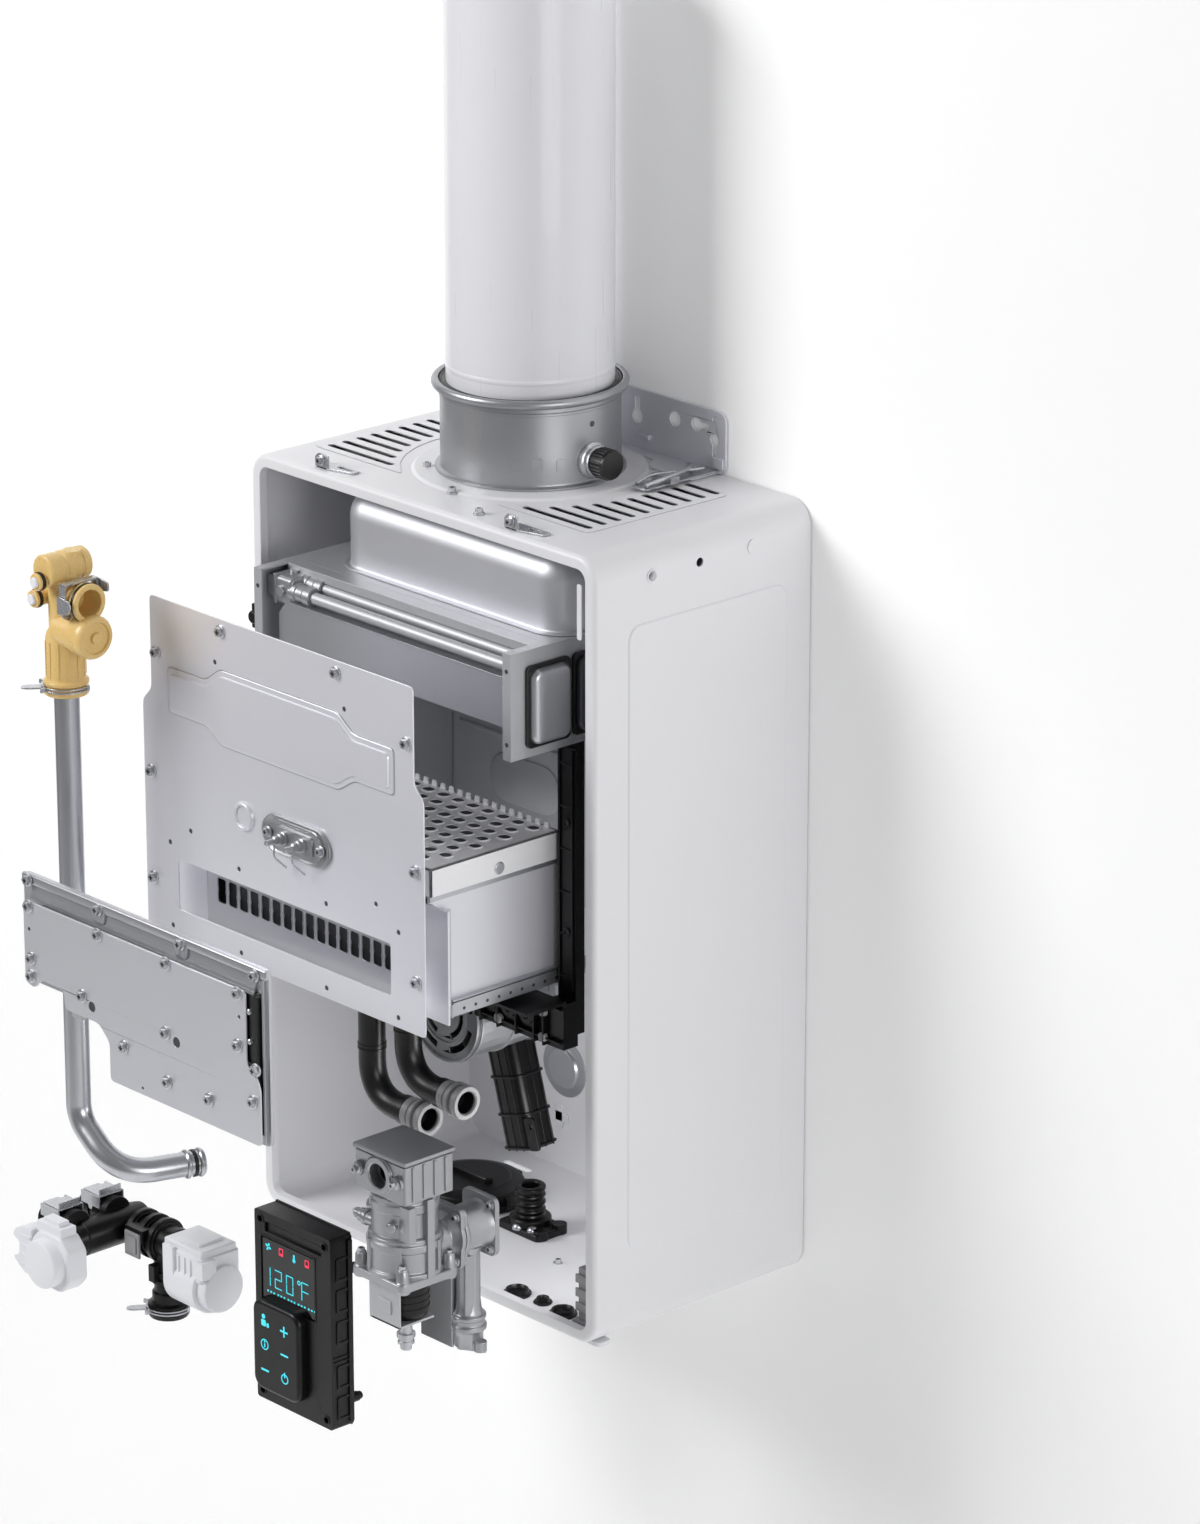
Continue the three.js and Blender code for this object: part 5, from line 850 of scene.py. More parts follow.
def build_exchanger():
    steel, cast = satin_stainless_sheet(), die_cast_aluminium()
    dress(galvanised_sheet(), "exchanger_frame")
    wide, deep, high = extent("exhaust_hood")
    top, base, turn = high[1] - 38, high[0], size("hood_round")
    side = [(-1, base), (-5, base + 0.2), (-5, base + 1.6), (-1, base + 1.8), (0, base + 3)]
    dome = side + edge_arc(turn, top - turn, 1, 8) + [(turn + 14, top)]
    hood = drawn("z", wide, (deep[0], -66), 30, dome, 10)
    flue = [middle(pair) for pair in extent("flue_collar")]
    neck = turned("z", [(60.4, top - 8), (62, top - 8), (62, high[1]), (60.4, high[1])], flue[:2],
        64)
    press = drawn("z", (wide[0] + 34, wide[1] - 34), (deep[0] + 34, -98), 16,
        [(0, top - 1), (0.6, top + 1), (2.4, top + 1.8)], 8)
    solid("exhaust_hood_shown", [hood, neck, press], deep_drawn_steel(), "heater",
        ["exhaust_hood"], bevel=0)

    wide, deep, high = extent("exchanger_frame")
    ledge = -248
    screws("ledge_screws", "y", [(-131, high[1] - 5), (28, high[1] - 6), (140, high[1] - 6)],
        ledge, 3, "heater", 4)
    # Dark discs on the frame standing for holes: painted shade.
    holes = [rod("y", 2.6, (ledge + 0.4, ledge - 0.2), (x, high[1] - 5), 20) for x in (-60, 87.3)]
    holes += [rod("y", 2, (deep[0] + 0.4, deep[0] - 0.2), (x, high[0] + z), 20)
        for x in (wide[0] + 5, wide[1] - 5) for z in (14, 78)]
    solid("frame_hole_shade", holes, painted_shade_steel(), "heater", bevel=0)
    trims = [slab("z", softened([(wide[0] + 10, ledge - 14), (wide[1] - 10, ledge - 14),
        (wide[1] - 10, ledge), (wide[0] + 10, ledge)], 1), (high[1] - 1.4, high[1])),
        box((wide[0] + 10, wide[1] - 10), (ledge - 14, ledge - 12.6),
        (high[1] - 8, high[1] - 0.7)), box((wide[0] + 32, wide[1] - 11), (-256, -254.8),
        (high[0] + 62, high[1] - 14))]
    solid("frame_trims", trims, galvanised_sheet(), "heater", bevel=0.4)

    wide, deep, high = extent("exchanger_header")
    body = drawn("x", deep, high, 4, [(2, wide[0] + 9), (0, wide[0] + 11), (0, wide[0] + 33),
        (2, wide[0] + 35)], 6)
    shapes = [body]
    for y, z in ((-260, 607), (-273, 602)):
        shapes.append(turned("x", [(0, wide[0] + 30), (9, wide[0] + 30), (9, wide[0] + 38),
            (7.6, wide[0] + 39), (7.6, wide[0] + 47), (8.4, wide[0] + 48), (8.4, wide[1]),
            (0, wide[1])], (y, z), 40))
    shapes += [box((wide[0], wide[0] + 14), (deep[0] + 3, deep[1] - 3),
        (high[0] + 3, high[1] - 3)), rod("z", 4.4, (high[1] - 2, high[1] + 2.4),
        (wide[0] + 20, middle(deep)), 24),
        rod("y", 5, (deep[0] - 2.5, deep[0] + 2), (wide[0] + 22, middle(high)), 24),
        box((wide[0] + 12, wide[0] + 16), (deep[0] - 1.2, deep[1]), (high[0], high[1] + 1.2))]
    solid("exchanger_header_shown", shapes, cast, "heater", ["exchanger_header"],
        bevel=0.7)
    for node in ("exchanger_tube_rear", "exchanger_tube_front"):
        wide, deep, high = extent(node)
        solid(node + "_shown", [rod("x", 5.2, wide, (middle(deep), middle(high)))],
            galvanised_sheet(), "heater", [node])
    wide, deep, high = extent("baffle_plate")
    face = slab("y", softened([(wide[0] + 18, high[0]), (wide[1] - 4, high[0]),
        (wide[1] - 4, high[1] - 14), (wide[1] - 14, high[1]), (wide[0] + 28, high[1]),
        (wide[0] + 18, high[1] - 12)], 2), (deep[0], deep[0] + 1.4))
    lips = [box(wide, deep, (high[0], high[0] + 1.4)),
        box((wide[0] + 28, wide[1] - 14), (deep[0], deep[0] + 10), (high[1] - 1.4, high[1]))]
    solid("baffle_shown", [face, *lips], steel, "heater", ["baffle_plate"])

    gasket = moulded_rubber()
    # The rear cover takes the dark steel as painted shade; the front cover is satin steel.
    for node, finish in (("header_cover_front", steel),
            ("header_cover_rear", painted_shade_steel())):
        wide, deep, high = extent(node)
        root = wide[0]
        solid(node + "_gasket",
            [drawn("x", deep, high, 5, [(0, root), (0, root + 2.4), (1, root + 3)], 6)], gasket,
            "heater", bevel=0)
        dome = [(3.2, root + 2)] + [(3.2 + a, b) for a, b in edge_arc(5.2, root + 3.8, 1, 8)]
        dome += [(13, root + 9.4)]
        solid(node + "_shown", [drawn("x", deep, high, 12, dome, 8)], finish, "heater",
            [node], bevel=0)
    knob = turned("y", [(0, -284), (6, -284), (6, -288.6), (5, -290), (0, -290)], (-171, 573), 28)
    lug = box((-176, -165), (-286, -270), (562, 584))
    solid("header_plug", [knob, lug], moulded_nylon(), "heater", bevel=0.8)


def build_chamber():
    black, cast = moulded_nylon(), die_cast_aluminium()
    lining = aluminised_sheet()
    dress(lining, "chamber_lining")
    dress(black, "side_rail")
    dress(cast, "fan_housing")
    dress(grey_polypropylene(), "fan_wheel")
    wide, deep, high = extent("chamber_lining")
    back = deep[1] - 1.4
    oval = drawn("y", (-112, -20), (372, 418), 22,
        [(0, back + 0.4), (0.6, back - 1.2), (2.6, back - 2)], 8)
    ridge = drawn("y", (wide[0] + 10, wide[1] - 12), (high[0] + 130, high[0] + 136), 3,
        [(0, back + 0.4), (1.5, back - 2)], 4)
    hook = [box((wide[0] + 1, wide[0] + 14), (-200, -180), (402, 404)),
        box((wide[0] + 12, wide[0] + 14), (-200, -180), (404, 420)),
        box((wide[0] + 1, wide[0] + 4), (-206, -176), (396, 440))]
    solid("chamber_embosses", [oval, ridge, *hook], lining, "heater", bevel=0.5)
    liner = [box((wide[0] + 1.6, wide[0] + 2.4), (deep[0] + 2, deep[1] - 3),
        (high[0] + 4, high[1] - 4))]
    solid("chamber_side_sheet", liner, lining, "heater", bevel=0.2)

    wide, _, high = extent("side_rail")
    face = -232
    holes, rims = [], []
    for z in (460.4, 362.3):
        holes.append(rod("y", 2.3, (face, face - 0.3), (168.8, z), 24))
        rims.append(pipe("y", 4.6, 2.3, (face - 1.4, face + 1), (168.8, z), 32))
    for x in (wide[1] - 3, wide[1] - 19):
        rims.append(box((x - 1, x + 1), (face - 1.8, face + 1), (high[0] + 50, high[1])))
    for z in range(int(high[0]) + 60, int(high[1]), 38):
        rims.append(box((wide[1] - 20, wide[1] - 2), (face - 1.4, face + 1), (z, z + 1.6)))
    cross = -246
    cap_z = (high[0] + 306) / 2
    for x in (88.75, 111.5, 134.25):
        rims.append(pipe("y", 9.5, 5, (cross - 3, cross + 1), (x, cap_z), 40))
    for x in (78, 100, 123, 146, 158):
        rims.append(box((x - 0.9, x + 0.9), (cross - 5, cross + 1), (high[0], 303)))
    for z in (high[0] + 6, high[0] + 36):
        rims.append(box((68, wide[1]), (cross - 4, cross + 1), (z, z + 1.8)))
    solid("rail_ribs", rims, black, "heater", bevel=0.4)
    # The rail's holes are dark discs: painted shade.
    solid("rail_hole_shade", holes, painted_shade_steel(), "heater", bevel=0)
    caps = [turned("y", [(0, cross - 5), (3.8, cross - 5), (4.6, cross - 4), (4.6, cross - 1),
        (0, cross - 1)], (x, z), 28) for x, z in ((124.5, 292), (156, 292), (156, 269),
        (100, 270))]
    solid("rail_caps", caps, grey_polypropylene(), "heater", bevel=0.3)

    wide, deep, high = extent("fan_cover")
    centre = (middle(wide), middle(high))
    radius = length(wide) / 2
    slots = []
    for ring_in, ring_out, count, sweep, shift in ((32, 38, 4, 1.1, 0.2), (20, 25, 3, 1.3, 0.9)):
        for i in range(count):
            start = shift + i * math.tau / count
            out = [(centre[0] + ring_out * math.cos(start + sweep * k / 10),
                centre[1] + ring_out * math.sin(start + sweep * k / 10)) for k in range(11)]
            back_way = [(centre[0] + ring_in * math.cos(start + sweep * k / 10),
                centre[1] + ring_in * math.sin(start + sweep * k / 10)) for k in range(10, -1, -1)]
            slots.append(out + back_way)
    disc = slab("y", circle(centre, radius, 72), deep, [*slots, circle(centre, 8, 32)])
    rims = [pipe("y", radius, radius - 2.4, (deep[0] - 1.6, deep[1]), centre, 72),
        pipe("y", 11.5, 8, (deep[0] - 2, deep[1]), centre, 40),
        pipe("y", 30, 28, (deep[0] - 1, deep[1]), centre, 64)]
    solid("fan_cover_shown", [disc, *rims], cast, "heater", ["fan_cover"],
        bevel=0.35)
    drum = extent("fan_housing")[1][0]
    ribs = [pipe("y", radius + 1.4, radius - 0.4, (y, y + 3), centre, 72)
        for y in (drum + 1, drum + 40, drum + 80)]
    solid("fan_ribs", ribs, cast, "heater", bevel=0.5)

    duct_tilt, duct_top, half, deep_half, low, foot = 0.285, (12, -160, 212), 19, 16, -8, -108
    shapes = [drawn("z", (-half, half), (-deep_half, deep_half), 8,
        [(1.5, foot), (0, foot + 1.5), (0, low - 1.5), (1.5, low)], 6)]
    for at in (low - 1, -40, -74, foot + 4):
        shapes.append(drawn("z", (-half - 1.8, half + 1.8), (-deep_half - 1.8, deep_half + 1.8), 9,
            [(0.6, at), (0, at - 0.6), (0, at - 1.8), (0.6, at - 2.4)], 6))
    for x in (-11, -1, 9):
        shapes.append(box((x - 0.6, x + 0.6), (-deep_half - 0.9, -deep_half + 1), (foot, low)))
    for y in (-8, 1, 10):
        shapes.append(box((half - 1, half + 0.9), (y - 0.6, y + 0.6), (foot, low)))
    ear = slab("y", rounded((16, 29), (-108, -78), 3), (-16, -13), [circle((24, -86), 2.4, 20)])
    placed = [moved(shape, duct_top, -duct_tilt, "Y") for shape in (*shapes, ear)]
    solid("intake_duct_shown", placed, black, "heater", ["intake_duct"],
        bevel=0.4)


def build_floor():
    rubber, black = moulded_rubber(), moulded_nylon()
    for side in ("left", "right"):
        hose, end = extent(f"drain_hose_{side}"), extent(f"hose_coupling_{side}")
        y, low = middle(end[1]), middle(end[2])
        radius = length(hose[1]) / 2
        start = hose[0][0] + radius
        route = [(start, y, hose[2][1]), (start, y, low), (hose[0][1], y, low)]
        shapes = [tube(route, radius, (36,), 40, 20)]
        for z in (low + 46, low + 50):
            shapes.append(turned("z", [(radius - 1, z - 1.4), (radius + 0.7, z - 0.8),
                (radius + 0.7, z + 0.8), (radius - 1, z + 1.4)], (start, y), 40))
        cuff = hose[0][1]
        shapes.append(turned("x", [(radius - 2, cuff - 9), (radius + 1.2, cuff - 8),
            (radius + 1.2, cuff - 0.5), (radius - 2, cuff)], (y, low), 40))
        solid(f"drain_hose_{side}_shown", shapes, rubber, "heater",
            [f"drain_hose_{side}"], bevel=0)
        a, b = end[0]
        ring = [(0, a), (13.6, a), (13.6, a + 7), (12.6, a + 8), (12.6, a + 10.4), (15.4, a + 11),
            (15.4, a + 14.6), (12.4, a + 15.2), (12.4, a + 19), (14.8, a + 19.6), (15.4, a + 20.4),
            (15.4, b - 1), (14.6, b), (11.2, b), (10, b - 1.2), (10, a + 10), (0, a + 10)]
        solid(f"hose_coupling_{side}_shown", [turned("x", ring, (y, low), 56)],
            grey_polypropylene(), "heater", [f"hose_coupling_{side}"], bevel=0.25)
        # A dark rubber sleeve and floor inside the coupling's bore: painted shade.
        bore = [(9.9, b - 3), (9.3, b - 4), (9.3, a + 11.5), (0, a + 11.5), (0, a + 10.2),
            (9.9, a + 10.2)]
        solid(f"hose_coupling_{side}_bore", [turned("x", bore, (y, low), 48)], rubber, "heater",
            bevel=0)

    wide, deep, high = extent("trap_lid")
    spot, radius, floor, top = (middle(wide), middle(deep)), length(wide) / 2, high[0], high[1]
    lid = [(0, floor), (radius, floor), (radius, floor + 5), (radius - 1.4, floor + 6),
        (radius - 1.4, top - 7), (radius - 3, top - 4), (radius - 10, top - 1.4),
        (radius - 14, top - 1), (radius - 15, top), (0, top)]
    shapes = [turned("z", lid, spot, 72)]
    for i in range(14):
        angle = math.tau * i / 14
        grip = box((radius - 6, radius + 0.6), (-3.2, 3.2), (floor, top - 6))
        shapes.append(moved(grip, (*spot, 0), angle))
    shapes.append(drawn("z", (spot[0] - 26, spot[0] + 26), (spot[1] - 5, spot[1] + 5), 4,
        [(0, top - 1), (0, top + 4), (1.4, top + 5.4)], 5))
    solid("trap_lid_shown", shapes, black, "heater", ["trap_lid"], bevel=0.5)

    wide, deep, high = extent("drain_fitting")
    floor = high[0]
    spot = (middle(wide) - 3, middle(deep))
    plate = drawn("z", wide, deep, 6, [(0, floor), (0, floor + 5), (1, floor + 6)], 6)
    ribs = [(8, floor + 5), (19, floor + 5), (19, floor + 12), (17.5, floor + 13.4),
        (13, floor + 14)]
    for z in (20, 27, 34):
        ribs += [(12, z - 2), (13.4, z), (14, z + 1), (13.4, z + 2.4), (12, z + 3.2)]
    ribs += [(14, high[1] - 3), (14, high[1] - 0.8), (13, high[1]), (9, high[1]), (8, high[1] - 1)]
    lobes = [rod("z", 7, (floor, floor + 9), (spot[0] + x, spot[1] + y), 28)
        for x, y in ((-24, 10), (25, -10), (25, 12))]
    solid("drain_fitting_shown", [plate, turned("z", ribs, spot, 56), *lobes], black, "heater",
        ["drain_fitting"], bevel=0.4)
    domes = []
    for x, y in ((2, -17), (17, -13)):
        domes.append(turned("z", [(0, floor + 5), (5, floor + 5), (5, floor + 7),
            (3.9, floor + 8.8), (2, floor + 9.8), (0, floor + 10)], (spot[0] + x, spot[1] + y),
            28))
    solid("drain_screws", domes, spring_steel(), "heater", bevel=0)

    for node in ("floor_grommet_1", "floor_grommet_2", "floor_grommet_3"):
        wide, deep, high = extent(node)
        spot, radius, floor, top = (middle(wide), middle(deep)), length(wide) / 2, 1.6, high[1]
        lip = [(0, high[0]), (radius - 3, high[0]), (radius - 3, floor), (radius - 0.6, floor),
            (radius, floor + 1), (radius - 0.6, floor + 2.2), (radius - 2.4, floor + 2.6),
            (radius - 3, top), (radius - 4, top + 0.4), (radius - 5, top - 0.4),
            (radius - 6, floor + 2.6), (0, floor + 1.8)]
        cross = [box((spot[0] - radius + 5, spot[0] + radius - 5), (spot[1] - 0.6, spot[1] + 0.6),
            (floor, floor + 2.8)),
            box((spot[0] - 0.6, spot[0] + 0.6), (spot[1] - radius + 5, spot[1] + radius - 5),
            (floor, floor + 2.8))]
        solid(node + "_shown", [turned("z", lip, spot, 48), *cross], rubber, "heater",
            [node], bevel=0)


def build_burner():
    steel, dark = satin_stainless_sheet(), painted_shade_steel()
    dress(pressed_plate(), "burner_box")
    wide, deep, high = extent("burner_deck")
    front, top, pitch = deep[0], high[1], size("deck_pitch")
    # The deck ends here, and only its foot reaches farther back.
    rear = front + 143
    rows, row_pitch = 8, 16.4
    holes, rims = [], []
    for row in range(rows):
        y = front + 16 + row * row_pitch
        shift = pitch * (row % 2)
        x = wide[0] + 14 + shift
        while x < wide[1] - 12:
            cell = softened([(x - 6.4, y), (x - 4, y - 4.6), (x + 4, y - 4.6), (x + 6.4, y),
                (x + 4, y + 4.6), (x - 4, y + 4.6)], 2.2, 3)
            holes.append(cell)
            ring = [(x + (u - x) * 1.2, y + (v - y) * 1.26) for u, v in cell]
            rims.append(slab("z", ring, (top - 0.3, top + 1), [cell]))
            x += pitch * 2
    sheet = box(wide, (front, rear), (top - 1.6, top))
    skirts = [box((wide[0], wide[0] + 2), (front, rear), (high[0], top)),
        box((wide[1] - 2, wide[1]), (front, rear), (high[0], top)),
        box(wide, (front, front + 2), (high[0], top)), box(wide, (rear - 2, rear), (high[0], top))]
    for i in range(int(length(wide) / 11)):
        x = wide[0] + 5 + i * 11
        tooth = [(x, top - 1), (x + 7, top - 1), (x + 5.6, top + 4.6), (x + 1.4, top + 4.6)]
        skirts.append(slab("y", tooth, (rear - 2.2, rear - 0.6)))
    solid("burner_deck_shown", [sheet, *skirts, *rims], fired_deck_steel(), "burner",
        ["burner_deck"], bevel=0.25)
    # Dark patches in the deck's cells stand for the holes: painted shade; the sheet under them is
    # whole.
    cell_shades = [slab("z", hole, (top - 2, top + 0.2)) for hole in holes]
    solid("burner_deck_cell_shade", cell_shades, dark, "burner", bevel=0)

    box_z = extent("burner_box")[2]
    side = 150
    stud = turned("x", [(0, side), (4.6, side), (4.6, side + 2), (5.6, side + 2.4),
        (5.6, side + 4.2), (4.6, side + 5), (0, side + 5)], (-295, 432), 28)
    solid("burner_stud", [stud], zinc_screw_steel(), "burner", bevel=0.2)
    trims = [box((side, side + 1.6), (-370, -228), (419, 424)),
        box((side, side + 5), (-348, -216), (326, 327.6)),
        box((side, side + 5), (-370, -368.4), (box_z[0], 418)),
        box((side + 3.6, side + 5), (-366, -350), (box_z[0] + 6, 410))]
    solid("burner_trims", trims, steel, "burner", bevel=0.4)

    wide, deep, high = extent("burner_ports")
    dress(steel, "burner_tray")
    pitch = (length(wide) + 0.6) / 18.9
    centre_x = -8
    openings, inner = [], []
    for i in range(16):
        x = centre_x + pitch * (i - 7.5)
        low, top, waist, reach = 346, 368, 357, 5.5
        port = [(x + reach, low), (x + reach, waist - 1.6), (x + reach - 0.8, waist),
            (x + reach, waist + 1.6), (x + reach, top), (x - reach, top), (x - reach, waist + 1.6),
            (x - reach + 0.8, waist), (x - reach, waist - 1.6), (x - reach, low)]
        openings.append(softened(port, 2.4, 3))
        lip = rounded((x - reach - 0.6, x + reach + 0.6), (low - 0.7, top + 0.7), 2.8, 4)
        inner.append(slab("y", lip, (deep[0] - 0.8, deep[0] - 0.1), openings[-1:]))
    face = slab("y", [(wide[0], high[0]), (wide[1], high[0]), (wide[1], high[1]),
        (wide[0], high[1])], (deep[0] - 0.2, deep[0] + 0.5), openings)
    depth = deep[0] + 10
    solid("burner_ports_shown", [face, box(wide, (deep[0], depth), (high[0], high[0] + 1.6)),
        box(wide, (deep[0], depth), (high[1] - 1.6, high[1])), *inner], steel, "burner",
        ["burner_ports"], bevel=0.3)
    # A dark sheet behind the port openings: painted shade.
    back = box((wide[0] + 1, wide[1] - 1), (depth, depth + 1), (high[0] + 2, high[1] - 2))
    solid("burner_ports_shade", [back], dark, "burner", bevel=0)
    wide, deep, high = extent("burner_tray")
    rim = [box((wide[1] + 0.3, wide[1] + 1.8), deep, (high[0] + 1, high[1] + 1)),
        box((wide[0], wide[1] + 1.8), (deep[0] - 1, deep[0] + 0.4), high)]
    holes = []
    for i in range(9):
        y = deep[0] + 12 + i * 13
        holes.append(rod("x", 1.5, (wide[1] + 1.7, wide[1] + 2), (y, middle(high)), 16))
    solid("tray_lip", rim, steel, "burner", bevel=0.3)
    # The tray's holes are dark discs: painted shade.
    solid("tray_hole_shade", holes, dark, "burner", bevel=0)


def build_front_plate():
    plate, dark = pressed_plate(), painted_shade_steel()
    wide, deep, high = extent("front_plate")
    half, low, top = length(wide) / 2, high[0], high[1]
    rear, face, narrow, shoulder = deep[1], deep[1] - 1.6, half - 12, 523
    outline = softened([(-half, low), (half, low), (half, shoulder), (narrow, shoulder + 12),
        (narrow, top), (-narrow, top), (-narrow, shoulder + 12), (-half, shoulder)], 5, 4)
    window = rounded((-139, 139), (342, 388), 3, 4)
    tall = top - low
    spots = [(sign * across * half, low + up * tall) for sign in (-1, 1)
        for across, up in ((0.46, 0.868), (0.665, 0.337), (0.82, 0.28), (0.313, 0.28),
        (0.308, 0.03), (0.813, 0.03))]
    holes = [circle(spot, 2.3, 20) for spot in spots]
    sheet = slab("y", outline, (face, rear), [window, *holes])
    outer, inner, knee, rise = 146, 76, 96, 3
    right = [(inner, 574), (knee, 560), (outer, 560), (outer, 520), (knee, 520), (inner, 507)]
    shield = right + [(-x, z) for x, z in reversed(right)]

    def shrunk(amount, along):
        corners = []
        for i, corner in enumerate(shield):
            here = Vector(corner)
            back = (here - Vector(shield[i - 1])).normalized()
            ahead = (Vector(shield[(i + 1) % len(shield)]) - here).normalized()
            inward = Vector((back.y, -back.x)) + Vector((ahead.y, -ahead.x))
            corners.append(here + inward / (1 + back.dot(ahead)) * amount)
        return [(u, along, v) for u, v in softened(corners, 5, 4)]

    emboss = loft([shrunk(0, face + 0.5), shrunk(0, face - 0.8), shrunk(0.6, face - 1.2),
        shrunk(4.4, face - 1.3), shrunk(5, face - rise + 0.2), shrunk(5.6, face - rise)])
    ring = [(9, face + 0.4), (9, face - 2), (9.8, face - 3), (11.6, face - 3), (12.5, face - 2),
        (12.9, face - 0.4), (13.6, face + 0.4)]
    fold = box((-half + 2, half - 2), (rear, rear + 1), (low, low + 1.4))
    solid("front_plate_shown", [sheet, turned("y", ring, (-48, 451), 64), fold], plate, "plate",
        ["front_plate"], bevel=0.35)
    solid("front_plate_emboss", [emboss], plate, "plate", bevel=0)
    # A darker steel line round the emboss's foot: painted shade along its step.
    border = [[(u, v) for u, _, v in shrunk(amount, 0)] for amount in (-1, 0.3)]
    solid("emboss_shade_line", [slab("y", border[0], (face - 0.3, face + 0.3), border[1:])],
        satin_stainless_sheet(), "plate", bevel=0)
    places = [(sign * across * half, low + up * tall) for sign in (-1, 1)
        for across, up in ((0.41, 0.965), (0.89, 0.835), (0.945, 0.475), (0.945, 0.155))]
    screws("plate_screws", "y", places, face, 4.4, "plate")
    solid("sight_disc", [rod("y", 8.9, (face + 0.2, face - 0.9), (-48, 451))], plate, "plate",
        bevel=0.3)
    shade_plugs = [rod("y", 2.4, (face + 0.7, rear), spot, 20) for spot in spots]
    solid("plate_hole_shade", shade_plugs, dark, "plate", bevel=0)

    wide, deep, high = extent("igniter_plate")
    face, rear, cut = deep[1] - 3, deep[1], 11
    octagon = [(wide[0] + cut, high[0]), (wide[1] - cut, high[0]), (wide[1], high[0] + cut),
        (wide[1], high[1] - cut), (wide[1] - cut, high[1]), (wide[0] + cut, high[1]),
        (wide[0], high[1] - cut), (wide[0], high[0] + cut)]
    centre = (middle(wide), middle(high))

    def scaled(share, along):
        return [(centre[0] + (u - centre[0]) * share, along, centre[1] + (v - centre[1]) * share)
            for u, v in softened(octagon, 6)]

    shell = loft([scaled(1, rear), scaled(1, face + 0.5), scaled(0.985, face - 0.2),
        scaled(0.95, face - 0.4), scaled(0.87, face + 1.2)])
    pads = [loft([scaled(0.8, face + 2), scaled(0.8, face + 0.4), scaled(0.785, face + 0.1)])]
    block = [slab("y", rounded((centre[0] - 22, centre[0] + 24), (centre[1] - 9, centre[1] + 9),
        3.5, 5), (face - 2.2, face + 1)),
        slab("y", rounded((centre[0] - 22, centre[0] + 18), (centre[1] + 11, centre[1] + 12), 0.4,
        2), (face - 0.3, face + 1))]
    solid("igniter_plate_shown", [shell, *pads, *block], die_cast_aluminium(), "plate",
        ["igniter_plate"], bevel=0.5)
    screws("igniter_screws", "y", [(centre[0] - 34, centre[1]), (centre[0] + 34, centre[1])],
        face - 0.6, 4.2, "plate", 5)
    for node in ("spark_electrode", "flame_electrode"):
        wide, deep, high = extent(node)
        spot = (middle(wide), middle(high))
        tip, root = deep[0], deep[1]
        shape = [(0, root), (6, root), (6, root - 4), (5.2, root - 4.6), (5.2, root - 8),
            (4, root - 8.6), (4, tip + 9), (2.6, tip + 8), (2.4, tip + 1), (1.8, tip), (0, tip)]
        solid(node + "_shown", [turned("y", shape, spot, 36)], die_cast_aluminium(), "plate",
            [node], bevel=0)
        wire = tube([(spot[0] + 1, tip + 9, spot[1] - 3), (spot[0] + 1, tip + 8, spot[1] - 14),
            (spot[0] + 2, face - 1.5, spot[1] - 26)], 0.9, (4,), 10, 5)
        solid(node + "_wire", [wire], spring_steel(), "plate", bevel=0)


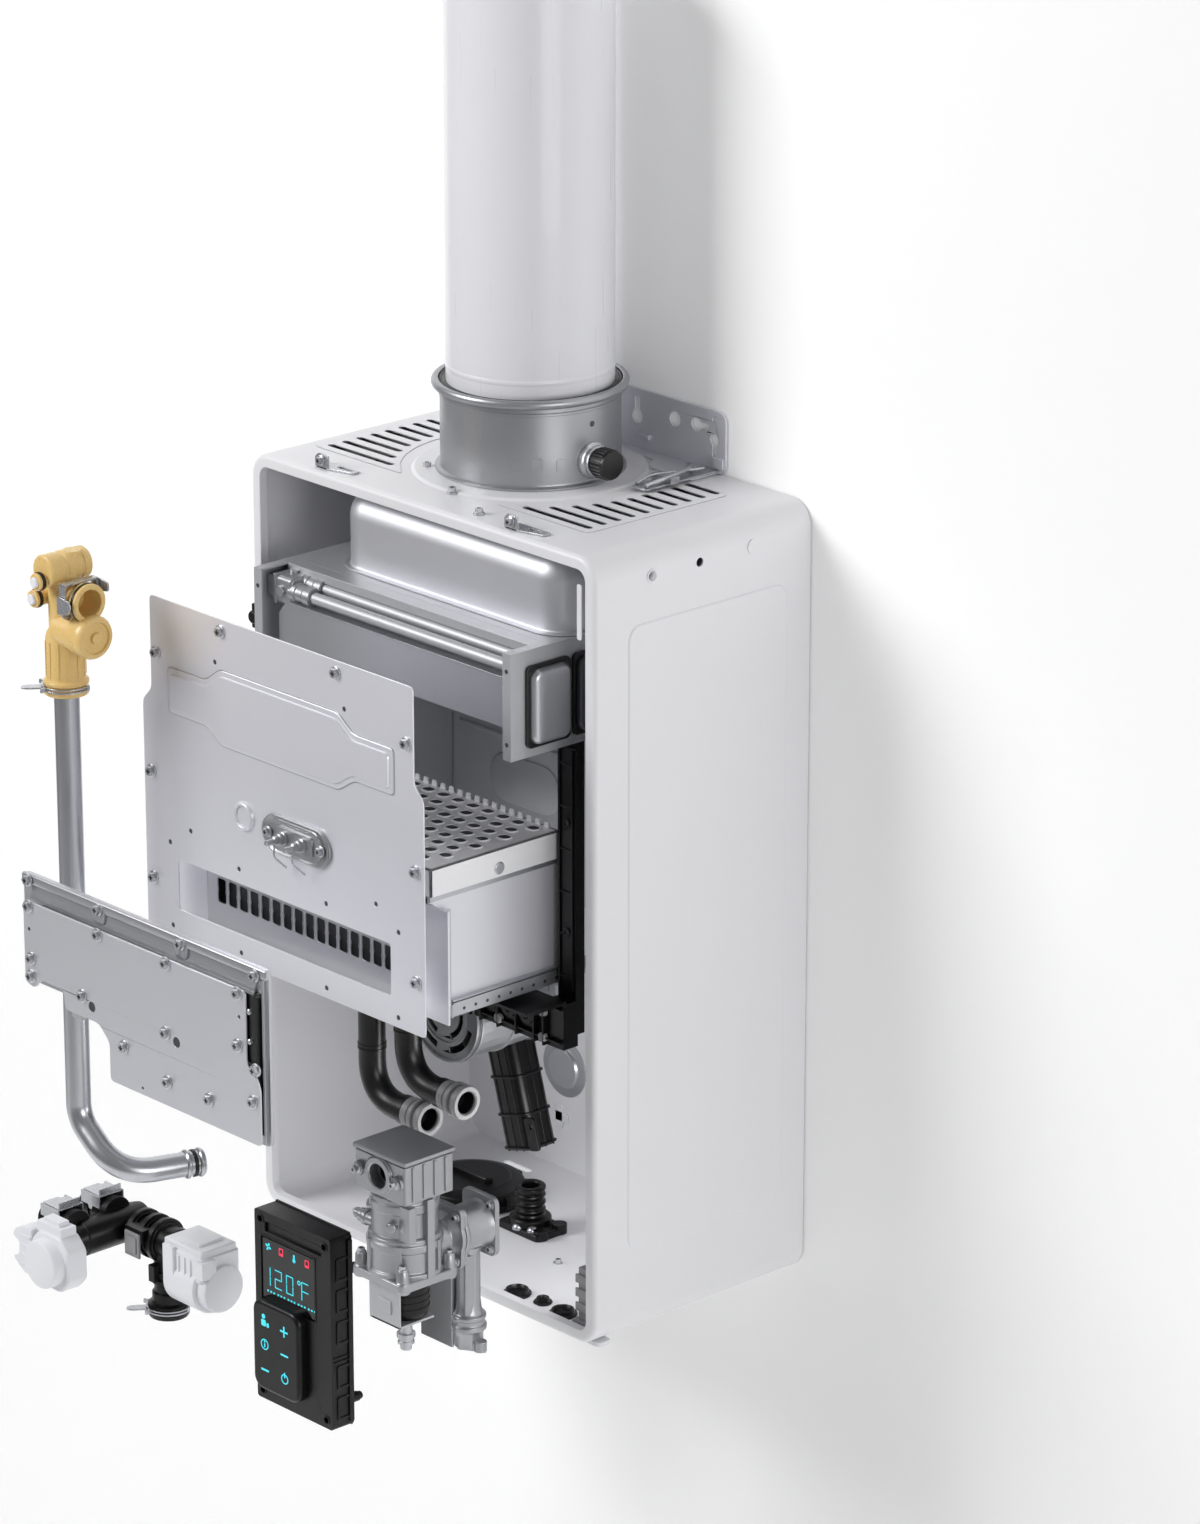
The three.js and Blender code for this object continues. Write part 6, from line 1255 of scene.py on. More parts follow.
def build_gas_cover():
    wide, deep, high = extent("gas_back_plate")
    half, low, top = length(wide) / 2, high[0], high[1]
    left_low, step_x, rim_low = 312, -42, top - 9
    face, rear = deep[1] - 3.5, deep[1]
    sheet = extent("gas_front_plate")
    front, thick, ceiling, right = sheet[1][0], 1.6, sheet[2][1] - 4, 144
    left, floor = sheet[0][0], sheet[2][0]

    back = softened([(-half, left_low), (step_x - 12, left_low), (step_x, left_low - 12),
        (step_x, low), (half, low), (half, top), (-half, top)], 6)
    tab = rounded((-100, -84), (left_low - 18, left_low + 4), 1.5)
    rim = drawn("y", (-half, half), (rim_low, top), 3,
        [(0, face + 0.4), (0, face - 1.4), (0.8, face - 2.4), (1.6, face - 2.6)], 6)
    channel = [(face + 0.5, rim_low + 1), (face - 0.4, rim_low), (face - 1.2, rim_low - 6),
        (face - 2.6, ceiling + 1.4), (face - 2.6, ceiling - 3), (face + 0.5, ceiling - 3)]
    right_edge = [(face + 0.5, right + 13), (face - 2, right + 13), (face - 3, right + 11.4),
        (face - 1, right + 9), (face + 0.5, right + 9)]
    side_lip = slab("z", [(u, y) for y, u in right_edge], (low + 2, rim_low))
    studs = [(-151, top - 5), (-56.5, top - 6), (52.4, top - 6), (147, top - 7)]
    lugs = [slab("y", rounded((x - 8, x + 8), (ceiling + 1, top - 2), 4, 5), (face - 3, face))
        for x, _ in studs[1:3]]
    solid("gas_back_shown", [slab("y", back, (face, rear)), slab("y", tab, (face, rear)), rim,
        slab("x", channel, (-half + 12, right + 2)), side_lip, *lugs], satin_stainless_sheet(),
        "gas_cover", ["gas_back_plate"], bevel=0.4)
    screws("gas_back_screws", "y", studs, face - 3, 4, "gas_cover")

    deep = extent("gas_gasket")[1]
    seal = softened([(left + 16, left_low + 14), (step_x + 14, left_low + 14),
        (step_x + 14, low + 8), (right + 9, low + 8), (right + 9, ceiling - 2),
        (left + 16, ceiling - 2)], 4)
    clamp = rod("y", 6, (front + 1, face), (146.5, 322), 28)
    solid("gas_gasket_shown", [slab("y", seal, (front + thick + 1.4, deep[1])), clamp],
        moulded_rubber(), "gas_cover", ["gas_gasket"], bevel=0.3)

    cover = softened([(left, left_low + 3), (-136, left_low), (-127, 322), (-97, 322), (-95, 305),
        (-50, 305), (-36, 292), (-36, floor + 1), (right + 17, floor + 1), (right + 17, 308),
        (right + 12, 318), (right, 326), (right, ceiling), (left, ceiling)], 5)
    holes = [circle((-58.8, 317.4), 4.6), circle((53.3, 318.4), 4.6), circle((6.9, 264), 1.4, 12),
        circle((135.2, 364.7), 1.8, 12), circle((-142, 364), 1.8, 12)]
    solid("gas_front_shown", [slab("y", cover, (front, front + thick), holes)],
        rolled_cover_sheet(), "gas_cover", ["gas_front_plate"], bevel=0.4)
    # Dark plugs in the sheet's holes: painted shade.
    shade_plugs = [slab("y", hole, (front + 0.9, front + thick + 0.4)) for hole in holes]
    solid("gas_cover_hole_shade", shade_plugs, painted_shade_steel(), "gas_cover", bevel=0)
    places = [(-141, 386), (-47.6, 385.8), (42, 385.7), (134.3, 386), (-139.3, 338.3),
        (-140, 322.2), (-70.9, 324), (39.7, 322.9), (-16.3, 293.9), (40.9, 279.6), (95.2, 280.3),
        (151.7, 295.1), (133.4, 339.4), (153.7, 323.2)]
    screws("gas_front_screws", "y", [(u, min(v, ceiling - 4)) for u, v in places[:-1]], front, 4,
        "gas_cover")
    screws("gas_clamp_screw", "y", places[-1:], front + 2.4, 5, "gas_cover")
    posts = [turned("y", [(0, face), (2.4, face), (2.4, front + 1), (1.6, front + 0.4),
        (0, front + 0.4)], (146.6, z), 20) for z in (372, 346)]
    solid("gas_posts", posts, zinc_screw_steel(), "gas_cover", bevel=0)
    pins = [turned("y", [(0, rear), (3.4, rear), (3.4, rear + 4), (2.4, rear + 5), (0, rear + 5)],
        (half - 10, z), 24) for z in (300, 275)]
    solid("gas_cover_pins", pins, moulded_nylon(), "gas_cover", bevel=0.3)


def build_outlet():
    cream, bright = moulded_polysulfone(), drawn_stainless_tube()
    axis = (-198, -472)
    x0, y0 = axis
    stem = [(11.3, 540), (19, 540), (19.5, 541), (19.5, 545), (18, 546), (18, 548.4),
        (19.5, 549.4), (19.5, 552), (18.6, 553), (17, 554), (16.6, 578), (17, 590), (16, 594),
        (13.5, 598), (13.5, 650), (0.4, 650), (0.4, 600), (11.3, 600)]
    shapes = [turned("z", stem, axis, 64)]
    for angle in range(0, 360, 30):
        fin = box((15.4, 17.6), (-0.7, 0.7), (556, 588))
        shapes.append(moved(fin, (x0, y0, 0), math.radians(angle)))
    z = 598
    plug = [(0, x0), (17, x0), (17, x0 + 22), (18.4, x0 + 23), (18.4, x0 + 32), (19, x0 + 33),
        (19, x0 + 40), (17.4, x0 + 42.6), (14, x0 + 43.4), (13.4, x0 + 41), (5, x0 + 41),
        (4.6, x0 + 44), (0, x0 + 44)]
    shapes.append(turned("x", plug, (y0, z), 56))
    z = 627
    port = [(0, x0), (13.5, x0), (13.5, x0 + 13), (17, x0 + 14), (17, x0 + 17.4), (13.5, x0 + 18),
        (13.5, x0 + 26.4), (16.4, x0 + 27), (17, x0 + 28), (17, x0 + 35), (16, x0 + 36),
        (12.8, x0 + 36), (12, x0 + 35), (12, x0 + 12), (0, x0 + 12)]
    shapes.append(turned("x", port, (y0, z), 64))
    z = 652
    head = [(0, y0 - 22), (12.6, y0 - 22), (14, y0 - 20.6), (14, y0 - 9), (13, y0 - 8),
        (13, y0 - 4), (14, y0 - 3), (14, y0 + 9), (13, y0 + 10), (13, y0 + 13), (14, y0 + 14),
        (14, y0 + 20.6), (12.6, y0 + 22), (0, y0 + 22)]
    shapes.append(turned("y", head, (x0, z), 56))
    shapes.append(turned("z", [(0, 648), (9, 648), (9, 664), (8, 665.6), (0, 665.6)],
        (x0 + 2, y0 + 8), 40))
    for spot, root, tip in (((x0, 644), y0 - 10, y0 - 30), ((x0 - 15, 624), y0, y0 - 22)):
        nozzle = [(0, root), (7, root), (7, tip + 3), (7.6, tip + 2.4), (7.6, tip + 0.6), (7, tip),
            (4.5, tip), (4.5, tip + 9), (0, tip + 9)]
        shapes.append(turned("y", nozzle, spot, 40))
    shapes.append(box((x0 - 15, x0), (y0 - 9, y0 - 1), (618, 630)))
    solid("outlet_tee_shown", shapes, cream, "outlet", ["outlet_tee"], bevel=0.4)
    rings, whites = [], []
    for spot, at in (((x0, 644), y0 - 27), ((x0 - 15, 624), y0 - 19)):
        rings.append(pipe("y", 8.2, 6.6, (at, at + 3), spot, 40))
        whites.append(turned("y", [(0, at - 1), (4.6, at - 1), (4.6, at - 5), (3.8, at - 5.6),
            (0, at - 5.6)], spot, 28))
    rings.append(pipe("x", 17.5, 16.2, (x0 + 30, x0 + 33), (y0, 627), 48))
    solid("outlet_seals", rings, moulded_rubber(), "outlet", bevel=0.4)
    solid("outlet_nipples", whites, moulded_pbt(), "outlet", bevel=0.4)

    knee, low, bends = 150, 112, (15, 34)
    corner, end = Vector((x0 + 52, y0, low)), Vector((x0 + 78, y0 + 73, low))
    shapes = [tube([(x0, y0, 566), (x0, y0, knee), corner, end], 11, bends, 48, 22)]
    way = (end - corner).normalized()
    turn = math.atan2(-way.x, way.y)
    for at in (-2.6, -14.5):
        bead = [(10.4, at - 2.4), (12.2, at - 1.8), (13, at - 0.6), (13, at + 0.6),
            (12.2, at + 1.8), (10.4, at + 2.4)]
        shapes.append(moved(turned("y", bead, (0, 0), 56), end, turn))
    lip = pipe("y", 11.4, 8.8, (-4, 0.6), (0, 0), 56)
    shapes.append(moved(lip, end, turn))
    solid("outlet_pipe_shown", shapes, bright, "outlet", ["outlet_pipe"], bevel=0)
    ring = turned("y", [(10.8, -10), (12.2, -9.4), (12.2, -6.8), (10.8, -6.2)], (0, 0), 48)
    solid("outlet_pipe_seal", [moved(ring, end, turn)], moulded_rubber(), "outlet",
        bevel=0)
    # A dark disc inside the pipe's end: painted shade in its bore.
    plug = moved(rod("y", 8.9, (-2, 0.2), (0, 0), 40), end, turn)
    solid("outlet_pipe_bore_shade", [plug], painted_shade_steel(), "outlet", bevel=0)

    solid("pipe_clip_shown", clip_shapes("pipe_clip", 20, -math.pi / 5, axis), spring_steel(),
        "outlet", ["pipe_clip"], bevel=0.3)
    wide, deep, high = extent("port_clip")
    shapes = [box((wide[0], wide[0] + 8), (deep[0] + 2, deep[0] + 4), (high[0], high[1] - 2)),
        box((wide[0], wide[0] + 8), (deep[1] - 4, deep[1] - 2), (high[0], high[1] - 2)),
        box((wide[0], wide[0] + 8), (deep[0] + 2, deep[1] - 2), (high[1] - 3, high[1] - 1)),
        slab("y", softened([(wide[0], high[0] - 1), (wide[1] - 2, high[0] + 2),
        (wide[1] + 1, high[0] + 9), (wide[1] - 3, high[0] + 14), (wide[0], high[0] + 15)], 2),
        (deep[0] - 0.6, deep[0] + 1)),
        slab("y", softened([(wide[0] + 2, high[1] - 14), (wide[1] + 2, high[1] - 12),
        (wide[1] + 2, high[1] - 4), (wide[0] + 2, high[1] - 2)], 2), (deep[1] - 1, deep[1] + 0.6)),
        slab("x", softened([(deep[0] + 2, high[0] - 4), (deep[0] + 9, high[0] - 8),
        (deep[0] + 12, high[0] - 4), (deep[0] + 8, high[0] + 2), (deep[0] + 2, high[0] + 4)], 1.5),
        (wide[0] + 3, wide[0] + 4.5))]
    solid("port_clip_shown", shapes, spring_steel(), "outlet", ["port_clip"],
        bevel=0.3)


def clip_shapes(node, radius, turn, centre):
    """A spring band open at the back, with ears at its ends and a bent tab."""
    low, high = extent(node)[2]
    thick, parts = 1.6, []
    inner, outer = radius - 0.2, radius + thick
    ring = []
    for rim in (outer, inner):
        row = []
        for step in range(41):
            angle = -math.pi * 1.32 + step / 40 * math.pi * 1.64
            row.append((rim * math.cos(angle), rim * math.sin(angle)))
        ring.append(row)
    parts.append(slab("z", ring[0] + ring[1][::-1], (low, low + 1.4)))
    parts.append(slab("z", ring[0] + ring[1][::-1], (high - 1.2, high)))
    for angle in (-math.pi * 1.32, math.pi * 0.32, -math.pi / 2 - 0.5, -math.pi / 2 + 0.5):
        post = box((inner, outer), (-2.4, 2.4), (low, high))
        parts.append(moved(post, (0, 0, 0), angle))
    tab = slab("z", softened([(-5, -inner), (5, -inner), (5, -outer - 12), (2.5, -outer - 17),
        (-2.5, -outer - 17), (-5, -outer - 12)], 1.5), (low + 0.5, low + 2))
    parts.append(tab)
    for sign in (-1, 1):
        ear = box((outer - 1, outer + 5), (-1, 1), (low, high))
        parts.append(moved(ear, (0, 0, 0), math.pi / 2 + sign * math.pi * 0.82))
    return [moved(part, (*centre, 0), turn) for part in parts]


def build_water():
    black, white, steel = moulded_nylon(), moulded_pbt(), spring_steel()
    x0, y0, z0 = -176.5, -395, 17.5
    leg_x, leg_z, reach = x0 - 51, z0 + 3, 78
    run = [(0, leg_x), (15, leg_x)]
    for share in (0.7, 0.39, 0.12):
        at = x0 - share * 51
        run += [(15, at - 1.6), (17.6, at - 1.2), (17.6, at), (20.5, at + 0.4), (20.5, at + 5.6),
            (17.6, at + 6), (17.6, at + 7.2), (15, at + 7.6)]
    run += [(15, x0 + 12), (16.4, x0 + 12.6), (16.4, x0 + 18), (0, x0 + 18)]
    shapes = [turned("x", run, (y0, z0), 56)]
    front, rear = y0 - reach, y0 + 16.5
    leg = [(0, front), (16.5, front), (16.5, front + 6), (15, front + 7), (15, front + 20),
        (16.5, front + 21), (16.5, rear - 12), (15, rear - 4), (10, rear), (0, rear)]
    shapes.append(turned("y", leg, (leg_x, leg_z), 56))
    tabs = []
    for share in (0.19, 0.77):
        y, z = y0 - share * reach, z0 + 15
        tip = leg_x - 38
        socket = [(0, leg_x), (15, leg_x), (15, tip + 20), (13.4, tip + 19.4), (13.4, tip + 15),
            (15, tip + 14.4), (15, tip + 1), (14, tip), (11.8, tip), (11, tip + 1), (11, tip + 14),
            (0, tip + 14)]
        shapes.append(turned("x", socket, (y, z), 48))
        a, b = leg_x - 34, leg_x - 8
        top = z + 15.4
        clip = [slab("z", softened([(a, y - 12), (b, y - 12), (b, y + 12), (a + 4, y + 12),
            (a + 4, y + 6), (a, y + 6)], 2), (top, top + 1.4)),
            box((a, b), (y - 14, y - 12.6), (top - 14, top + 1)),
            box((a, b), (y + 12.6, y + 14), (top - 14, top + 1)),
            box((b - 3, b - 1.4), (y - 12, y + 12), (top, top + 7))]
        tabs += clip
    drop = [(0, z0), (12.5, z0), (12.5, z0 - 25), (14, z0 - 26), (14, z0 - 30), (12.8, z0 - 31),
        (12.8, z0 - 33), (14.5, z0 - 34), (14.5, z0 - 38), (12.5, z0 - 39), (12.5, z0 - 46),
        (14.5, z0 - 47), (14.5, z0 - 56), (18.5, z0 - 58), (18.5, z0 - 68), (17.4, z0 - 70),
        (9, z0 - 70), (9, z0 - 52), (0, z0 - 52)]
    shapes.append(turned("z", drop, (x0, y0), 56))
    shapes += [box((x0 - 30, x0 - 6), (y0 - 23.5, y0 - 12), (z0 + 2, z0 + 13.5)),
        box((x0 - 34, x0 - 30), (y0 - 20, y0 - 10), (z0 - 12, z0 + 6)),
        box((x0 - 4, x0 + 4), (y0 - 19, y0 - 12), (z0 - 34, z0 - 18)),
        tube([(x0 + 11, y0 - 4, z0 - 36), (x0 + 20, y0 - 8, z0 - 36), (x0 + 22, y0 - 10, z0 - 30)],
        2, (3,), 12, 5)]
    solid("water_valve_shown", shapes, black, "water", ["water_valve"], bevel=0.5)
    solid("socket_clips", tabs, steel, "water", bevel=0.35)
    grey = [box((x0 - 28, x0 - 8), (y0 - 26, y0 - 23.4), (z0 - 13, z0 + 10)),
        box((x0 - 25, x0 - 11), (y0 - 27.4, y0 - 25.8), (z0 - 9, z0 + 6))]
    solid("run_tab", grey, grey_polypropylene(), "water", bevel=0.8)
    solid("drain_clip_shown", clip_shapes("drain_clip", 18.8, -math.pi / 5, (x0, y0)), steel,
        "water", ["drain_clip"], bevel=0.3)

    deep = extent("valve_motor_left")[1]
    x, z, rear = leg_x + 11, leg_z - 6, deep[1]
    cut, half = 12, 26
    octagon = [(x - half + cut, z - half), (x + half - cut, z - half), (x + half, z - half + cut),
        (x + half, z + half - cut), (x + half - cut, z + half), (x - half + cut, z + half),
        (x - half, z + half - cut), (x - half, z - half + cut)]
    body_front = rear - 22
    rings = []
    for shrink, along in ((0.96, rear), (1, rear - 1.5), (1, body_front + 2), (0.94, body_front)):
        rings.append([(x + (u - x) * shrink, along, z + (v - z) * shrink)
            for u, v in softened(octagon, 4)])
    lid = [(0, body_front + 1), (22, body_front + 1), (22, deep[0] + 2.4), (21.2, deep[0] + 0.8),
        (19.6, deep[0]), (0, deep[0])]
    shapes = [loft(rings), turned("y", lid, (x, z), 72),
        box((x - 20, x + 14), (body_front + 3, rear - 2), (z + half - 3, z + half + 7)),
        box((x - 14, x + 8), (body_front + 6, rear - 5), (z + half + 5, z + half + 11))]
    plug = slab("y", softened([(x - 25, z - 22), (x - 36, z - 22), (x - 47, z - 15),
        (x - 52, z - 10), (x - 43, z - 6), (x - 43, z + 6), (x - 52, z + 10), (x - 47, z + 18),
        (x - 36, z + 22), (x - 25, z + 22)], 2.5), (body_front, body_front + 17))
    rib = [box((x - 40, x - 26), (body_front - 1.4, body_front + 1), (z + a, z + a + 2))
        for a in (-14, -5, 4, 13)]
    solid("left_motor_shown", [*shapes, plug, *rib], white, "water",
        ["valve_motor_left"], bevel=0.4)

    start, end, z = extent("valve_motor_right")[0][0], x0 + 79, z0 - 21
    cap_low, cap_high = z0 - 13, z0 + 17
    cap = drawn("z", (start, start + 56), (y0 - 22, y0 + 22), 4,
        [(1.4, cap_low), (0, cap_low + 1.4), (0, cap_high - 7), (2, cap_high - 6),
        (2, cap_high - 1.2), (3.4, cap_high)], 5)
    body = [(0, start + 6), (24.6, start + 6), (26, start + 7.4), (26, end - 13.4),
        (24.6, end - 12), (0, end - 12)]
    lid = [(0, end - 13), (22, end - 13), (22, end - 2.4), (21.2, end - 0.8), (19.6, end),
        (0, end)]
    shapes = [cap, turned("x", body, (y0, z), 64), turned("x", lid, (y0, z), 72),
        box((start + 48, start + 60), (y0 - 24, y0 - 8), (cap_low + 6, cap_high - 8)),
        box((start + 6, start + 20), (y0 - 25, y0 - 21), (cap_low - 6, cap_high - 4)),
        drawn("z", (start + 14, start + 44), (y0 - 14, y0 + 14), 3,
        [(0, cap_high - 2), (0, cap_high + 1.4), (1, cap_high + 2.4)], 4)]
    shapes += [box((start + a, start + a + 2), (y0 - 23.4, y0 - 20), (cap_low + 2, cap_high - 10))
        for a in (24, 32, 40)]
    solid("right_motor_shown", shapes, white, "water", ["valve_motor_right"],
        bevel=0.4)


def build_panel():
    black = moulded_nylon()
    wide, deep, high = extent("panel_case")
    face, (left, right), (low, top) = deep[0], wide, high
    thick = 25
    corners = [(x, z) for x in (left + 8, right - 8) for z in (low + 8, top - 8)]
    glass = extent("panel_glass")
    window = rounded((glass[0][0] - 1, glass[0][1] + 1), (glass[2][0] - 1, glass[2][1] + 1), 1.5,
        4)
    slot = rounded((left + 14, left + 88), (top - 18, top - 9), 1, 3)
    outline = rounded(wide, high, 3, 5)
    cover = slab("y", outline, (face, face + 3),
        [window, slot, *[circle(c, 2.8, 24) for c in corners]])
    tray = slab("y", outline, (face + 2.4, face + thick - 1),
        [circle(c, 2.8, 24) for c in corners])
    lips = [pipe("y", 4.4, 2.9, (face - 0.7, face + 1), c, 28) for c in corners]
    lips.append(slab("y", rounded((glass[0][0] - 2.6, glass[0][1] + 2.6),
        (glass[2][0] - 2.6, glass[2][1] + 2.6), 2.5, 4), (face - 0.6, face + 1), [window]))
    for i in range(5):
        z = low + 8 + i * 29 + (12 if i > 1 else 0)
        frame_outer = rounded((face + 5.4, face + thick - 4), (z, z + 22), 2, 3)
        frame_inner = rounded((face + 8, face + thick - 6.6), (z + 2.6, z + 19.4), 1, 3)
        lips.append(slab("x", frame_outer, (right - 0.5, right + 1.1), [frame_inner]))
    for z in (low + 62, low + 66):
        lips.append(box((right - 0.5, right + 1), (face + 2, face + thick - 2), (z, z + 1.4)))
    lips.append(slab("x", rounded((face + thick - 7, face + thick - 2), (low + 4, top - 4), 1),
        (right - 0.5, right + 1.8)))
    flange = box((left + 2, right - 2), (face + thick - 3, face + thick - 0.6), (low - 1, top + 1))
    feet = []
    for x in (left + 20, right - 5):
        for z in (low + 22, top - 34):
            feet.append(turned("y", [(0, face + thick - 2), (4.5, face + thick - 2),
                (4.5, deep[1] - 4), (3.6, deep[1] - 3.6), (3.6, deep[1] - 1), (2.8, deep[1]),
                (0, deep[1])], (x, z), 28))
    solid("panel_case_shown", [cover, tray, *lips, flange, *feet], black, "panel",
        ["panel_case"], bevel=0.45)
    solid("panel_glass_shown",
        [drawn("y", glass[0], glass[2], 1.2, [(0, face + 2.3), (0, face + 0.5), (0.3, face + 0.3)],
        4)], smoked_acrylic(), "panel", ["panel_glass"], bevel=0)

    wide, deep, high = extent("panel_keypad")
    pad = drawn("y", wide, high, 12, [(0, face + 0.5), (0, deep[0] + 4), (0.7, deep[0] + 1.8),
        (2.2, deep[0] + 0.5), (4, deep[0])], 10)
    pad_front = deep[0]
    solid("panel_keypad_shown", [pad], black, "panel", ["panel_keypad"], bevel=0)

    blue, red = [], []
    deck = (face - 0.1, face + 0.25)
    row = glass[2][1] - 7
    span = glass[0][0] + 8
    for i, kind in enumerate(("fan", "bar", "drop", "bar")):
        u = span + i * 17
        if kind == "fan":
            for k in range(4):
                blade = slab("y", rounded((-0.9, 0.9), (0.8, 3.6), 0.6, 3), deck)
                blue.append(moved(moved(blade, (0, 0, 0), k * math.pi / 2 + 0.4, "Y"),
                    (u, 0, row)))
        elif kind == "drop":
            blue.append(slab("y", rounded((u - 1, u + 1), (row - 3.4, row + 3), 0.8), deck))
            blue.append(slab("y", circle((u, row - 2.6), 1.8, 20), deck))
        else:
            red.append(slab("y", rounded((u - 2.8, u + 2.8), (row - 3.6, row + 3.4), 0.8), deck,
                [rounded((u - 1.9, u + 1.9), (row - 1.4, row + 2.4), 0.4)]))
    base = glass[2][0] + 7
    for i in range(15):
        u = span - 2 + i * 4 + (i // 3) * 1.4
        blue.append(slab("y", rounded((u, u + 2), (base, base + 1.6), 0.3, 2), deck))
    blue.append(pipe("y", 2.1, 1.2, deck, (span + 40, base + 21), 24))
    digits = [(span, "1"), (span + 8, "2"), (span + 23, "0"), (span + 43, "F")]
    lit = {"1": "bc", "2": "abged", "0": "abcdef", "F": "aefg"}
    across, tall, stroke = 9.6, 17.5, 1.25
    for u, digit in digits:
        if digit == "1":
            u -= 7
        v = base + 6
        bars = {"a": ((u, u + across), (v + tall - stroke, v + tall)),
            "g": ((u, u + across), (v + tall / 2 - stroke / 2, v + tall / 2 + stroke / 2)),
            "d": ((u, u + across), (v, v + stroke)),
            "b": ((u + across - stroke, u + across), (v + tall / 2, v + tall)),
            "c": ((u + across - stroke, u + across), (v, v + tall / 2)),
            "f": ((u, u + stroke), (v + tall / 2, v + tall)),
            "e": ((u, u + stroke), (v, v + tall / 2))}
        for key in lit[digit]:
            a, b = bars[key]
            blue.append(slab("y", rounded((a[0] + 0.2, a[1] - 0.2), (b[0] + 0.2, b[1] - 0.2), 0.5,
                3), deck))
    deck = (pad_front - 0.25, pad_front + 0.1)
    columns, rows = (wide[0] + 17, wide[0] + 43), (high[1] - 18, high[1] - 40, high[0] + 20)
    u, v = columns[0], rows[0]
    blue += [slab("y", circle((u - 1, v + 4), 2.2, 20), deck),
        slab("y", rounded((u - 4, u + 2), (v - 5, v + 1), 1.2), deck),
        slab("y", rounded((u + 3, u + 6), (v - 5, v - 1), 0.8), deck)]
    u, v = columns[0], rows[1]
    blue += [pipe("y", 5, 4, deck, (u, v), 36),
        slab("y", rounded((u - 0.7, u + 0.7), (v - 2.6, v + 1), 0.4), deck),
        slab("y", circle((u, v + 2.6), 0.9, 14), deck)]
    u, v = columns[0], rows[2]
    blue.append(slab("y", rounded((u - 5, u + 5), (v - 0.9, v + 0.9), 0.6), deck))
    u, v = columns[1], rows[0] - 2
    blue += [slab("y", rounded((u - 5, u + 5), (v - 0.8, v + 0.8), 0.4), deck),
        slab("y", rounded((u - 0.8, u + 0.8), (v - 5, v + 5), 0.4), deck)]
    v = rows[1] - 2
    blue.append(slab("y", rounded((u - 5, u + 5), (v - 0.8, v + 0.8), 0.4), deck))
    v = rows[2]
    blue += [pipe("y", 4.6, 3.6, deck, (u, v), 36),
        slab("y", rounded((u - 0.7, u + 0.7), (v + 1, v + 6), 0.4), deck)]
    solid("panel_signs_blue", blue, lit_blue(), "panel", bevel=0)
    solid("panel_signs_red", red, lit_red(), "panel", bevel=0)


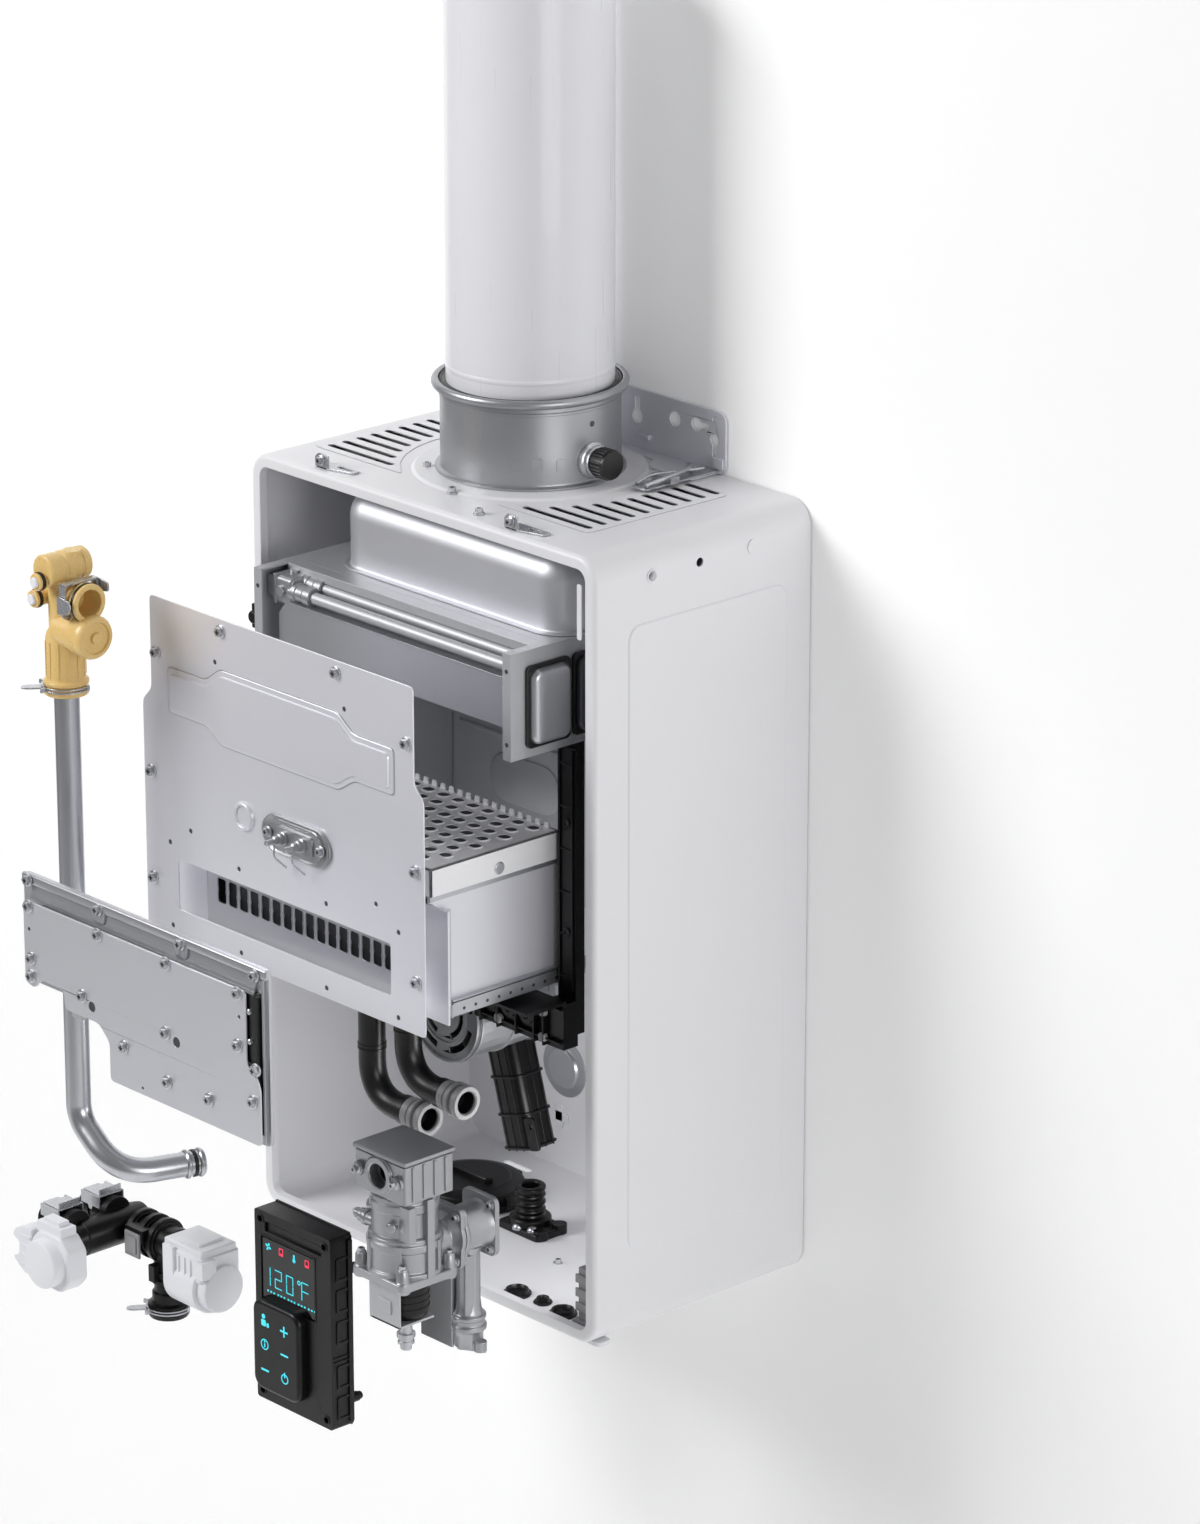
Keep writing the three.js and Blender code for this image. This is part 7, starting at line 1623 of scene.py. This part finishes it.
def build_gas_valve():
    cast, steel, dark = die_cast_aluminium(), zinc_screw_steel(), painted_shade_steel()
    x0, y0 = 167.5, -415
    low, top = extent("valve_body")[2]
    lower = [(0, low + 6), (33, low + 6), (33, low + 11), (31, low + 12.4), (31, 134), (32.4, 135),
        (32.4, 141), (31, 142), (31, 145), (29.4, 146.4), (28, 147), (28, 168), (29.6, 169),
        (29.6, 176), (28.4, 177), (28.4, top - 1), (27, top), (0, top)]
    shapes = [turned("z", lower, (x0, y0), 72)]
    base = drawn("z", (x0 - 33.5, x0 + 33.5), (y0 - 32.5, y0 + 32.5), 7,
        [(1, low), (0, low + 1), (0, low + 7), (1.4, low + 8)], 6)
    shapes.append(base)
    for u in (-26.5, 26.5):
        for v in (-25.5, 25.5):
            shapes.append(turned("z", [(0, low - 2), (5.6, low - 2), (6.6, low), (6.6, low + 8),
                (5.4, low + 9), (5, low + 18), (3.8, low + 20), (0, low + 20)], (x0 + u, y0 + v),
                36))
    for degrees in (20, 75, 130, 200, 250, 310):
        rib = box((27, 33.4), (-2.4, 2.4), (low + 7, 142))
        shapes.append(moved(rib, (x0, y0, 0), math.radians(degrees)))
    shapes.append(box((x0 + 22, x0 + 34), (y0 - 4, y0 + 4), (low + 7, top)))
    shapes.append(box((x0 + 18, x0 + 31), (y0 - 22, y0 - 14), (146, top - 4)))
    for z, degrees in ((158, -62), (158, -40), (164, -150)):
        boss = turned("x", [(0, 24), (4.6, 24), (4.6, 32), (3.6, 33), (0, 33)], (0, z), 28)
        shapes.append(moved(boss, (x0, y0, 0), math.radians(degrees)))
    spot = (y0 - 14, 150)
    tip = x0 - 48
    nipple = [(0, tip + 3), (4.4, tip + 3), (4.4, tip + 8), (6, tip + 9), (6, tip + 14),
        (7.4, tip + 15), (7.4, tip + 19), (6, tip + 20), (6, x0 - 10), (0, x0 - 10)]
    shapes.append(turned("x", nipple, spot, 36))
    neck = [(0, y0), (15, y0), (15, -376), (19, -372), (23, -370.4), (23, -366.6), (22.4, -366),
        (0, -366)]
    shapes.append(turned("y", neck, (x0, 127), 56))
    plate = slab("y", rounded((x0 - 21, x0 + 21), (100, 154), 6), (-371, -366.4))
    shapes.append(plate)
    solid("valve_body_shown", shapes, cast, "gas_valve", ["valve_body"],
        bevel=0.7)
    screws("valve_base_screws", "z",
        [(x0 + u, y0 + v) for u in (-26.5, 26.5) for v in (-25.5, 25.5)], low + 19, 4, "gas_valve",
        4.4)
    end = turned("x", [(0, tip), (3.4, tip), (3.8, tip + 1), (3.8, tip + 4), (0, tip + 4)], spot,
        28)
    solid("valve_nipple_tip", [end], moulded_pbt(), "gas_valve", bevel=0.3)
    screws("neck_screws", "y",
        [(x0 + u, 127 + v) for u, v in ((-15, 20), (15, 20), (-15, -20), (15, -20))], -371, 4,
        "gas_valve", 4.2)

    low, top = extent("valve_head")[2]
    half_x, half_y = 32, 27
    port_z = top - 20
    body = slab("z", softened([(x0 - half_x, y0 - half_y), (x0 + half_x, y0 - half_y),
        (x0 + half_x, y0 + half_y), (x0 - half_x, y0 + half_y)], 3), (low, top - 5))
    neck_ring = drawn("z", (x0 - half_x + 2, x0 + half_x - 2), (y0 - half_y + 2, y0 + half_y - 2),
        4, [(0, top - 6), (0, top - 3)], 4)
    roof = drawn("z", (x0 - half_x - 1.5, x0 + half_x + 1.5),
        (y0 - half_y - 1.5, y0 + half_y + 1.5), 2.5,
        [(0.3, top - 3.4), (0, top - 3), (0, top - 0.6), (0.5, top)], 4)
    front = y0 - half_y
    ring = [(10.5, front + 1), (17.4, front + 1), (17.4, front - 0.8), (16, front - 1.6),
        (16, front - 3), (11.4, front - 3), (10.5, front - 2.2)]
    shapes = [body, neck_ring, roof, turned("y", ring, (x0, port_z), 64)]
    for u in (-24, 24):
        shapes.append(turned("y", [(0, front + 2), (6.4, front + 2), (6.4, front - 2.4),
            (5.6, front - 3.2), (0, front - 3.2)], (x0 + u, port_z), 36))
    side = x0 + half_x
    for y in (y0 - 18, y0 - 6, y0 + 6, y0 + 18):
        shapes.append(box((side - 1, side + 1.4), (y - 1.4, y + 1.4), (low + 2, top - 6)))
    cutter = rod("y", 10.5, (front - 5, front + 26), (x0, port_z), 48)
    solid("valve_head_shown", shapes[:1], cast, "gas_valve", ["valve_head"],
        bevel=0.7, cuts=[cutter])
    solid("valve_head_trims", shapes[1:], cast, "gas_valve", bevel=0.6)
    # A dark lining in the head's port: painted shade in its bore.
    bore = [(0, front + 25), (8.4, front + 25), (8.4, front + 8), (10.4, front + 7),
        (10.4, front + 25.5), (0, front + 25.5)]
    solid("valve_bore_shade", [turned("y", bore, (x0, port_z), 40)], dark, "gas_valve",
        bevel=0)
    screws("valve_head_screws", "y", [(x0 - 24, port_z), (x0 + 24, port_z)], front - 3, 6,
        "gas_valve", 4.4)

    tip, top = extent("valve_solenoid")[2]
    bottom = top - 38
    coil = [(0, top), (20, top), (20, bottom + 7), (19, bottom + 3), (16, bottom), (0, bottom)]
    shapes = [turned("z", coil, (x0, y0), 56)]
    for z in range(int(bottom) + 10, int(top), 6):
        shapes.append(pipe("z", 20.5, 19, (z, z + 1.6), (x0, y0), 56))
    solid("solenoid_coil", shapes, moulded_nylon(), "gas_valve", ["valve_solenoid"],
        bevel=0.3)
    yoke = [box((x0 - 20.5, x0 + 18), (y0 - 22.5, y0 - 20.6), (bottom - 2.5, top)),
        box((x0 - 18, x0 + 18), (y0 - 22.5, y0 + 16), (bottom - 2.5, bottom - 0.4)),
        box((x0 - 8, x0 + 8), (y0 - 24, y0 - 22), (bottom + 8, bottom + 20))]
    solid("solenoid_yoke", yoke, galvanised_sheet(), "gas_valve", bevel=0.4)
    stem = [(0, bottom), (8.6, bottom), (8.6, bottom - 5), (5.5, bottom - 6), (5.5, tip + 16),
        (8, tip + 15.4), (8, tip + 12), (6.4, tip + 11), (6.4, tip + 9), (7.2, tip + 8.4),
        (7.2, tip + 6), (5, tip + 5), (5, tip + 1), (4, tip), (0, tip)]
    solid("solenoid_stem", [turned("z", stem, (x0, y0), 40)], steel, "gas_valve",
        bevel=0.2)

    high = extent("gas_tube")[2]
    y1, start = -345, -365.7
    elbow = [(0, start), (23, start), (23, start + 3.4), (21, start + 4.6), (20, start + 6),
        (20, start + 26), (21, start + 30), (22, start + 33), (0, start + 33)]
    shapes = [turned("y", elbow, (x0, 127), 56)]
    rear = start + 38
    shapes.append(slab("y", rounded((x0 - 21, x0 + 21), (100, 154), 7, 6), (rear - 5, rear)))
    shapes.append(slab("y", rounded((x0 - 20, x0 + 20), (101, 153), 7, 6), (start, start + 3)))
    column = [(0, 18), (12.6, 18), (12.6, 30), (14, 33), (15.6, 34), (15.6, 38), (14, 39),
        (14, 43), (15.2, 44), (15.2, 47), (13, 48.4), (11.4, 52), (10.5, 60), (10.5, 104),
        (13, 110), (0, 118)]
    shapes.append(turned("z", column, (x0, y1), 48))
    star = []
    for k in range(8):
        angle = math.tau * k / 8
        reach = 23 if k % 4 == 0 else (17 if k % 2 == 0 else 13)
        star.append((x0 + reach * math.cos(angle), y1 + reach * 0.75 * math.sin(angle)))
    foot = softened(star, 3)
    shapes.append(slab("z", foot, (high[0], high[0] + 8)))
    for u in (-15, 15):
        shapes.append(rod("z", 5.6, (high[0], high[0] + 9.6), (x0 + u, y1), 32))
    for u in (-9, 9):
        shapes.append(box((x0 + u - 1.2, x0 + u + 1.2), (y1 - 12, y1 + 4), (50, 104)))
    solid("gas_tube_shown", shapes, cast, "gas_valve", ["gas_tube"], bevel=0.7)
    screws("tube_flange_screws", "y", [(x0 + u, 127 + v) for u, v in ((15, 20), (15, -20))],
        rear - 5, 3.4, "gas_valve", 4.2)
    sheet = box((x0 - 46, x0 - 6), (y1 - 13.5, y1 - 11), (high[0], 92))
    hem = box((x0 - 46, x0 - 44.4), (y1 - 13.5, y1 + 4), (high[0], 92))
    solid("valve_bracket", [sheet, hem], satin_stainless_sheet(), "gas_valve",
        bevel=0.5)


def build_stage():
    scene = bpy.context.scene
    scene.view_settings.view_transform = "Standard"
    image = (1200, 1524)
    focal_pixels = 6322.7
    lens = bpy.data.cameras.new("photo_camera")
    lens.sensor_fit = "AUTO"
    lens.sensor_width = 36
    lens.lens = lens.sensor_width * focal_pixels / max(image)
    lens.clip_end = 50
    camera = bpy.data.objects.new("photo_camera", lens)
    distance_from_foot = Vector((3848.472, -3585.966, 2250.356))
    camera.location = (distance_from_foot + FOOT) * MM
    azimuth, elevation = 47.33523552, 19.22110531
    camera.rotation_euler = (math.radians(90 - elevation), 0, math.radians(azimuth))
    scene.collection.objects.link(camera)
    scene.camera = camera

    world = bpy.data.worlds.new("studio")
    scene.world = world
    world.use_nodes = True
    tree = world.node_tree
    tree.nodes.clear()
    rays = add_node(tree, "ShaderNodeLightPath")
    soft = add_node(tree, "ShaderNodeBackground", inputs={"Color": (1, 1, 1, 1), "Strength": 0.22})
    white = add_node(tree, "ShaderNodeBackground", inputs={"Color": (1, 1, 1, 1), "Strength": 1.0})
    pick = add_node(tree, "ShaderNodeMixShader",
        inputs={0: rays.outputs["Is Camera Ray"], 1: soft.outputs[0], 2: white.outputs[0]})
    add_node(tree, "ShaderNodeOutputWorld", inputs={"Surface": pick.outputs[0]})

    reach, wall_gap, floor_gap = 3.0, 0.001, 0.9
    floor_z = CAD_BOX[0][2] - floor_gap
    backdrop_sheet("backdrop_wall", [(-reach, wall_gap, floor_z), (reach, wall_gap, floor_z),
        (reach, wall_gap, reach), (-reach, wall_gap, reach)])
    backdrop_sheet("backdrop_floor", [(-reach, wall_gap, floor_z), (-reach, -reach, floor_z),
        (reach, -reach, floor_z), (reach, wall_gap, floor_z)])
    aim = (0, -0.2, -0.3)
    add_light("key_lamp", (-1.5, -2.6, 1.5), aim, 1.6, 1.6, 84)
    add_light("fill_lamp", (3.7, -1.0, 0.1), aim, 1.8, 1.8, 42)
    add_light("bay_lamp", (0.2, -0.2, -0.6), (-0.2, -0.1, -0.6), 0.1, 0.1, 0.28)


# Operators, one for each group and one for the stage


class HeaterOperator:
    """Builds one group of pieces, and raises whatever stops it."""
    bl_options = {"REGISTER", "UNDO"}

    def execute(self, context):
        self.build()
        return {"FINISHED"}


class HEATER_OT_cabinet(HeaterOperator, bpy.types.Operator):
    """Builds the enamelled cabinet with its vents, panels and holes"""
    bl_idname = "heater.cabinet"
    bl_label = "Cabinet"
    build = staticmethod(build_cabinet)


class HEATER_OT_flue(HeaterOperator, bpy.types.Operator):
    """Builds the vent pipe, its collar and seal, and the test port"""
    bl_idname = "heater.flue"
    bl_label = "Flue"
    build = staticmethod(build_flue)


class HEATER_OT_bracket(HeaterOperator, bpy.types.Operator):
    """Builds the wall bracket, its strap and the two cover clips"""
    bl_idname = "heater.bracket"
    bl_label = "Bracket"
    build = staticmethod(build_bracket)


class HEATER_OT_exchanger(HeaterOperator, bpy.types.Operator):
    """Builds the exhaust hood and the heat exchanger's header, tubes and side covers"""
    bl_idname = "heater.exchanger"
    bl_label = "Heat exchanger"
    build = staticmethod(build_exchanger)


class HEATER_OT_chamber(HeaterOperator, bpy.types.Operator):
    """Dresses the combustion chamber, the side rail, the fan and its intake duct"""
    bl_idname = "heater.chamber"
    bl_label = "Chamber and fan"
    build = staticmethod(build_chamber)


class HEATER_OT_floor(HeaterOperator, bpy.types.Operator):
    """Builds the drain hoses and the fittings on the cabinet's floor"""
    bl_idname = "heater.floor"
    bl_label = "Hoses and floor fittings"
    build = staticmethod(build_floor)


class HEATER_OT_burner(HeaterOperator, bpy.types.Operator):
    """Builds the burner's deck, box, port row and tray"""
    bl_idname = "heater.burner"
    bl_label = "Burner"
    build = staticmethod(build_burner)


class HEATER_OT_front_plate(HeaterOperator, bpy.types.Operator):
    """Builds the front plate with its sight ring and the igniter"""
    bl_idname = "heater.front_plate"
    bl_label = "Front plate"
    build = staticmethod(build_front_plate)


class HEATER_OT_gas_cover(HeaterOperator, bpy.types.Operator):
    """Builds the gas cover's two pressed plates on their gasket"""
    bl_idname = "heater.gas_cover"
    bl_label = "Gas cover"
    build = staticmethod(build_gas_cover)


class HEATER_OT_outlet(HeaterOperator, bpy.types.Operator):
    """Builds the moulded outlet tee, its bent pipe and the clips"""
    bl_idname = "heater.outlet"
    bl_label = "Outlet"
    build = staticmethod(build_outlet)


class HEATER_OT_water(HeaterOperator, bpy.types.Operator):
    """Builds the water valves' moulded run, its motors and its clips"""
    bl_idname = "heater.water"
    bl_label = "Water valves"
    build = staticmethod(build_water)


class HEATER_OT_panel(HeaterOperator, bpy.types.Operator):
    """Builds the control panel with its window, signs and keypad"""
    bl_idname = "heater.panel"
    bl_label = "Control panel"
    build = staticmethod(build_panel)


class HEATER_OT_gas_valve(HeaterOperator, bpy.types.Operator):
    """Builds the gas valve with its head, coil and tube"""
    bl_idname = "heater.gas_valve"
    bl_label = "Gas valve"
    build = staticmethod(build_gas_valve)


class HEATER_OT_stage(HeaterOperator, bpy.types.Operator):
    """Sets the wall, the floor, the lamps and the camera"""
    bl_idname = "heater.stage"
    bl_label = "Stage"
    build = staticmethod(build_stage)


PARTS = [HEATER_OT_cabinet, HEATER_OT_flue, HEATER_OT_bracket, HEATER_OT_exchanger,
    HEATER_OT_chamber, HEATER_OT_floor, HEATER_OT_burner, HEATER_OT_front_plate,
    HEATER_OT_gas_cover, HEATER_OT_outlet, HEATER_OT_water, HEATER_OT_panel, HEATER_OT_gas_valve,
    HEATER_OT_stage]


class HEATER_PT_pieces(bpy.types.Panel):
    """Lists the heater's pieces"""
    bl_idname = "HEATER_PT_pieces"
    bl_label = "Water heater"
    bl_space_type = "VIEW_3D"
    bl_region_type = "UI"
    bl_category = "Heater"

    def draw(self, context):
        for part in PARTS:
            self.layout.operator(part.bl_idname)
        for settings in (context.scene.heater_sizes, context.scene.heater_colours):
            for key in settings.__annotations__:
                self.layout.prop(settings, key)


CLASSES = (HeaterColours, HeaterSizes, *PARTS, HEATER_PT_pieces)


def register():
    for made in CLASSES:
        bpy.utils.register_class(made)
    bpy.types.Scene.heater_colours = bpy.props.PointerProperty(type=HeaterColours)
    bpy.types.Scene.heater_sizes = bpy.props.PointerProperty(type=HeaterSizes)


def unregister():
    del bpy.types.Scene.heater_sizes
    del bpy.types.Scene.heater_colours
    for made in reversed(CLASSES):
        bpy.utils.unregister_class(made)


def main():
    register()
    for part in PARTS:
        group, name = part.bl_idname.split(".")
        getattr(getattr(bpy.ops, group), name)()


if __name__ == "__main__":
    main()
